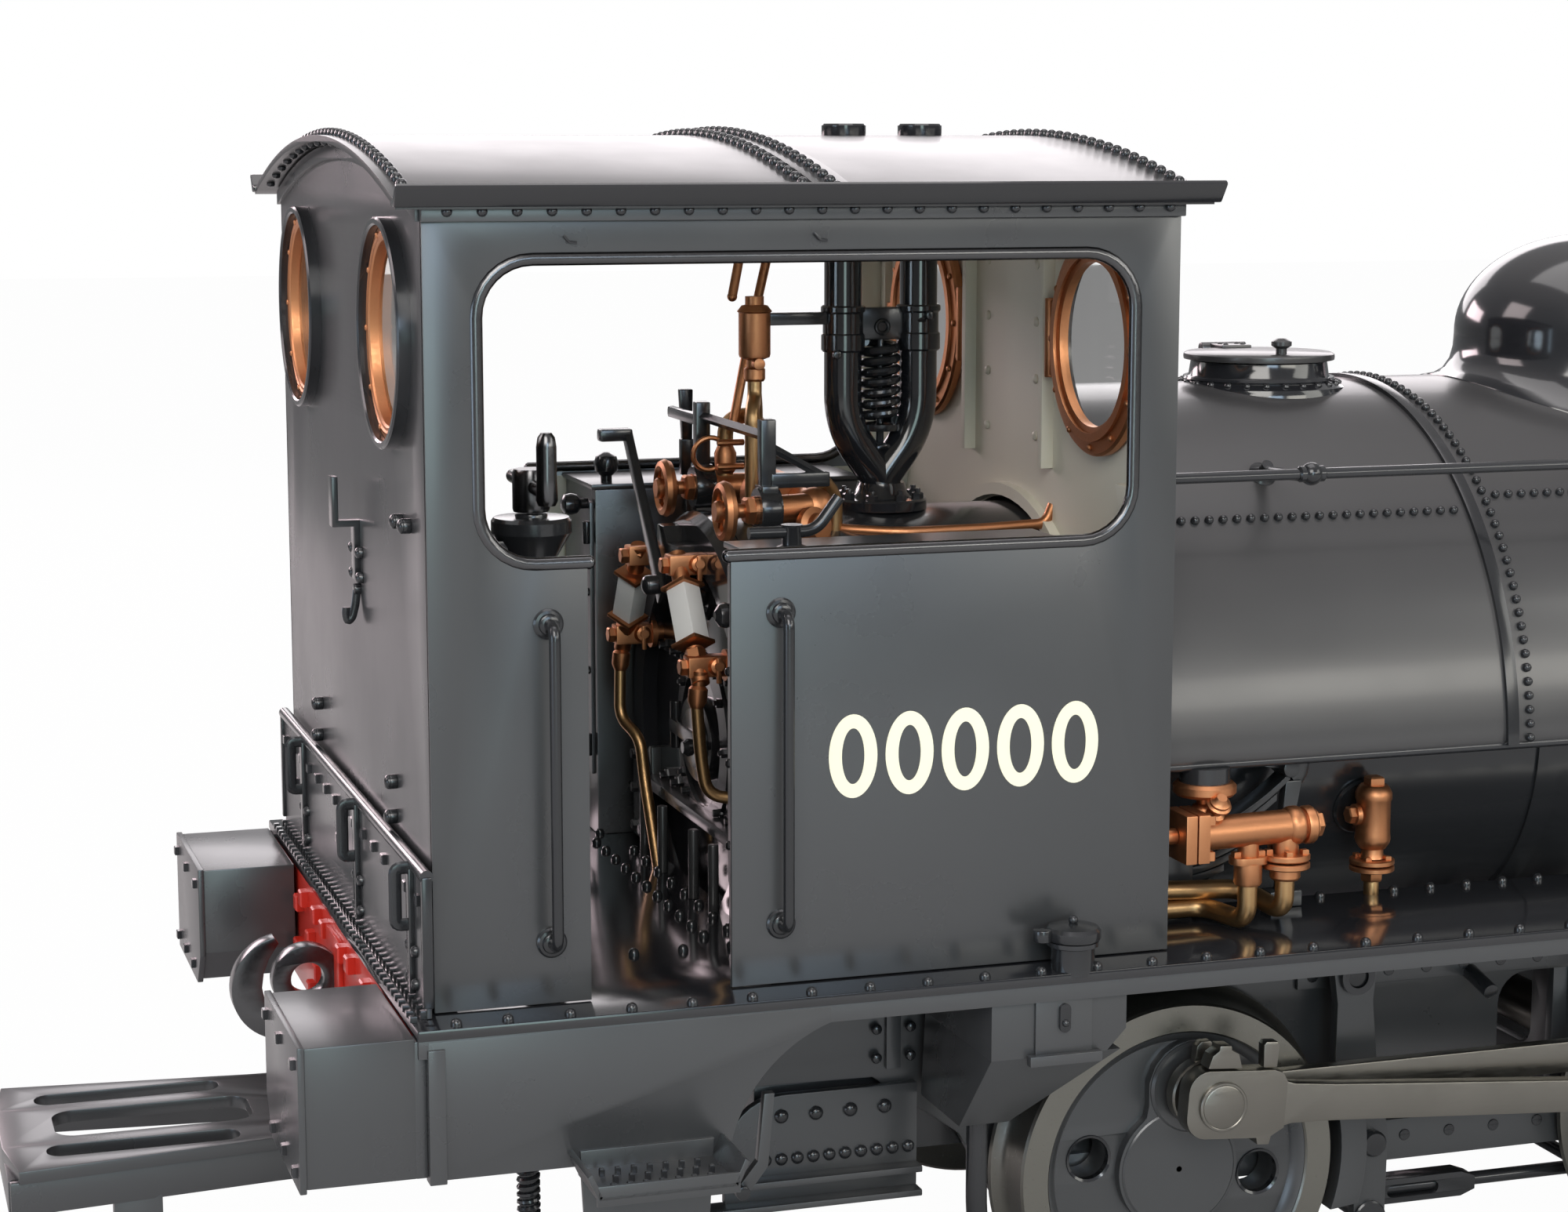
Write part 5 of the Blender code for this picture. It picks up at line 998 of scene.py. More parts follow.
def footplate():
    """The riveted deck with its edge strips, valances, steps, sandboxes and pipes."""
    x0, x1 = DECK_REAR, 262.0
    deck = fixed("footplate", GLOSS)
    hole = [(-176, -57), (-176, 57), (223, 57), (223, -57)]
    deck.plate("XY", [(x0, -105.0), (x1, -105.0), (x1, 105.0), (x0, 105.0)], 98.8, DECK, [hole[::-1]], 0.45)
    edging = Piece("footplate_edging", BLACK)
    sandbox = [(-138.4, 98.6), (-138.4, 82.1), (-110.6, 82.1), (-105.9, 87.0), (-105.9, 98.6)]
    for side in (-1, 1):
        edging.box((x0 + 0.2, side * 103.1, 95.0), (x1 - 0.2, side * 104.6, 99.0), 0.1)
        outline = [(-264.7, 98.5), (-264.7, 68.5), (-200.2, 68.5), *arc((-165, 62), 34.9, 168, 109, 16), (-176.4, 98.5)]
        edging.plate("XZ", outline, side * 103.2, side * 104.7, edge=0.15)
        edging.box((-264.9, side * 101.4, 67.8), (-261.2, side * 105.5, 97), 0.3)
        edging.plate("XZ", [(228, 98.5), (236, 72), (260.3, 70), (260.3, 98.5)], side * 103.2, side * 104.6,
                     edge=0.2)
        edging.plate("XZ", sandbox, side * 103.4, side * 60.7, edge=0.25)
        hopper = bmesh.new()
        bmesh.ops.create_cube(hopper, size=1.0)
        for vert in hopper.verts:
            top, outer = vert.co.z > 0, vert.co.y * side > 0
            x = (-138.2 if vert.co.x < 0 else -107) if top else (-139.2 if vert.co.x < 0 else -127)
            y = (103.2 if outer else 61) if top else (86 if outer else 61)
            vert.co = Vector((x, side * y, 82.3 if top else 61.8))
        edging.take(hopper, 0.3)
        face = side * 103.4
        edging.box((-128.2, face, 82.9), (-114.6, face + side * 0.8, 95.0), 0.2)
        edging.box((-130.0, face, 80.6), (-112.6, face + side * 2.4, 83.0), 0.3)
    trim = Piece("footplate_fittings", IRON)
    for side in (-1, 1):
        face = side * 104.3
        trim.plate("XZ", rounded((-122.7, 87.8), (-120.1, 94.4), 1.25, 5), face - side * 0.2, face + side * 0.8,
                   edge=0.25)
        trim.ball((-121.4, face + side * 0.9, 90.0), 0.85)
        pipe = bend([(-132, side * 79, 63), (-132, side * 79, 34), (-124, side * 76, 12)], 9, 8)
        trim.tube(pipe, 2.5, 18)
        trim.turn([(4.9, 0), (4.9, 6.0), (5.8, 6.4), (5.8, 7.4)], (-118, side * 100.6, DECK - 1), steps=28)
        outer = [-258.3] + [-247.3 + 13.42 * i for i in range(38)]
        inner = [-35.5 + 10.1 * i for i in range(26) if i != 1]
        in_cab = [-255 + 11.6 * i for i in range(7)]
        for y, row in ((102.9, outer), (60.5, inner), (60.5, in_cab)):
            trim.rivets([(x, side * y, DECK) for x in row], UP, *DECK_HEAD)
    for x, row in ((-189, range(-50, 52, 10)), (-182, range(-46, 48, 12))):
        trim.rivets([(x, y, DECK) for y in row], UP, *DECK_HEAD)
    for side in (-1, 1):
        steps(side)


def steps(side):
    """Two chequered treads with raised ends on a tapered back plate."""
    x0, x1 = -233.0, -202.5
    plate = Piece("cab_step_" + ("right" if side < 0 else "left"), BLACK)
    studs = Piece(plate.name + "_studs", IRON)
    for top, depth, inset, far in ((68.0, 122.4, 0.0, 120.3), (36.0, 117.4, 2.0, 115.3)):
        y0, y1 = side * 104.4, side * depth
        plate.box((x0 + inset, y0, top - 1.4), (x1 - inset, y1, top), 0.3)
        for x, lean in ((x0 + inset, -1), (x1 - inset, 1)):
            lip = [(x - lean * 0.2, top - 1.4), (x + lean * 2.3, top + 4.0), (x + lean * 1.3, top + 4.7),
                   (x - lean * 1.1, top - 0.5)]
            plate.plate("XZ", lip[::-lean], y0, y1, edge=0.2)
        front = side * depth
        plate.box((x0 + inset - 0.3, front, top - 2.6), (x1 - inset + 0.3, front - side * 0.9, top + 1.9), 0.3)
        for row in range(3):
            shift = 1.75 if row % 2 else 0.0
            places = [(-229.3 + inset + shift + 3.5 * i, side * (far - 4.9 * row), top) for i in range(7)
                      if -229.3 + inset + shift + 3.5 * i < x1 - inset - 1.8]
            studs.bolts(places, UP, 1.1, 1.7, 4)
    back = [(x0 + 0.4, 72), (x1 - 0.4, 72), (x1 - 2.6, 34), (x0 + 2.6, 34)]
    plate.plate("XZ", back, side * 103.6, side * 105.2, edge=0.25)
    for z in (63, 40):
        studs.rivets([(x, side * 105.2, z) for x in (x0 + 7, x1 - 7)], (0, side, 0), 1.2, 0.9)
    arm = [(-189.7, 78.5), (-187.3, 78.5), (-188.8, 62.0), (-193.2, 56.2), (-195.6, 58.0), (-191.2, 63.4)]
    plate.plate("XZ", arm, side * 96.6, side * 99.0, edge=0.3)
    studs.rod((-195.0, side * 98, 57.0), (-195.0, side * 101, 57.0), 1.6, 18)


def lid(side, word):
    """The sand filler's round lid, pivoted at one side."""
    body = "sandbox_lid_" + word
    cap = moving(body, IRON)
    y = side * 100.6
    cap.turn([(6.0, 107.9), (6.3, 108.4), (6.3, 110.0), (5.6, 110.8), (3.0, 111.3), (1.2, 111.5)], (-118, y, 0),
             UP, 36)
    cap.ball((-118, y, 112.2), 1.1)
    cap.rod((-125.4, y, 107.9), (-125.4, y, 110.6), 2.2, 18)
    cap.box((-125, y - 1.5, 108.3), (-117, y + 1.5, 109.9), 0.4)


def leaf_spring(piece, axle_x, side):
    """Curved leaves with scrolled eyes, hangers to the deck and a buckle."""
    y0, y1 = sorted((side * 60.6, side * 66.9))
    for level in range(7):
        half = 30.0 - 3.4 * level
        sag = 13.5

        def height(t, lift=0.0):
            return 121.0 - level * 2.05 + sag * (t / 30.0) ** 2 + lift
        xs = [-half + 2 * half * i / 20 for i in range(21)]
        strip = [(axle_x + x, height(x)) for x in xs] + [(axle_x + x, height(x, -1.7)) for x in reversed(xs)]
        piece.plate("XZ", strip, y0, y1, edge=0.25)
    for end in (-1, 1):
        x = axle_x + end * 30.0
        piece.rod((x, y0 - 0.8, SPRING_EYE), (x, y1 + 0.4, SPRING_EYE), 2.1, 20)
        curl = [polar((0, SPRING_EYE), 3.2, a) for a in range(-60, 200, 20)]
        scroll = [(x + end * u, (y0 + y1) / 2, z) for u, z in curl]
        piece.tube(scroll, 1.0, 8, wide=3.4)
        hanger = [(x - 1.4, 104.5), (x + 1.6, 104.5), (x + end * 0.4 + 1.4, 120), (x + end * 2.8 + 1.2, 132),
                  (x + end * 1.2 - 1.4, 132), (x + end * 0.2 - 1.6, 120)]
        piece.plate("XZ", hanger, y0 + 1.6, y1 - 1.6, edge=0.3)
        piece.box((x - 4.2, y0 + 0.4, DECK + 0.1), (x + 4.2, y1 - 0.4, 105.2), 0.5)
    piece.box((axle_x - 4.6, y0 - 0.7, DECK + 0.1), (axle_x + 4.6, y1 + 0.7, 123.6), 0.5)


def frames():
    """Main frame plates with their strips, slotted screws and firebox rivets."""
    outline = [(-258, 98.6), (-258, 68), (-150, 66), (-128, 50), (-118, 31.8), (118, 31.8), (128, 50), (150, 60),
               (254, 66), (254, 98.6)]
    window = rounded((17, 44), (62, 77), 8, 6)
    screws = Piece("frame_screws", IRON)
    for side, word in SIDES:
        outer = side * 57.5
        plate = fixed("main_frame_" + word, BLACK)
        plate.plate("XZ", outline, outer, side * 54.3, [window[::-1]], 0.25)
        for x0, x1, z0, z1 in ((-116, 116, 31.8, 42.3), (-40, 60, 77.8, 84.0), (-147, -143.4, 68, 97)):
            plate.box((x0, outer, z0), (x1, outer + side * 1.4, z1), 0.3)
        firebox = [(-139.6, 39.5), (-139.6, 64.5), (-173, 64.5), *arc((-173, 50.5), 14, 90, 180, 8), (-187, 39.5)]
        plate.plate("XZ", firebox, outer - side * 0.2, outer + side * 2.2, edge=0.3)
        ledge = side * 64.0
        for z in (43.8, 38.0):
            plate.box((-196, outer, z), (-139.6, ledge, z + 1.6), 0.4)
        face = outer + side * 2.2
        screws.rivets([(-173.3 + 8.5 * i, face, 59.6) for i in range(4)], (0, side, 0), 1.7, 0.8, 16)
        screws.rivets([(-177.2 + 3.93 * i, face, 49.2) for i in range(10)], (0, side, 0), 1.5, 0.8, 16)
        for x in (-149.5, -141.0):
            screws.rivets([(x, outer + side * 1.2, z) for z in (71, 78, 85, 92)], (0, side, 0), 1.3, 0.9, 14)
        for x in [-110 + 12.6 * i for i in range(18)]:
            slotted(screws, (x, outer + side * 1.4, 38.0), side)
        for x in [-36 + 10.5 * i for i in range(9)]:
            slotted(screws, (x, outer + side * 1.4, 81.0), side)
        for x in BRAKE_PIN:
            screws.rod((x, outer, BRAKE_PIN_Z), (x, side * 68.4, BRAKE_PIN_Z), 2.6, 20)
            hoop(screws, [(2.7, 67.6), (4.4, 67.6), (4.4, 68.9), (2.7, 68.9)], (x, 0, BRAKE_PIN_Z), (0, side, 0), 24)
        screws.rod((8, side * 57, 79), (8, side * 69, 76), 2.0, 14)


def slotted(piece, place, side):
    """A countersunk screw head with its slot."""
    x, y, z = place
    piece.turn([(1.5, 0), (1.5, 0.15), (1.35, 0.3)], place, (0, side, 0), 18)
    piece.box((x - 1.3, y, z - 0.15), (x + 1.3, y + side * 0.4, z + 0.15), 0.05)


def beams():
    """Red buffer beams with square-headed bolts."""
    for name, x0, x1, out in (("rear_buffer_beam", -266.2, -262.4, -1), ("front_buffer_beam", 257.6, 261.4, 1)):
        beam = fixed(name, RED)
        slot = [(-3.4, 80), (3.4, 80), (3.4, 92), (-3.4, 92)]
        beam.plate("YZ", [(-98, 68.2), (98, 68.2), (98, 98.8), (-98, 98.8)], x0, x1, [slot[::-1]], 0.3)
        face = x0 if out < 0 else x1
        places = [(face, s * y, z) for s in (-1, 1) for y, z in ((12, 94), (12, 73), (24, 94.5), (34, 86), (44, 94),
                  (52, 91), (54, 79), (34, 73), (24, 80))]
        beam.bolts(places, (out, 0, 0), 4.0, 2.2, 4)
        beam.box((face - (1.2 if out < 0 else 0), -9, 76), (face + (0 if out < 0 else 1.2), 9, 96), 0.3)


def buffers():
    """Dumb buffer blocks with a bolted face plate."""
    outline = [(59, 99.3), (59, 77.6), (66, 69), (103.5, 69), (103.5, 99.3)]
    for end, x0, x1, way in (("rear", -290.4, -267.2, -1), ("front", 262.3, 285.4, 1)):
        for side, word in SIDES:
            body = fixed(end + "_buffer_" + word, BLACK)
            flat = [(side * y, z) for y, z in outline][::side]
            body.plate("YZ", flat, x0, x1, edge=0.35)
            wide = [(side * (y + (0.7 if y > 80 else -0.7)), z + (0.4 if z > 80 else -0.7)) for y, z in outline]
            face = x0 if way < 0 else x1
            body.plate("YZ", wide[::side], face, face + way * 1.5, edge=0.3)
            heads = Piece(body.name + "_bolts", IRON)
            front = face + way * 1.5
            places = [(front, side * y, z) for y, z in ((62, 95.5), (81, 95.5), (100.5, 95.5), (70, 72.4), (85.5, 72.4),
                      (100.5, 72.4))]
            heads.bolts(places, (way, 0, 0), 2.2, 1.1, 4)
            back = x1 if way < 0 else x0
            body.box((back + way * 0.2, side * 98.3, 69), (back - way * 2.3, side * 103.5, 98.6), 0.25)


def draw_hook(word, x, way):
    """A drop-forged hook with its eye and the plate it passes through."""
    hook = fixed(word + "_draw_hook", BEADING)

    def place(points):
        return [(x + way * a, z) for a, z in points][::way]
    hook.plate("XZ", place(circle((-7.5, 85.5), 8.4, 40)), -2.5, 2.5, [place(circle((-7.5, 85.8), 4.0, 28))[::-1]], 0.8)
    outer = arc((-13, 84), 12.6, 282, 100, 26)
    inner = [(-14.2, 95), (-15.4, 93.3), (-16.6, 91.4), (-17.9, 88), (-18.4, 84.5), (-17.8, 81.4), (-16, 79.0),
             (-12.6, 77.6)]
    hook.plate("XZ", place(outer + inner + [(-8.6, 78.8), (-5.2, 78.4), (-6.4, 73.0)]), -2.4, 2.4, edge=0.8)
    ends = x - way * 2, x + way * 12
    hook.box((ends[0], -2.1, 82.5), (ends[1], 2.1, 88.9), 0.4)


def towing_frame():
    """The slotted frame behind the beam, on a hanger under the deck."""
    frame_piece = fixed("towing_frame", BLACK)
    outline = [(-344, -32.4), (-285, -25.5), (-225, -22), (-225, 22), (-285, 25.5), (-344, 32.4), (-346.6, 14),
               (-346.6, -14)]
    slots = [rounded((-337, 15.5), (-293, 23.5), 3.6, 8)[::-1], rounded((-337, -23.5), (-293, -15.5), 3.6, 8)[::-1]]
    frame_piece.plate("XY", outline, 52.0, 55.0, slots + [rounded((-334, -9.5), (-288, 9.5), 5, 8)[::-1]], 0.35)
    for s in (-1, 1):
        side_bar = [(-346, s * 31.6), (-285, s * 24.9), (-228, s * 21.4), (-228, s * 18.4), (-285, s * 22.0),
                    (-346, s * 28.6)]
        frame_piece.plate("XY", side_bar[::s], 44.2, 52.2, edge=0.35)
    frame_piece.plate("XY", [(-346.4, -30), (-343.2, -30), (-343.2, 30), (-346.4, 30)], 44.2, 52.2, edge=0.35)
    frame_piece.box((-323, -28, 28), (-312, -24, 45), 0.4)
    frame_piece.box((-246, -21, 54), (-226, 21, 58), 0.4)
    frame_piece.box((-240, -10, 58), (-230, 10, 98.6), 0.4)


# ---------------------------------------------------------------- wheels and motion

def wheel(end, axle, side, word, crank_deg):
    """Turned tyre, dished black centre with lightening holes, raised crank boss and bright pin."""
    body = end + "_wheelset"
    out = Vector((0, side, 0))
    centre = Vector((axle, 0, TREAD))
    tyre = Piece(end + "_wheel_" + word, RIM, end + "_wheel_" + word, body=body)
    profile = [(33.6, 59.5), (43.4, 59.5), (44.2, 60.4), (43.9, 61.6), (42.4, 62.8), (41.6, 64.0), (41.1, 65.6),
               (40.7, 72.3), (40.2, 73.0), (34.0, 73.1), (33.6, 72.6)]
    hoop(tyre, profile, centre, out, 96)
    hub = Piece(end + "_wheel_centre_" + word, BLACK, body=body)
    a = math.radians(crank_deg)
    pin = centre + Vector((THROW * math.cos(a), 0, THROW * math.sin(a)))
    lighten = [polar((axle, TREAD), 22.6, crank_deg + turn) for turn in (90, -90)]
    holes = [circle(place, 5.1, 28)[::-1] for place in lighten]
    hub.plate("XZ", circle((axle, TREAD), 33.7, 96), side * 60.2, side * 69.8, holes, 0.4)
    hoop(hub, [(30.9, 69.7), (32.2, 71.6), (33.7, 72.4), (33.7, 69.7)], centre, out, 96)
    dark = Piece(end + "_wheel_holes_" + word, GLOSS, body=body)
    for x, z in lighten:
        hoop(dark, [(5.1, 69.9), (5.7, 70.2), (5.9, 69.6), (5.1, 68)], (x, 0, z), out, 28)
    boss = []
    along = Vector((math.cos(a), math.sin(a)))
    across = Vector((-along.y, along.x))
    for t in range(0, 360, 6):
        c = math.radians(t)
        u, v = math.cos(c), math.sin(c)
        reach_out = 15.4
        if u > 0:
            tip = THROW * u + math.sqrt(max(0.0, 11.6 ** 2 - (THROW * v) ** 2)) if abs(THROW * v) < 11.6 else 0.0
            waist = 10.6 / max(abs(v), 0.05)
            reach_out = max(15.4, tip, min(waist, 19.5))
        point = Vector((axle, TREAD)) + along * (u * reach_out) + across * (v * reach_out)
        boss.append((point.x, point.y))
    hub.plate("XZ", boss, side * 69, side * 72.4, edge=0.7)
    hub.turn([(14.6, 72.2), (14.6, 72.6), (14.2, 72.9)], centre, out, 48)
    hub.turn([(11.2, 71), (11.2, 72.8), (10.6, 73.4)], Vector((pin.x, 0, pin.z)), out, 40)
    bright = Piece(end + "_crank_pin_" + word, STEEL, body=body)
    bright.rod(Vector((pin.x, side * 73, pin.z)), Vector((pin.x, side * 80.1, pin.z)), 3.5, 24)
    bright.rod(Vector((axle, side * 72.3, TREAD)), Vector((axle, side * 72.9, TREAD)), 0.9, 14)
    axle_piece = Piece(end + "_axle_" + word, STEEL, *([end + "_axle"] if side < 0 else []), body=body)
    axle_piece.rod((axle, side * 0.2, TREAD), (axle, side * 60.6, TREAD), 6.5, 32)
    axle_piece.rod((axle, side * 0.2, TREAD), (axle, side * 8, TREAD), 10, 32)


def coupling_rod(side, word, crank_deg):
    """The rod between the crank pins with its round eyes and oil cups."""
    eyes = [polar((axle.x, TREAD), THROW, crank_deg) for axle in (REAR_AXLE, FRONT_AXLE)]
    ends, z = [eye[0] for eye in eyes], eyes[0][1]
    rod = moving("coupling_rod_" + word, STEEL)
    y0, y1 = sorted((side * 75.2, side * 79.6))
    middle = [(ends[0] + 7, z - 4.8), (ends[0] + 20, z - 3.9), (ends[1] - 20, z - 3.9), (ends[1] - 7, z - 4.8),
              (ends[1] - 7, z + 4.8), (ends[1] - 20, z + 3.9), (ends[0] + 20, z + 3.9), (ends[0] + 7, z + 4.8)]
    rod.plate("XZ", middle, y0 + 0.4, y1 - 0.4, edge=0.5)
    for x in ends:
        hoop(rod, [(3.85, y0), (8.2, y0), (8.6, y0 + 0.5), (8.6, y1 - 0.5), (8.2, y1), (3.85, y1)],
             (x, 0, z), (0, 1, 0), 48)
        rod.plate("XZ", [(x - 3, z + 7), (x + 3, z + 7), (x + 2.3, z + 12), (x + 1.2, z + 13), (x - 1.2, z + 13),
                         (x - 2.3, z + 12)], y0 + 0.8, y1 - 0.8, edge=0.5)


def connecting_rod(side, word, crank_deg):
    """The heavy rod from crosshead to crank: strapped big end, cotter, oil lug and tapered shank."""
    small = joint_place("connecting_rod_%s_swing" % word)
    big = Vector(polar((REAR_AXLE.x, TREAD), THROW, crank_deg))
    along = (Vector((small.x, small.z)) - big)
    length = along.length
    along = along.normalized()
    up = Vector((-along.y, along.x))
    y0, y1 = sorted((side * 82.2, side * 88.6))
    face = y1 if side > 0 else y0

    def place(points):
        return [tuple(big + along * p + up * q) for p, q in points]
    rod = moving("connecting_rod_" + word, STEEL)
    shank = [(14, -6.2), (19, -4.9), (30, -4.5), (length - 12, -3.5), (length - 5, -4.4), (length - 5, 4.4),
             (length - 12, 3.5), (30, 4.5), (19, 4.9), (14, 6.2)]
    rod.plate("XZ", place(shank), y0 + 1.2, y1 - 1.2, edge=0.55)
    end = (arc((-3.6, -2.8), 5.2, 180, 268, 6) + [(9.6, -8.0), (10.0, -9.6), (13.0, -9.6), (13.4, -7.6), (16.6, -5.6),
           (16.6, 5.6), (15.2, 7.8), (13.0, 8.4)] + arc((-3.6, 3.2), 5.2, 92, 180, 6))
    rod.plate("XZ", place(end), y0 + 0.5, y1 - 0.5, edge=0.7)
    tongue = [(10.4, 8.6), (14.0, 8.6), (14.2, 14.2), (13.6, 15.0), (10.6, 15.0), (10.0, 14.2)]
    rod.plate("XZ", place(tongue), y0 + 1.6, y1 - 1.6, edge=0.5)
    cup = [(-4.4, 8.8), (4.6, 8.8), (3.4, 12.4), (1.4, 13.4), (1.4, 14.4), (-1.8, 14.4), (-1.8, 13.2), (-3.4, 12.0)]
    rod.plate("XZ", place(cup), y0 + 0.8, y1 - 0.8, edge=0.5)
    disc = Vector((big.x, face - side * 0.6, big.y))
    rod.turn([(6.0, 0), (6.0, 1.0), (5.8, 1.2), (5.4, 1.25), (5.2, 1.1), (4.9, 1.25)], disc, (0, side, 0), 40)
    x2, z2 = place([(length, 0)])[0]
    hoop(rod, [(3.35, y0 + 0.6), (6.8, y0 + 0.6), (7.2, y0 + 1.1), (7.2, y1 - 1.1), (6.8, y1 - 0.6), (3.35, y1 - 0.6)],
         (x2, 0, z2), (0, 1, 0), 40)


def brake_gear():
    """Hangers, blocks, cross beams and the rods with turnbuckles."""
    for end, x in zip(("rear", "front"), BRAKE_PIN):
        body = end + "_brake_hangers"
        gear = moving(body, BLACK)
        pins = Piece(end + "_brake_pins", IRON, body=body)
        gear.rod((x + 5.6, -64.5, ROD_Z), (x + 5.6, 64.5, ROD_Z), 2.6, 16)
        for side in (-1, 1):
            y0, y1 = side * 64.0, side * 67.2
            head = arc((x, BRAKE_PIN_Z), 6.2, 20, 160, 8)
            outline = head + [(x - 4.6, 76), (x - 4.8, 62), (x + 0.2, 42), (x + 1.8, 16.5), (x + 9.8, 16.5),
                              (x + 10.2, 42), (x + 6.4, 62), (x + 5.0, 76)]
            hole = circle((x, BRAKE_PIN_Z), 2.9, 20)[::-1]
            gear.plate("XZ", outline, y0, y1, [hole], 0.45)
            tyre = (x - BRAKE_PIN[0] + REAR_AXLE.x, TREAD)
            shoe = arc(tyre, TREAD + 2.5, -20, 22, 10) + arc(tyre, TREAD + 9.5, 18, -16, 10)
            gear.plate("XZ", shoe, side * 64.5, side * 72.8, edge=0.4)
            pins.turn([(3.3, 0), (3.3, 2.2), (2.8, 2.8), (1.4, 3.0)], (x + 5.4, side * 67.1, 40.3), (0, side, 0), 24)
            pins.turn([(4.2, 0), (4.2, 0.8), (3.8, 1.1)], (x + 5.6, side * 67.1, ROD_Z), (0, side, 0), 28)
    rods = moving("brake_pull_rod", IRON)
    rods.rod((49, -50, ROD_Z), (49, 50, ROD_Z), 1.7, 12)
    for y in (-50, 50):
        rods.rod((-19.9, y, ROD_Z), (128.9, y, ROD_Z), 1.7, 14)
        taper = [(-18.5, -1.7), (-15, -3.2), (11, -3.2), (15, -1.7), (15, 1.7), (11, 3.2), (-15, 3.2), (-18.5, 1.7)]
        hole = rounded((-10.1, ROD_Z - 1.6), (4.5, ROD_Z + 1.6), 1.5, 5)[::-1]
        rods.plate("XZ", [(a, ROD_Z + b) for a, b in taper], y - 2.9, y + 2.9, [hole], 0.6)


def axis_point(u, w=0.0):
    """A point on a cylinder's inclined axis, u along from the rear axle and w above it."""
    a = math.radians(1.8)
    return (REAR_AXLE.x + u * math.cos(a) - w * math.sin(a), TREAD + u * math.sin(a) + w * math.cos(a))


def cylinders():
    """Clad cylinders with studded covers, slide bars, crossheads and pistons."""
    centre = CYLINDER
    for side, word in SIDES:
        body = fixed("cylinder_" + word, BLACK)
        studs = Piece("cylinder_fittings_" + word, IRON)
        bars = Piece("slide_bars_" + word, STEEL)

        def point(u, w=0.0, across=86.0):
            x, z = axis_point(u, w)
            return Vector((x, side * across, z))
        way = (point(1) - point(0)).normalized()
        hoop(body, [(14.6, 0), (18.6, 0), (18.6, 62), (14.6, 62)], point(centre - 31), way, 48)
        for u, sign in ((centre - 31, -1), (centre + 31, 1)):
            hoop(studs, [(4, -0.5), (19.0, -0.5), (19.4, 0), (19.4, 2.6), (18.8, 3.4), (12, 3.6), (10, 4.6), (4, 4.6)],
                 point(u), way * sign, 48)
            across = way.cross(Vector((0, 1, 0))).normalized()
            places = [point(u) + way * sign * 3.4 + (Vector((0, 1, 0)) * math.cos(t) + across * math.sin(t)) * 16.4
                      for t in turns(10)]
            studs.bolts(places, way * sign, 3.0, 1.6, 6, 0.8)
        for u in (centre - 22, centre + 22):
            hoop(studs, [(18.5, 0), (18.9, 0), (18.9, 2.4), (18.5, 2.4)], point(u), way, 48)
        studs.turn([(9.5, 0), (9.5, 3.6), (8.4, 4.4), (2, 4.6)], point(centre + 34), way, 32)
        hoop(studs, [(3.1, 0), (6.4, 0), (6.4, 5.8), (5.2, 7.2), (3.1, 7.4)], point(centre - 33.5), way * -1, 28)
        x0, z0 = axis_point(centre)
        body.box((x0 - 28, side * 57.9, z0 - 13), (x0 + 28, side * 80.0, z0 + 17), 0.6)
        body.box((x0 - 22, side * 57.9, z0 + 10), (x0 + 22, side * 76, z0 + 30), 0.6)
        studs.bolts([(x, side * 76, z) for x in (x0 - 18, x0 - 6, x0 + 6, x0 + 18) for z in (z0 + 19, z0 + 27)],
                    (0, side, 0), 2.6, 1.6, 6, 0.8)
        for s in (-1, 1):
            w0, w1 = sorted((s * 11.9, s * 14.9))
            outline = [axis_point(u, w) for u, w in ((146, w0), (centre - 33, w0), (centre - 33, w1), (146, w1))]
            bars.plate("XZ", outline, side * 82.4, side * 89.6, edge=0.3)
        x1, z1 = axis_point(147)
        body.box((x1 - 3.5, side * 80.9, z1 + 11.5), (x1 + 1.5, side * 91.1, 98.8), 0.4)
        body.box((x1 - 3.5, side * 91.8, z1 - 15.4), (x1 + 1.5, side * 94.2, z1 + 26), 0.4)
        for z in (z1 - 15.2, z1 + 20):
            body.box((x1 - 3.4, side * 88, z), (x1 + 1.4, side * 94.2, z + 3.2), 0.3)
        name = "crosshead_" + word
        slider = moving(name, STEEL)
        place = joint_place("connecting_rod_%s_swing" % word)
        u = (Vector((place.x, 0, place.z)) - Vector((REAR_AXLE.x, 0, TREAD))).length
        for near, far in ((80.6, 81.9), (88.9, 91.2)):
            cheek = [axis_point(u + du, dw) for du, dw in ((-11, -9), (-8, -11.4), (10, -11.4), (13, -9), (13, 9),
                                                           (10, 11.4), (-8, 11.4), (-11, 9))]
            slider.plate("XZ", cheek, side * near, side * far, edge=0.4)
        block_shape = [axis_point(u + du, dw) for du, dw in ((8.6, -11.4), (13, -11.4), (13, 11.4), (8.6, 11.4))]
        slider.plate("XZ", block_shape, side * 80.8, side * 91.0, edge=0.4)
        slider.rod((place.x, side * 80.9, place.z), (place.x, side * 91.8, place.z), 3.0, 24)
        slider.rod(point(u + 12), point(u + 76), 2.7, 20)
        slider.rod(point(u + 71), point(u + 79), 14.0, 40)
    plate = fixed("motion_plate", BLACK)
    plate.plate("YZ", [(-53.8, 42), (53.8, 42), (53.8, 80), (-53.8, 80)], 40, 43,
                [rounded((-36, 50), (-10, 74), 5, 6)[::-1], rounded((10, 50), (36, 74), 5, 6)[::-1]], 0.4)
    for s in (-1, 1):
        plate.box((36, s * 51 - 1.5, 44), (47, s * 51 + 1.5, 79), 0.3)


# ---------------------------------------------------------------- boiler, tank and front end

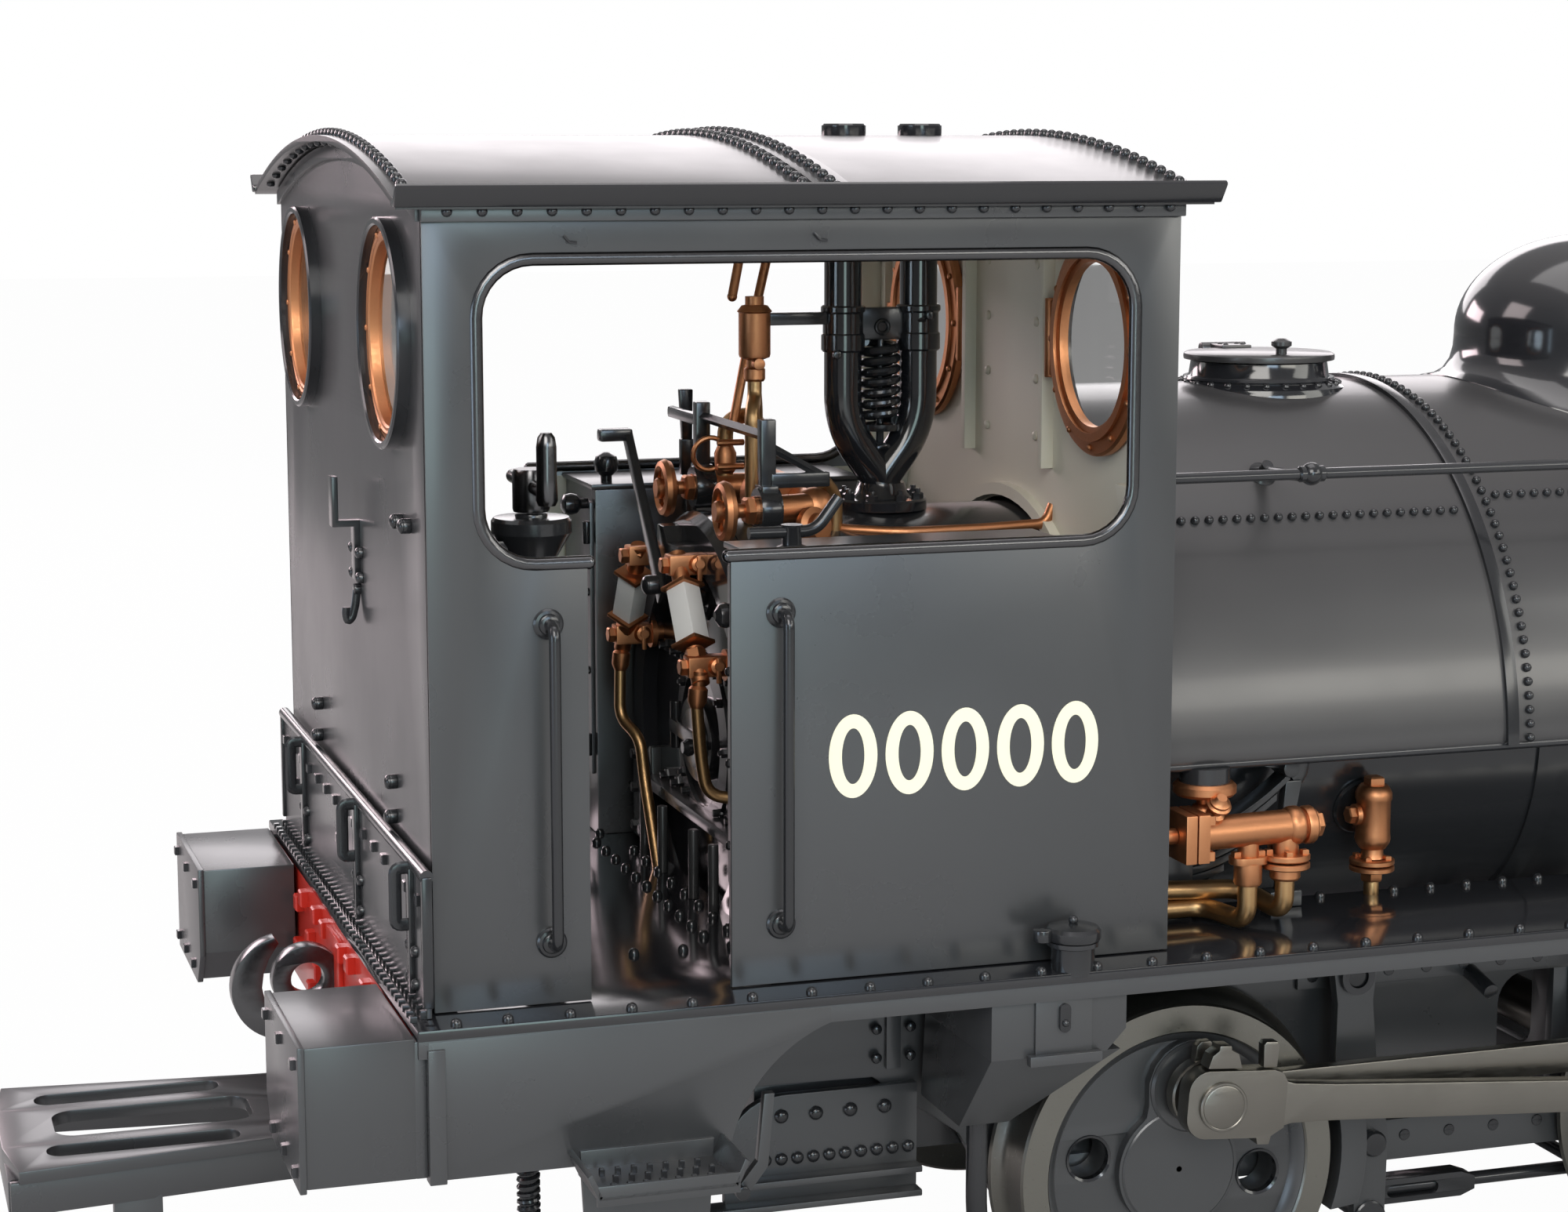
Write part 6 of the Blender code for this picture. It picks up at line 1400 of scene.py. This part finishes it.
def boiler():
    """Clad barrel with bands, firebox, ashpan and clack valves."""
    shell = fixed("boiler", IRON)
    hoop(shell, [(40, -171.6), (BOILER_R, -171.6), (BOILER_R, 148.4), (40, 148.4)], (0, 0, BOILER_Z), AHEAD, 72)
    shell.turn([(44.5, -171.8), (44.5, -168)], (0, 0, BOILER_Z), AHEAD, 64)
    shell.box((-172, -53.6, 66), (-96, 53.6, BOILER_Z), 0.6)
    shell.box((-171.8, -55.7, 102.5), (-96.2, 55.7, BOILER_Z), 0.6)
    shell.box((-178, -53.4, 46), (-122.2, 53.4, 66.5), 0.6)
    bands = Piece("boiler_bands", IRON)
    for x in (-60, 30, 110):
        hoop(bands, [(BOILER_R - 0.2, -3.2), (BOILER_R + 0.8, -3.2), (BOILER_R + 0.8, 3.2), (BOILER_R - 0.2, 3.2)],
             (x, 0, BOILER_Z), AHEAD, 72)
    clacks = Piece("clack_valves", COPPER)
    flanges = Piece("clack_flanges", IRON)
    stubs = Piece("clack_pipes", BRASS)
    for side in (-1, 1):
        x, y = -21.5, side * 60.5
        root = Vector((x, side * 53.6, 122.0))
        out = Vector((0, side * 0.96, -0.28)).normalized()
        flanges.turn([(7.4, -1.6), (7.4, 0.6), (6.9, 1.2), (4.6, 1.4)], root, out, 32)
        clacks.turn([(3.2, 112.8), (4.1, 114.2), (4.4, 115.2), (4.2, 116.6), (4.2, 124.6), (4.5, 125.2), (4.5, 126.6),
                     (3.7, 128.2), (3.2, 128.6)], (x, y, 0), steps=32)
        clacks.bolts([(x, y, 128.3)], UP, 3.6, 2.4, 4)
        clacks.turn([(2.6, 0), (2.6, 1.2), (1.8, 1.5)], (x - 4.1, y, 121.4), BACK, 20)
        clacks.bolts([(x - 5.4, y, 121.4)], BACK, 3.8, 1.8, 6)
        clacks.turn([(3.1, 110.4), (2.7, 111.6), (2.7, 113.4)], (x, y, 0), steps=24)
        for z in (107.2, 108.9):
            clacks.turn([(5.2, z), (5.5, z + 0.2), (5.5, z + 1.1), (5.2, z + 1.3)], (x, y, 0), steps=32)
        clacks.bolts(around("XY", (x, y, 110.1), 3.8, 4, TAU / 8), UP, 1.5, 1.0, 4)
        clacks.turn([(2.6, 104.6), (2.9, 105.2), (2.9, 107.3)], (x, y, 0), steps=6)
        stubs.rod((x, y, DECK - 0.2), (x, y, 105), 1.9, 18)


def injector():
    """The injector: bolted square plates, ringed body, drain cap and two brass pipes to the rear."""
    y, z = -85.0, 125.6
    body = fixed("injector", COPPER)
    for x0, x1 in ((-85.9, -83.1), (-82.8, -79.8)):
        body.box((x0, y - 5.7, z - 5.7), (x1, y + 5.7, z + 5.7), 0.35)
    body.bolts([(-79.7, y + dy, z + dz) for dy in (-4.2, 4.2) for dz in (-4.2, 4.2)], AHEAD, 2.1, 1.4, 4)
    body.turn([(3.9, 0), (3.9, 22.0), (4.4, 22.6), (4.6, 23.4), (4.6, 24.8), (4.2, 25.6), (3.6, 26.2), (3.6, 29.4)],
              (-80, y, z), (1, 0, 0.02), 32)
    body.turn([(4.3, 0), (4.5, 0.4), (4.5, 2.0), (4.2, 2.4)], (-53.6, y, z + 0.4), (1, 0, 0.02), 32)
    body.bolts([(-51.4, y, z + 0.5)], (1, 0, 0.02), 5.4, 2.6, 6)
    for x, wide in ((-67.4, 2.5), (-57.8, 3.0)):
        body.rod((x, y, 118.4), (x, y, z), wide, 20)
    body.plate("XY", rounded((-72.0, y - 3.1), (-62.8, y + 3.1), 2.9, 6), 117.9, 119.6, edge=0.3)
    body.bolts([(-70.4, y, 119.5), (-64.4, y, 119.5)], UP, 1.9, 1.3, 4)
    for low in (116.2, 118.2):
        body.turn([(5.5, low), (5.8, low + 0.3), (5.8, low + 1.2), (5.5, low + 1.5)], (-57.8, y, 0), steps=32)
    body.bolts(around("XY", (-57.8, y, 119.6), 4.4, 5, TAU / 10), UP, 1.6, 1.2, 4)
    body.turn([(3.0, 112.8), (3.3, 113.4), (3.3, 118.0)], (-67.4, y, 0), steps=24)
    body.turn([(3.2, 113.4), (3.6, 114.0), (3.6, 116.4)], (-57.8, y, 0), steps=24)
    body.turn([(2.2, 0), (2.2, 2.0), (1.4, 2.6), (1.4, 4.2), (2.8, 4.6), (2.9, 5.2), (2.4, 5.6), (2.4, 6.2), (1.6, 6.8),
               (1.2, 7.6)], (-76.9, y - 0.6, z + 3.4), (0, -0.75, 1), 24)
    body.turn([(2.6, 0), (3.2, 0.5), (3.2, 2.0), (2.6, 3.0), (1.9, 3.4), (1.9, 7)], (-77, y + 4, 128.6), steps=20)
    body.turn([(6.6, 0), (7.4, 0.8), (7.4, 2.4), (6.6, 3.2)], (-77, y + 4, 134.0), steps=36)
    body.rod((-90.5, y, z), (-86, y, z), 1.9, 16)
    pipes = Piece("injector_pipes", BRASS)
    feed_run = [(-67.4, y, 114.5), (-67.4, y, 103.9), (-71.6, y + 14.4, 104.4), (-91, y + 15, 104.4)]
    steam_run = [(-57.8, y, 115), (-57.8, y, 105.2), (-62.0, y + 13.6, 108.2), (-91, y + 14, 109.6)]
    pipes.tube(bend(feed_run, 4.6, 10), 2.3, 20)
    pipes.tube(bend(steam_run, 5.2, 10), 2.3, 20)
    stub = Piece("tank_feed_stub", IRON)
    stub.turn([(5.4, 134.6), (5.9, 135.2), (5.9, 140.8)], (-77, y + 4, 0), steps=32)


def saddle_tank():
    """Riveted tank with its rolled lower lip, front bead and side rails."""
    x0, x1 = CAB_FRONT + 0.2, 148.0
    tank = fixed("saddle_tank", TANK_BLACK)
    outer = arc((0, BOILER_Z), TANK_R, 5, 175, 72)
    outer += arc((-81.4, 143.6), 3.3, 170, 290, 6) + [(-79, 141.2), (-BOILER_R - 1, 141.2)]
    outer += arc((0, BOILER_Z), BOILER_R + 1.0, 177, 3, 40)
    outer += [(BOILER_R + 1, 141.2), (79, 141.2)] + arc((81.4, 143.6), 3.3, -110, 10, 6)
    tank.plate("YZ", outer, x0, x1, edge=0)
    trim = Piece("saddle_tank_trim", IRON)
    for x, lift in ((1.4, 1.0), (x1 - 1.5, 0.8), (x0 + 1.5, 0.4)):
        ring = arc((0, BOILER_Z), TANK_R + lift, 2.5, 177.5, 90) + arc((0, BOILER_Z), TANK_R - 0.6, 177.5, 2.5, 90)
        trim.plate("YZ", ring, x - 1.5, x + 1.5, edge=0.5)
    for side in (-1, 1):
        trim.tube([(x0 + 0.4, side * 83.2, 141.4), (x1 - 0.4, side * 83.2, 141.4)], 1.25, 12)
        for x, z in ((-50, 207.5), (40, 207.5), (130, 207.5)):
            y = side * 78.0
            foot = Vector((x, side * 49.5, 207.2))
            trim.turn([(3.2, -0.5), (3.4, 0.6), (2.6, 1.4), (1.5, 2.2), (1.4, 4.2)],
                      (x, side * math.sqrt(TANK_R ** 2 - (204.6 - BOILER_Z) ** 2), 204.6), (0, side, 0.9), 24)
            trim.tube([foot + Vector((0, side * 2, -1.6)), (x, y - side * 1.5, 206.6)], 1.35, 14)
            trim.ball((x, y, z), 2.7)
        rail = [(x0 + 0.5, side * 78.0, 207.5), (x1 - 8, side * 78.0, 207.5)]
        trim.tube(rail, 1.3, 16)
        for x in (-50, 40, 130):
            trim.turn([(1.5, -3.4), (1.9, -3.0), (1.9, 3.0), (1.5, 3.4)], (x, side * 78.0, 207.5), AHEAD, 18)
    heads = Piece("saddle_tank_rivets", IRON)

    def around(x, start, end, count):
        for i in range(count):
            a = math.radians(start + (end - start) * i / (count - 1))
            way = Vector((0, math.cos(a), math.sin(a)))
            heads.rivets([Vector((x, 0, BOILER_Z)) + way * TANK_R], way, 1.1, 1.25, 12)
    around(6.2, 3.5, 176.5, 78)
    around(x1 - 6.0, 3.5, 176.5, 78)
    for side in (-1, 1):
        for z, low, high in ((195.4, x0 + 5, -3.5), (198.4, 9.5, x1 - 9)):
            a = math.asin((z - BOILER_Z) / TANK_R)
            way = Vector((0, side * math.cos(a), math.sin(a)))
            count = int((high - low) / 3.55)
            heads.rivets([Vector((low + (high - low) * i / count, 0, BOILER_Z)) + way * TANK_R
                          for i in range(count + 1)], way, 1.1, 1.25, 12)


def filler():
    """The tank filler's flared neck with its rivets, and its flat hinged lid."""
    x = -24.9
    neck = Piece("filler_neck", GLOSS)
    neck.turn([(22.6, 214), (22.7, 220.6), (22.2, 221.8), (20.6, 222.6), (18.8, 223.4), (17.9, 224.6), (17.4, 228.0)],
              (x, 0, 0), steps=72)
    neck.turn([(19.2, 223.0), (19.5, 223.6), (19.2, 224.2)], (x, 0, 0), steps=72)
    heads = Piece("filler_rivets", IRON)
    heads.rivets(around("XY", (x, 0, 222.6), 20.2, 26), UP, 0.95, 0.9, 10)
    cap = moving("filler_lid", TANK_BLACK)
    cap.turn([(18.0, 228.3), (19.2, 228.5), (19.3, 229.2), (19.2, 229.9), (18.5, 230.3), (3, 230.6)], (x, 0, 0),
             UP, 72)
    cap.rod((x - 6.4, 21.2, 230.0), (x + 6.4, 21.2, 230.0), 1.5, 16)
    cap.box((x - 4.2, 12.5, 229.8), (x + 4.2, 21.4, 231.2), 0.4)
    cap.rivets([(x + dx, dy, 231.1) for dx in (-2.4, 2.4) for dy in (14.4, 17.8)], UP, 0.7, 0.8)
    cap.turn([(1.4, 0), (1.4, 1.6), (2.6, 2.4), (2.6, 3.4), (1.2, 4.2)], (x, -12.5, 230.2), steps=20)


def saddle_flange(piece, x, profile, seat, steps=96):
    """A turned cover whose skirt spreads out to sit on a drum of the given radius."""
    bm = bmesh.new()
    rings = []
    for i in range(steps):
        a = TAU * i / steps
        ring = []
        for r, z, follow in profile:
            px, py = x + r * math.cos(a), r * math.sin(a)
            sag = math.sqrt(max(1.0, seat ** 2 - py ** 2)) - seat
            ring.append(bm.verts.new((px, py, z + sag * follow)))
        rings.append(ring)
    wrap(bm, rings, len(profile) - 1)
    for end in (0, -1):
        bm.faces.new([ring[end] for ring in rings])
    piece.take(bm)


def dome():
    """The polished dome cover."""
    cover = fixed("dome", GLOSS)
    top = [(34 * math.sin(math.radians(a)), 234 + 25.5 * math.cos(math.radians(a)), 0.0) for a in range(3, 90, 5)]
    flare = [(34.0, 233.0, 0.0), (34.2, 229.6, 0.05), (35.0, 226.8, 0.3), (36.8, 224.8, 0.65), (39.6, 223.7, 0.9),
             (43.6, 223.25, 1.0), (43.8, 222.7, 1.0), (43.4, 221.0, 1.0)]
    saddle_flange(cover, 71, top + flare, TANK_R)


def smokebox():
    """The drum with its riveted wrapper, front ring and saddle."""
    x0, x1 = 148.8, 222.0
    drum = fixed("smokebox", TANK_BLACK)
    hoop(drum, [(38.5, 3), (38.5, 73.2), (59.0, 73.2), (60.0, 72.2), (60.0, 0), (38.5, 0)], (x0, 0, BOILER_Z),
         AHEAD, 96)
    drum.turn([(39, 0), (39, 3)], (x0 + 0.5, 0, BOILER_Z), AHEAD, 64)
    hoop(drum, [(59.5, 69.2), (61.4, 69.2), (61.4, 73.2), (59.5, 73.2)], (x0, 0, BOILER_Z), AHEAD, 96)
    drum.box((x0 + 6, -53.7, 62), (x1 - 6, 53.7, 110), 0.8)
    trim = Piece("smokebox_rivets", IRON)
    for x in (x0 + 4, x1 - 8):
        ways = around("YZ", (0, 0, 0), 1, 64)
        trim.rivets([Vector((x, 0, BOILER_Z)) + way * 60.0 for way in ways], ways, 1.1, 0.9)
    trim.rivets(around("YZ", (x1 - 0.1, 0, BOILER_Z), 51.8, 40), AHEAD, 1.1, 0.9)
    door = moving("smokebox_door", TANK_BLACK)
    x, z = x1 + 0.35, 146.0
    door.turn([(42, 0), (42.4, 0.4), (42.0, 1.0), (38.5, 2.2), (30, 4.8), (20, 6.8), (10, 8.0), (3, 8.5)], (x, 0, z),
              AHEAD, 96)
    door.rod((x + 6, 0, z), (x + 15, 0, z), 2.2, 24)
    door.turn([(5.6, 7.6), (5.6, 9.6), (4.8, 10.2)], (x, 0, z), AHEAD, 32)
    for dz in (-15, 15):
        door.plate("XY", [(x + 1, -46), (x + 4.2, -46), (x + 8.8, -12), (x + 8.8, 8), (x + 1, 8)],
                   z + dz - 2.2, z + dz + 2.2, edge=0.5)
        door.rod((x + 2.6, -46, z + dz - 4.4), (x + 2.6, -46, z + dz + 4.4), 2.2, 20)
        door.rivets([(x + 8.7, y, z + dz) for y in (-8, 3)] + [(x + 6.5, -28, z + dz)], AHEAD, 1.0, 0.9)
    handle = moving("smokebox_handle", BEADING)
    hub = 237.7
    handle.turn([(3.0, 0), (3.5, 0.5), (3.5, 3.6), (2.6, 4.2), (1.0, 4.6)], (hub, 0, z), AHEAD, 28)
    handle.tube([(hub + 2, 0, z), (hub + 2.4, 0, z - 10), (hub + 3.4, 0, z - 20.4)], [1.5, 1.25, 1.5], 14)
    handle.ball((hub + 3.4, 0, z - 20.6), 1.9)


def chimney():
    """The turned chimney with its flared base and capped rim."""
    stack = fixed("chimney", GLOSS)
    inner = [(10.5, 204.0, 0.0), (10.5, 305.6, 0.0)]
    outer = [(11.0, 306.0, 0.0), (16.9, 306.0, 0.0), (17.8, 305.4, 0.0), (18.5, 303.4, 0.0), (18.0, 301.6, 0.0),
             (15.6, 299.2, 0.0), (14.7, 297.2, 0.0), (14.0, 280, 0.0), (13.6, 245, 0.0), (14.0, 226, 0.0),
             (14.8, 216, 0.05), (16.4, 209.4, 0.2), (19.4, 204.4, 0.5), (23.2, 201.2, 0.85), (26.0, 199.2, 1.0),
             (26.2, 198.5, 1.0), (25.6, 196.0, 1.0)]
    saddle_flange(stack, 186, inner + outer, 60.0, 72)
    heads = Piece("chimney_rivets", IRON)
    for i in range(14):
        a = TAU * (i + 0.5) / 14
        y = 22.6 * math.sin(a)
        sag = math.sqrt(60 ** 2 - y ** 2) - 60
        heads.rivets([(186 + 22.6 * math.cos(a), y, 201.4 + sag * 0.8)], (math.cos(a) * 0.4, math.sin(a) * 0.5, 1),
                     1.0, 0.9)


def number_rings():
    """Blank oval rings in cream on both cab sides, where a running number would go."""
    marks = Piece("cab_number_rings", IVORY)
    first, pitch, height = -167.8, 13.1, 151.2
    for side in (-1, 1):
        face = side * (CAB_SIDE + 0.02)
        for i in range(5):
            place = (first + pitch * i, height)
            outer, inner = oval(place, 5.6, 9.3), oval(place, 2.6, 6.2)
            marks.plate("XZ", outer, face, face + side * 0.12, [inner[::-1]], 0)


# ---------------------------------------------------------------- assembly

def assemble():
    number_rings()
    lockers()
    brake_column()
    reversing_lever()
    firehole_door()
    footplate()
    springs = Piece("leaf_springs", BLACK, "rear_spring_right", "rear_spring_left")
    for side, word in SIDES:
        lid(side, word)
        leaf_spring(springs, REAR_AXLE.x, side)
        cab_side(side, word)
        front_window(side, word)
        handwheel(side, word)
        water_gauge(side, word)
    frames()
    beams()
    buffers()
    draw_hook("rear", -266.2, 1)
    draw_hook("front", 261.4, -1)
    towing_frame()
    for side, word, degrees in ((-1, "right", 80.0), (1, "left", 170.0)):
        wheel("rear", REAR_AXLE.x, side, word, degrees)
        wheel("front", FRONT_AXLE.x, side, word, degrees)
        coupling_rod(side, word, degrees)
        connecting_rod(side, word, degrees)
    brake_gear()
    cylinders()
    cab_rear()
    guard_plate()
    cab_front()
    roof()
    safety_valves()
    turret()
    whistle_gear()
    regulator_lever()
    backhead()
    boiler()
    injector()
    saddle_tank()
    filler()
    dome()
    smokebox()
    chimney()
    for piece in PIECES:
        piece.build()


assemble()


# ---------------------------------------------------------------- stage, light and camera

def join(tree, operation, first, second):
    """The result of a sum on two values."""
    node = add_node(tree, "Math")
    node.operation = operation
    feed(tree, node.inputs[0], first)
    feed(tree, node.inputs[1], second)
    return node.outputs["Value"]


def mixed(tree, both, share, first, second, output):
    """Blends two shaders into an output's surface."""
    for socket, value in zip(both.inputs, (share, first, second)):
        tree.links.new(value, socket)
    tree.links.new(both.outputs["Shader"], output.inputs["Surface"])


def studio_plate(name, centre, size, shade):
    """A plain floor that reads as white to the camera, and as a mid grey in reflections."""
    bm = bmesh.new()
    bmesh.ops.create_grid(bm, x_segments=1, y_segments=1, size=size)
    bmesh.ops.translate(bm, verts=bm.verts, vec=centre)
    mesh = bpy.data.meshes.new(name)
    bm.to_mesh(mesh)
    bm.free()
    result = bpy.data.objects.new(name, mesh)
    bpy.context.scene.collection.objects.link(result)
    material = bpy.data.materials.new(name)
    material.use_nodes = True
    tree = material.node_tree
    shader = tree.nodes["Principled BSDF"]
    shader.inputs["Base Color"].default_value = (shade, shade, shade, 1)
    shader.inputs["Roughness"].default_value = 0.9
    glow = add_node(tree, "Emission", Color=(1, 1, 1, 1))
    seen = add_node(tree, "LightPath")
    both = add_node(tree, "MixShader")
    share = join(tree, "MULTIPLY", seen.outputs["Is Camera Ray"], FLOOR_WHITE)
    mixed(tree, both, share, shader.outputs["BSDF"], glow.outputs["Emission"], tree.nodes["Material Output"])
    mesh.materials.append(material)


def area(name, place, target, size, power, colour=(1, 1, 1), tall=None):
    lamp = bpy.data.lights.new(name, "AREA")
    lamp.energy, lamp.color = power, colour
    lamp.shape, lamp.size, lamp.size_y = "RECTANGLE", size, tall or size
    result = bpy.data.objects.new(name, lamp)
    result.location = place
    result.rotation_euler = (Vector(target) - Vector(place)).to_track_quat("-Z", "Y").to_euler()
    result.visible_camera = False
    bpy.context.scene.collection.objects.link(result)


FLOOR_WHITE = 0.98
studio_plate("floor", (0, 0, -0.0045), 6.0, 0.5)


def studio_world():
    """A white backdrop for the eye; what the paint reflects is darker, with a bright ceiling and coloured sides."""
    world = bpy.data.worlds.new("studio")
    bpy.context.scene.world = world
    world.use_nodes = True
    tree = world.node_tree
    tree.nodes.clear()
    coords = add_node(tree, "TexCoord").outputs["Generated"]
    height = add_node(tree, "SeparateXYZ", Vector=coords)
    ramp = add_node(tree, "ValToRGB")
    up = add_node(tree, "MapRange", Value=height.outputs["Z"], From_Min=-1.0, From_Max=1.0)
    tree.links.new(up.outputs["Result"], ramp.inputs["Fac"])
    stops = ramp.color_ramp.elements
    stops[0].position, stops[0].color = 0.0, (*FLOOR_GLOW, 1)
    stops[1].position, stops[1].color = 1.0, (*CEILING, 1)
    for place, colour in ((0.48, HORIZON), (0.6, MIDDLE), (0.8, UPPER)):
        stops.new(place).color = (*colour, 1)
    seen = add_node(tree, "LightPath")
    direct = join(tree, "MAXIMUM", seen.outputs["Is Camera Ray"], seen.outputs["Is Transmission Ray"])
    soft = add_node(tree, "Background", Color=ramp.outputs["Color"], Strength=1.0)
    white = add_node(tree, "Background", Color=(1, 1, 1, 1), Strength=1.0)
    both, output = add_node(tree, "MixShader"), add_node(tree, "OutputWorld")
    mixed(tree, both, direct, soft.outputs["Background"], white.outputs["Background"], output)


FLOOR_GLOW = (0.16, 0.16, 0.165)
HORIZON = (0.19, 0.195, 0.2)
MIDDLE = (0.24, 0.25, 0.26)
UPPER = (0.36, 0.355, 0.36)
CEILING = (0.7, 0.67, 0.67)
studio_world()

area("key", (-0.7, -1.6, 1.2), (0, 0, 0.15), 1.0, 20, (1.0, 0.97, 0.92))
area("rear_pink", (-0.85, 1.7, 0.66), (-0.25, 0, 0.26), 0.9, 9, (1.0, 0.8, 0.84), 0.36)
area("rear_blue", (-1.6, -0.6, 0.2), (-0.25, 0, 0.12), 0.6, 3.5, (0.6, 0.78, 0.95))
area("rear_top", (-1.5, 0.3, 1.0), (-0.25, 0, 0.22), 0.7, 6, (1.0, 0.86, 0.86))
area("side_teal", (-0.35, -2.0, 0.3), (-0.25, 0, 0.2), 0.5, 3, (0.66, 0.9, 0.87), 0.5)
area("side_blue", (-0.1, -1.9, 0.66), (-0.2, 0, 0.1), 0.6, 4, (0.62, 0.8, 1.0), 0.3)
area("side_khaki", (0.8, -1.7, 0.62), (0.0, 0, 0.1), 0.9, 5, (0.98, 0.95, 0.86), 0.3)
area("front_fill", (1.3, -1.0, 0.8), (0.1, 0, 0.15), 0.8, 6, (0.98, 0.97, 0.9))
area("far_glow", (0.5, 1.8, 0.85), (-0.1, 0, 0.28), 1.6, 10, (1.0, 0.94, 0.96), 0.8)
area("top", (0.0, 0.0, 1.7), (0, 0, 0.2), 1.2, 8, (1.0, 0.97, 0.97))

VIEW_PLACE = Vector((-0.3813, -0.7079, 0.2834))      # metres from the axles' midpoint
VIEW_DOWN, VIEW_TURN = 8.67, -17.85      # degrees below level, and round from straight across
FOCAL_LENGTH, SENSOR = 69.75, 36.0

camera = bpy.data.cameras.new("camera")
camera.lens, camera.sensor_width = FOCAL_LENGTH, SENSOR
camera.clip_start = 0.01
viewer = bpy.data.objects.new("camera", camera)
viewer.location = VIEW_PLACE + SHIFT * MM
viewer.rotation_euler = (math.radians(90 - VIEW_DOWN), 0, math.radians(VIEW_TURN))
bpy.context.scene.collection.objects.link(viewer)
bpy.context.scene.camera = viewer
bpy.context.scene.view_settings.view_transform = "Standard"
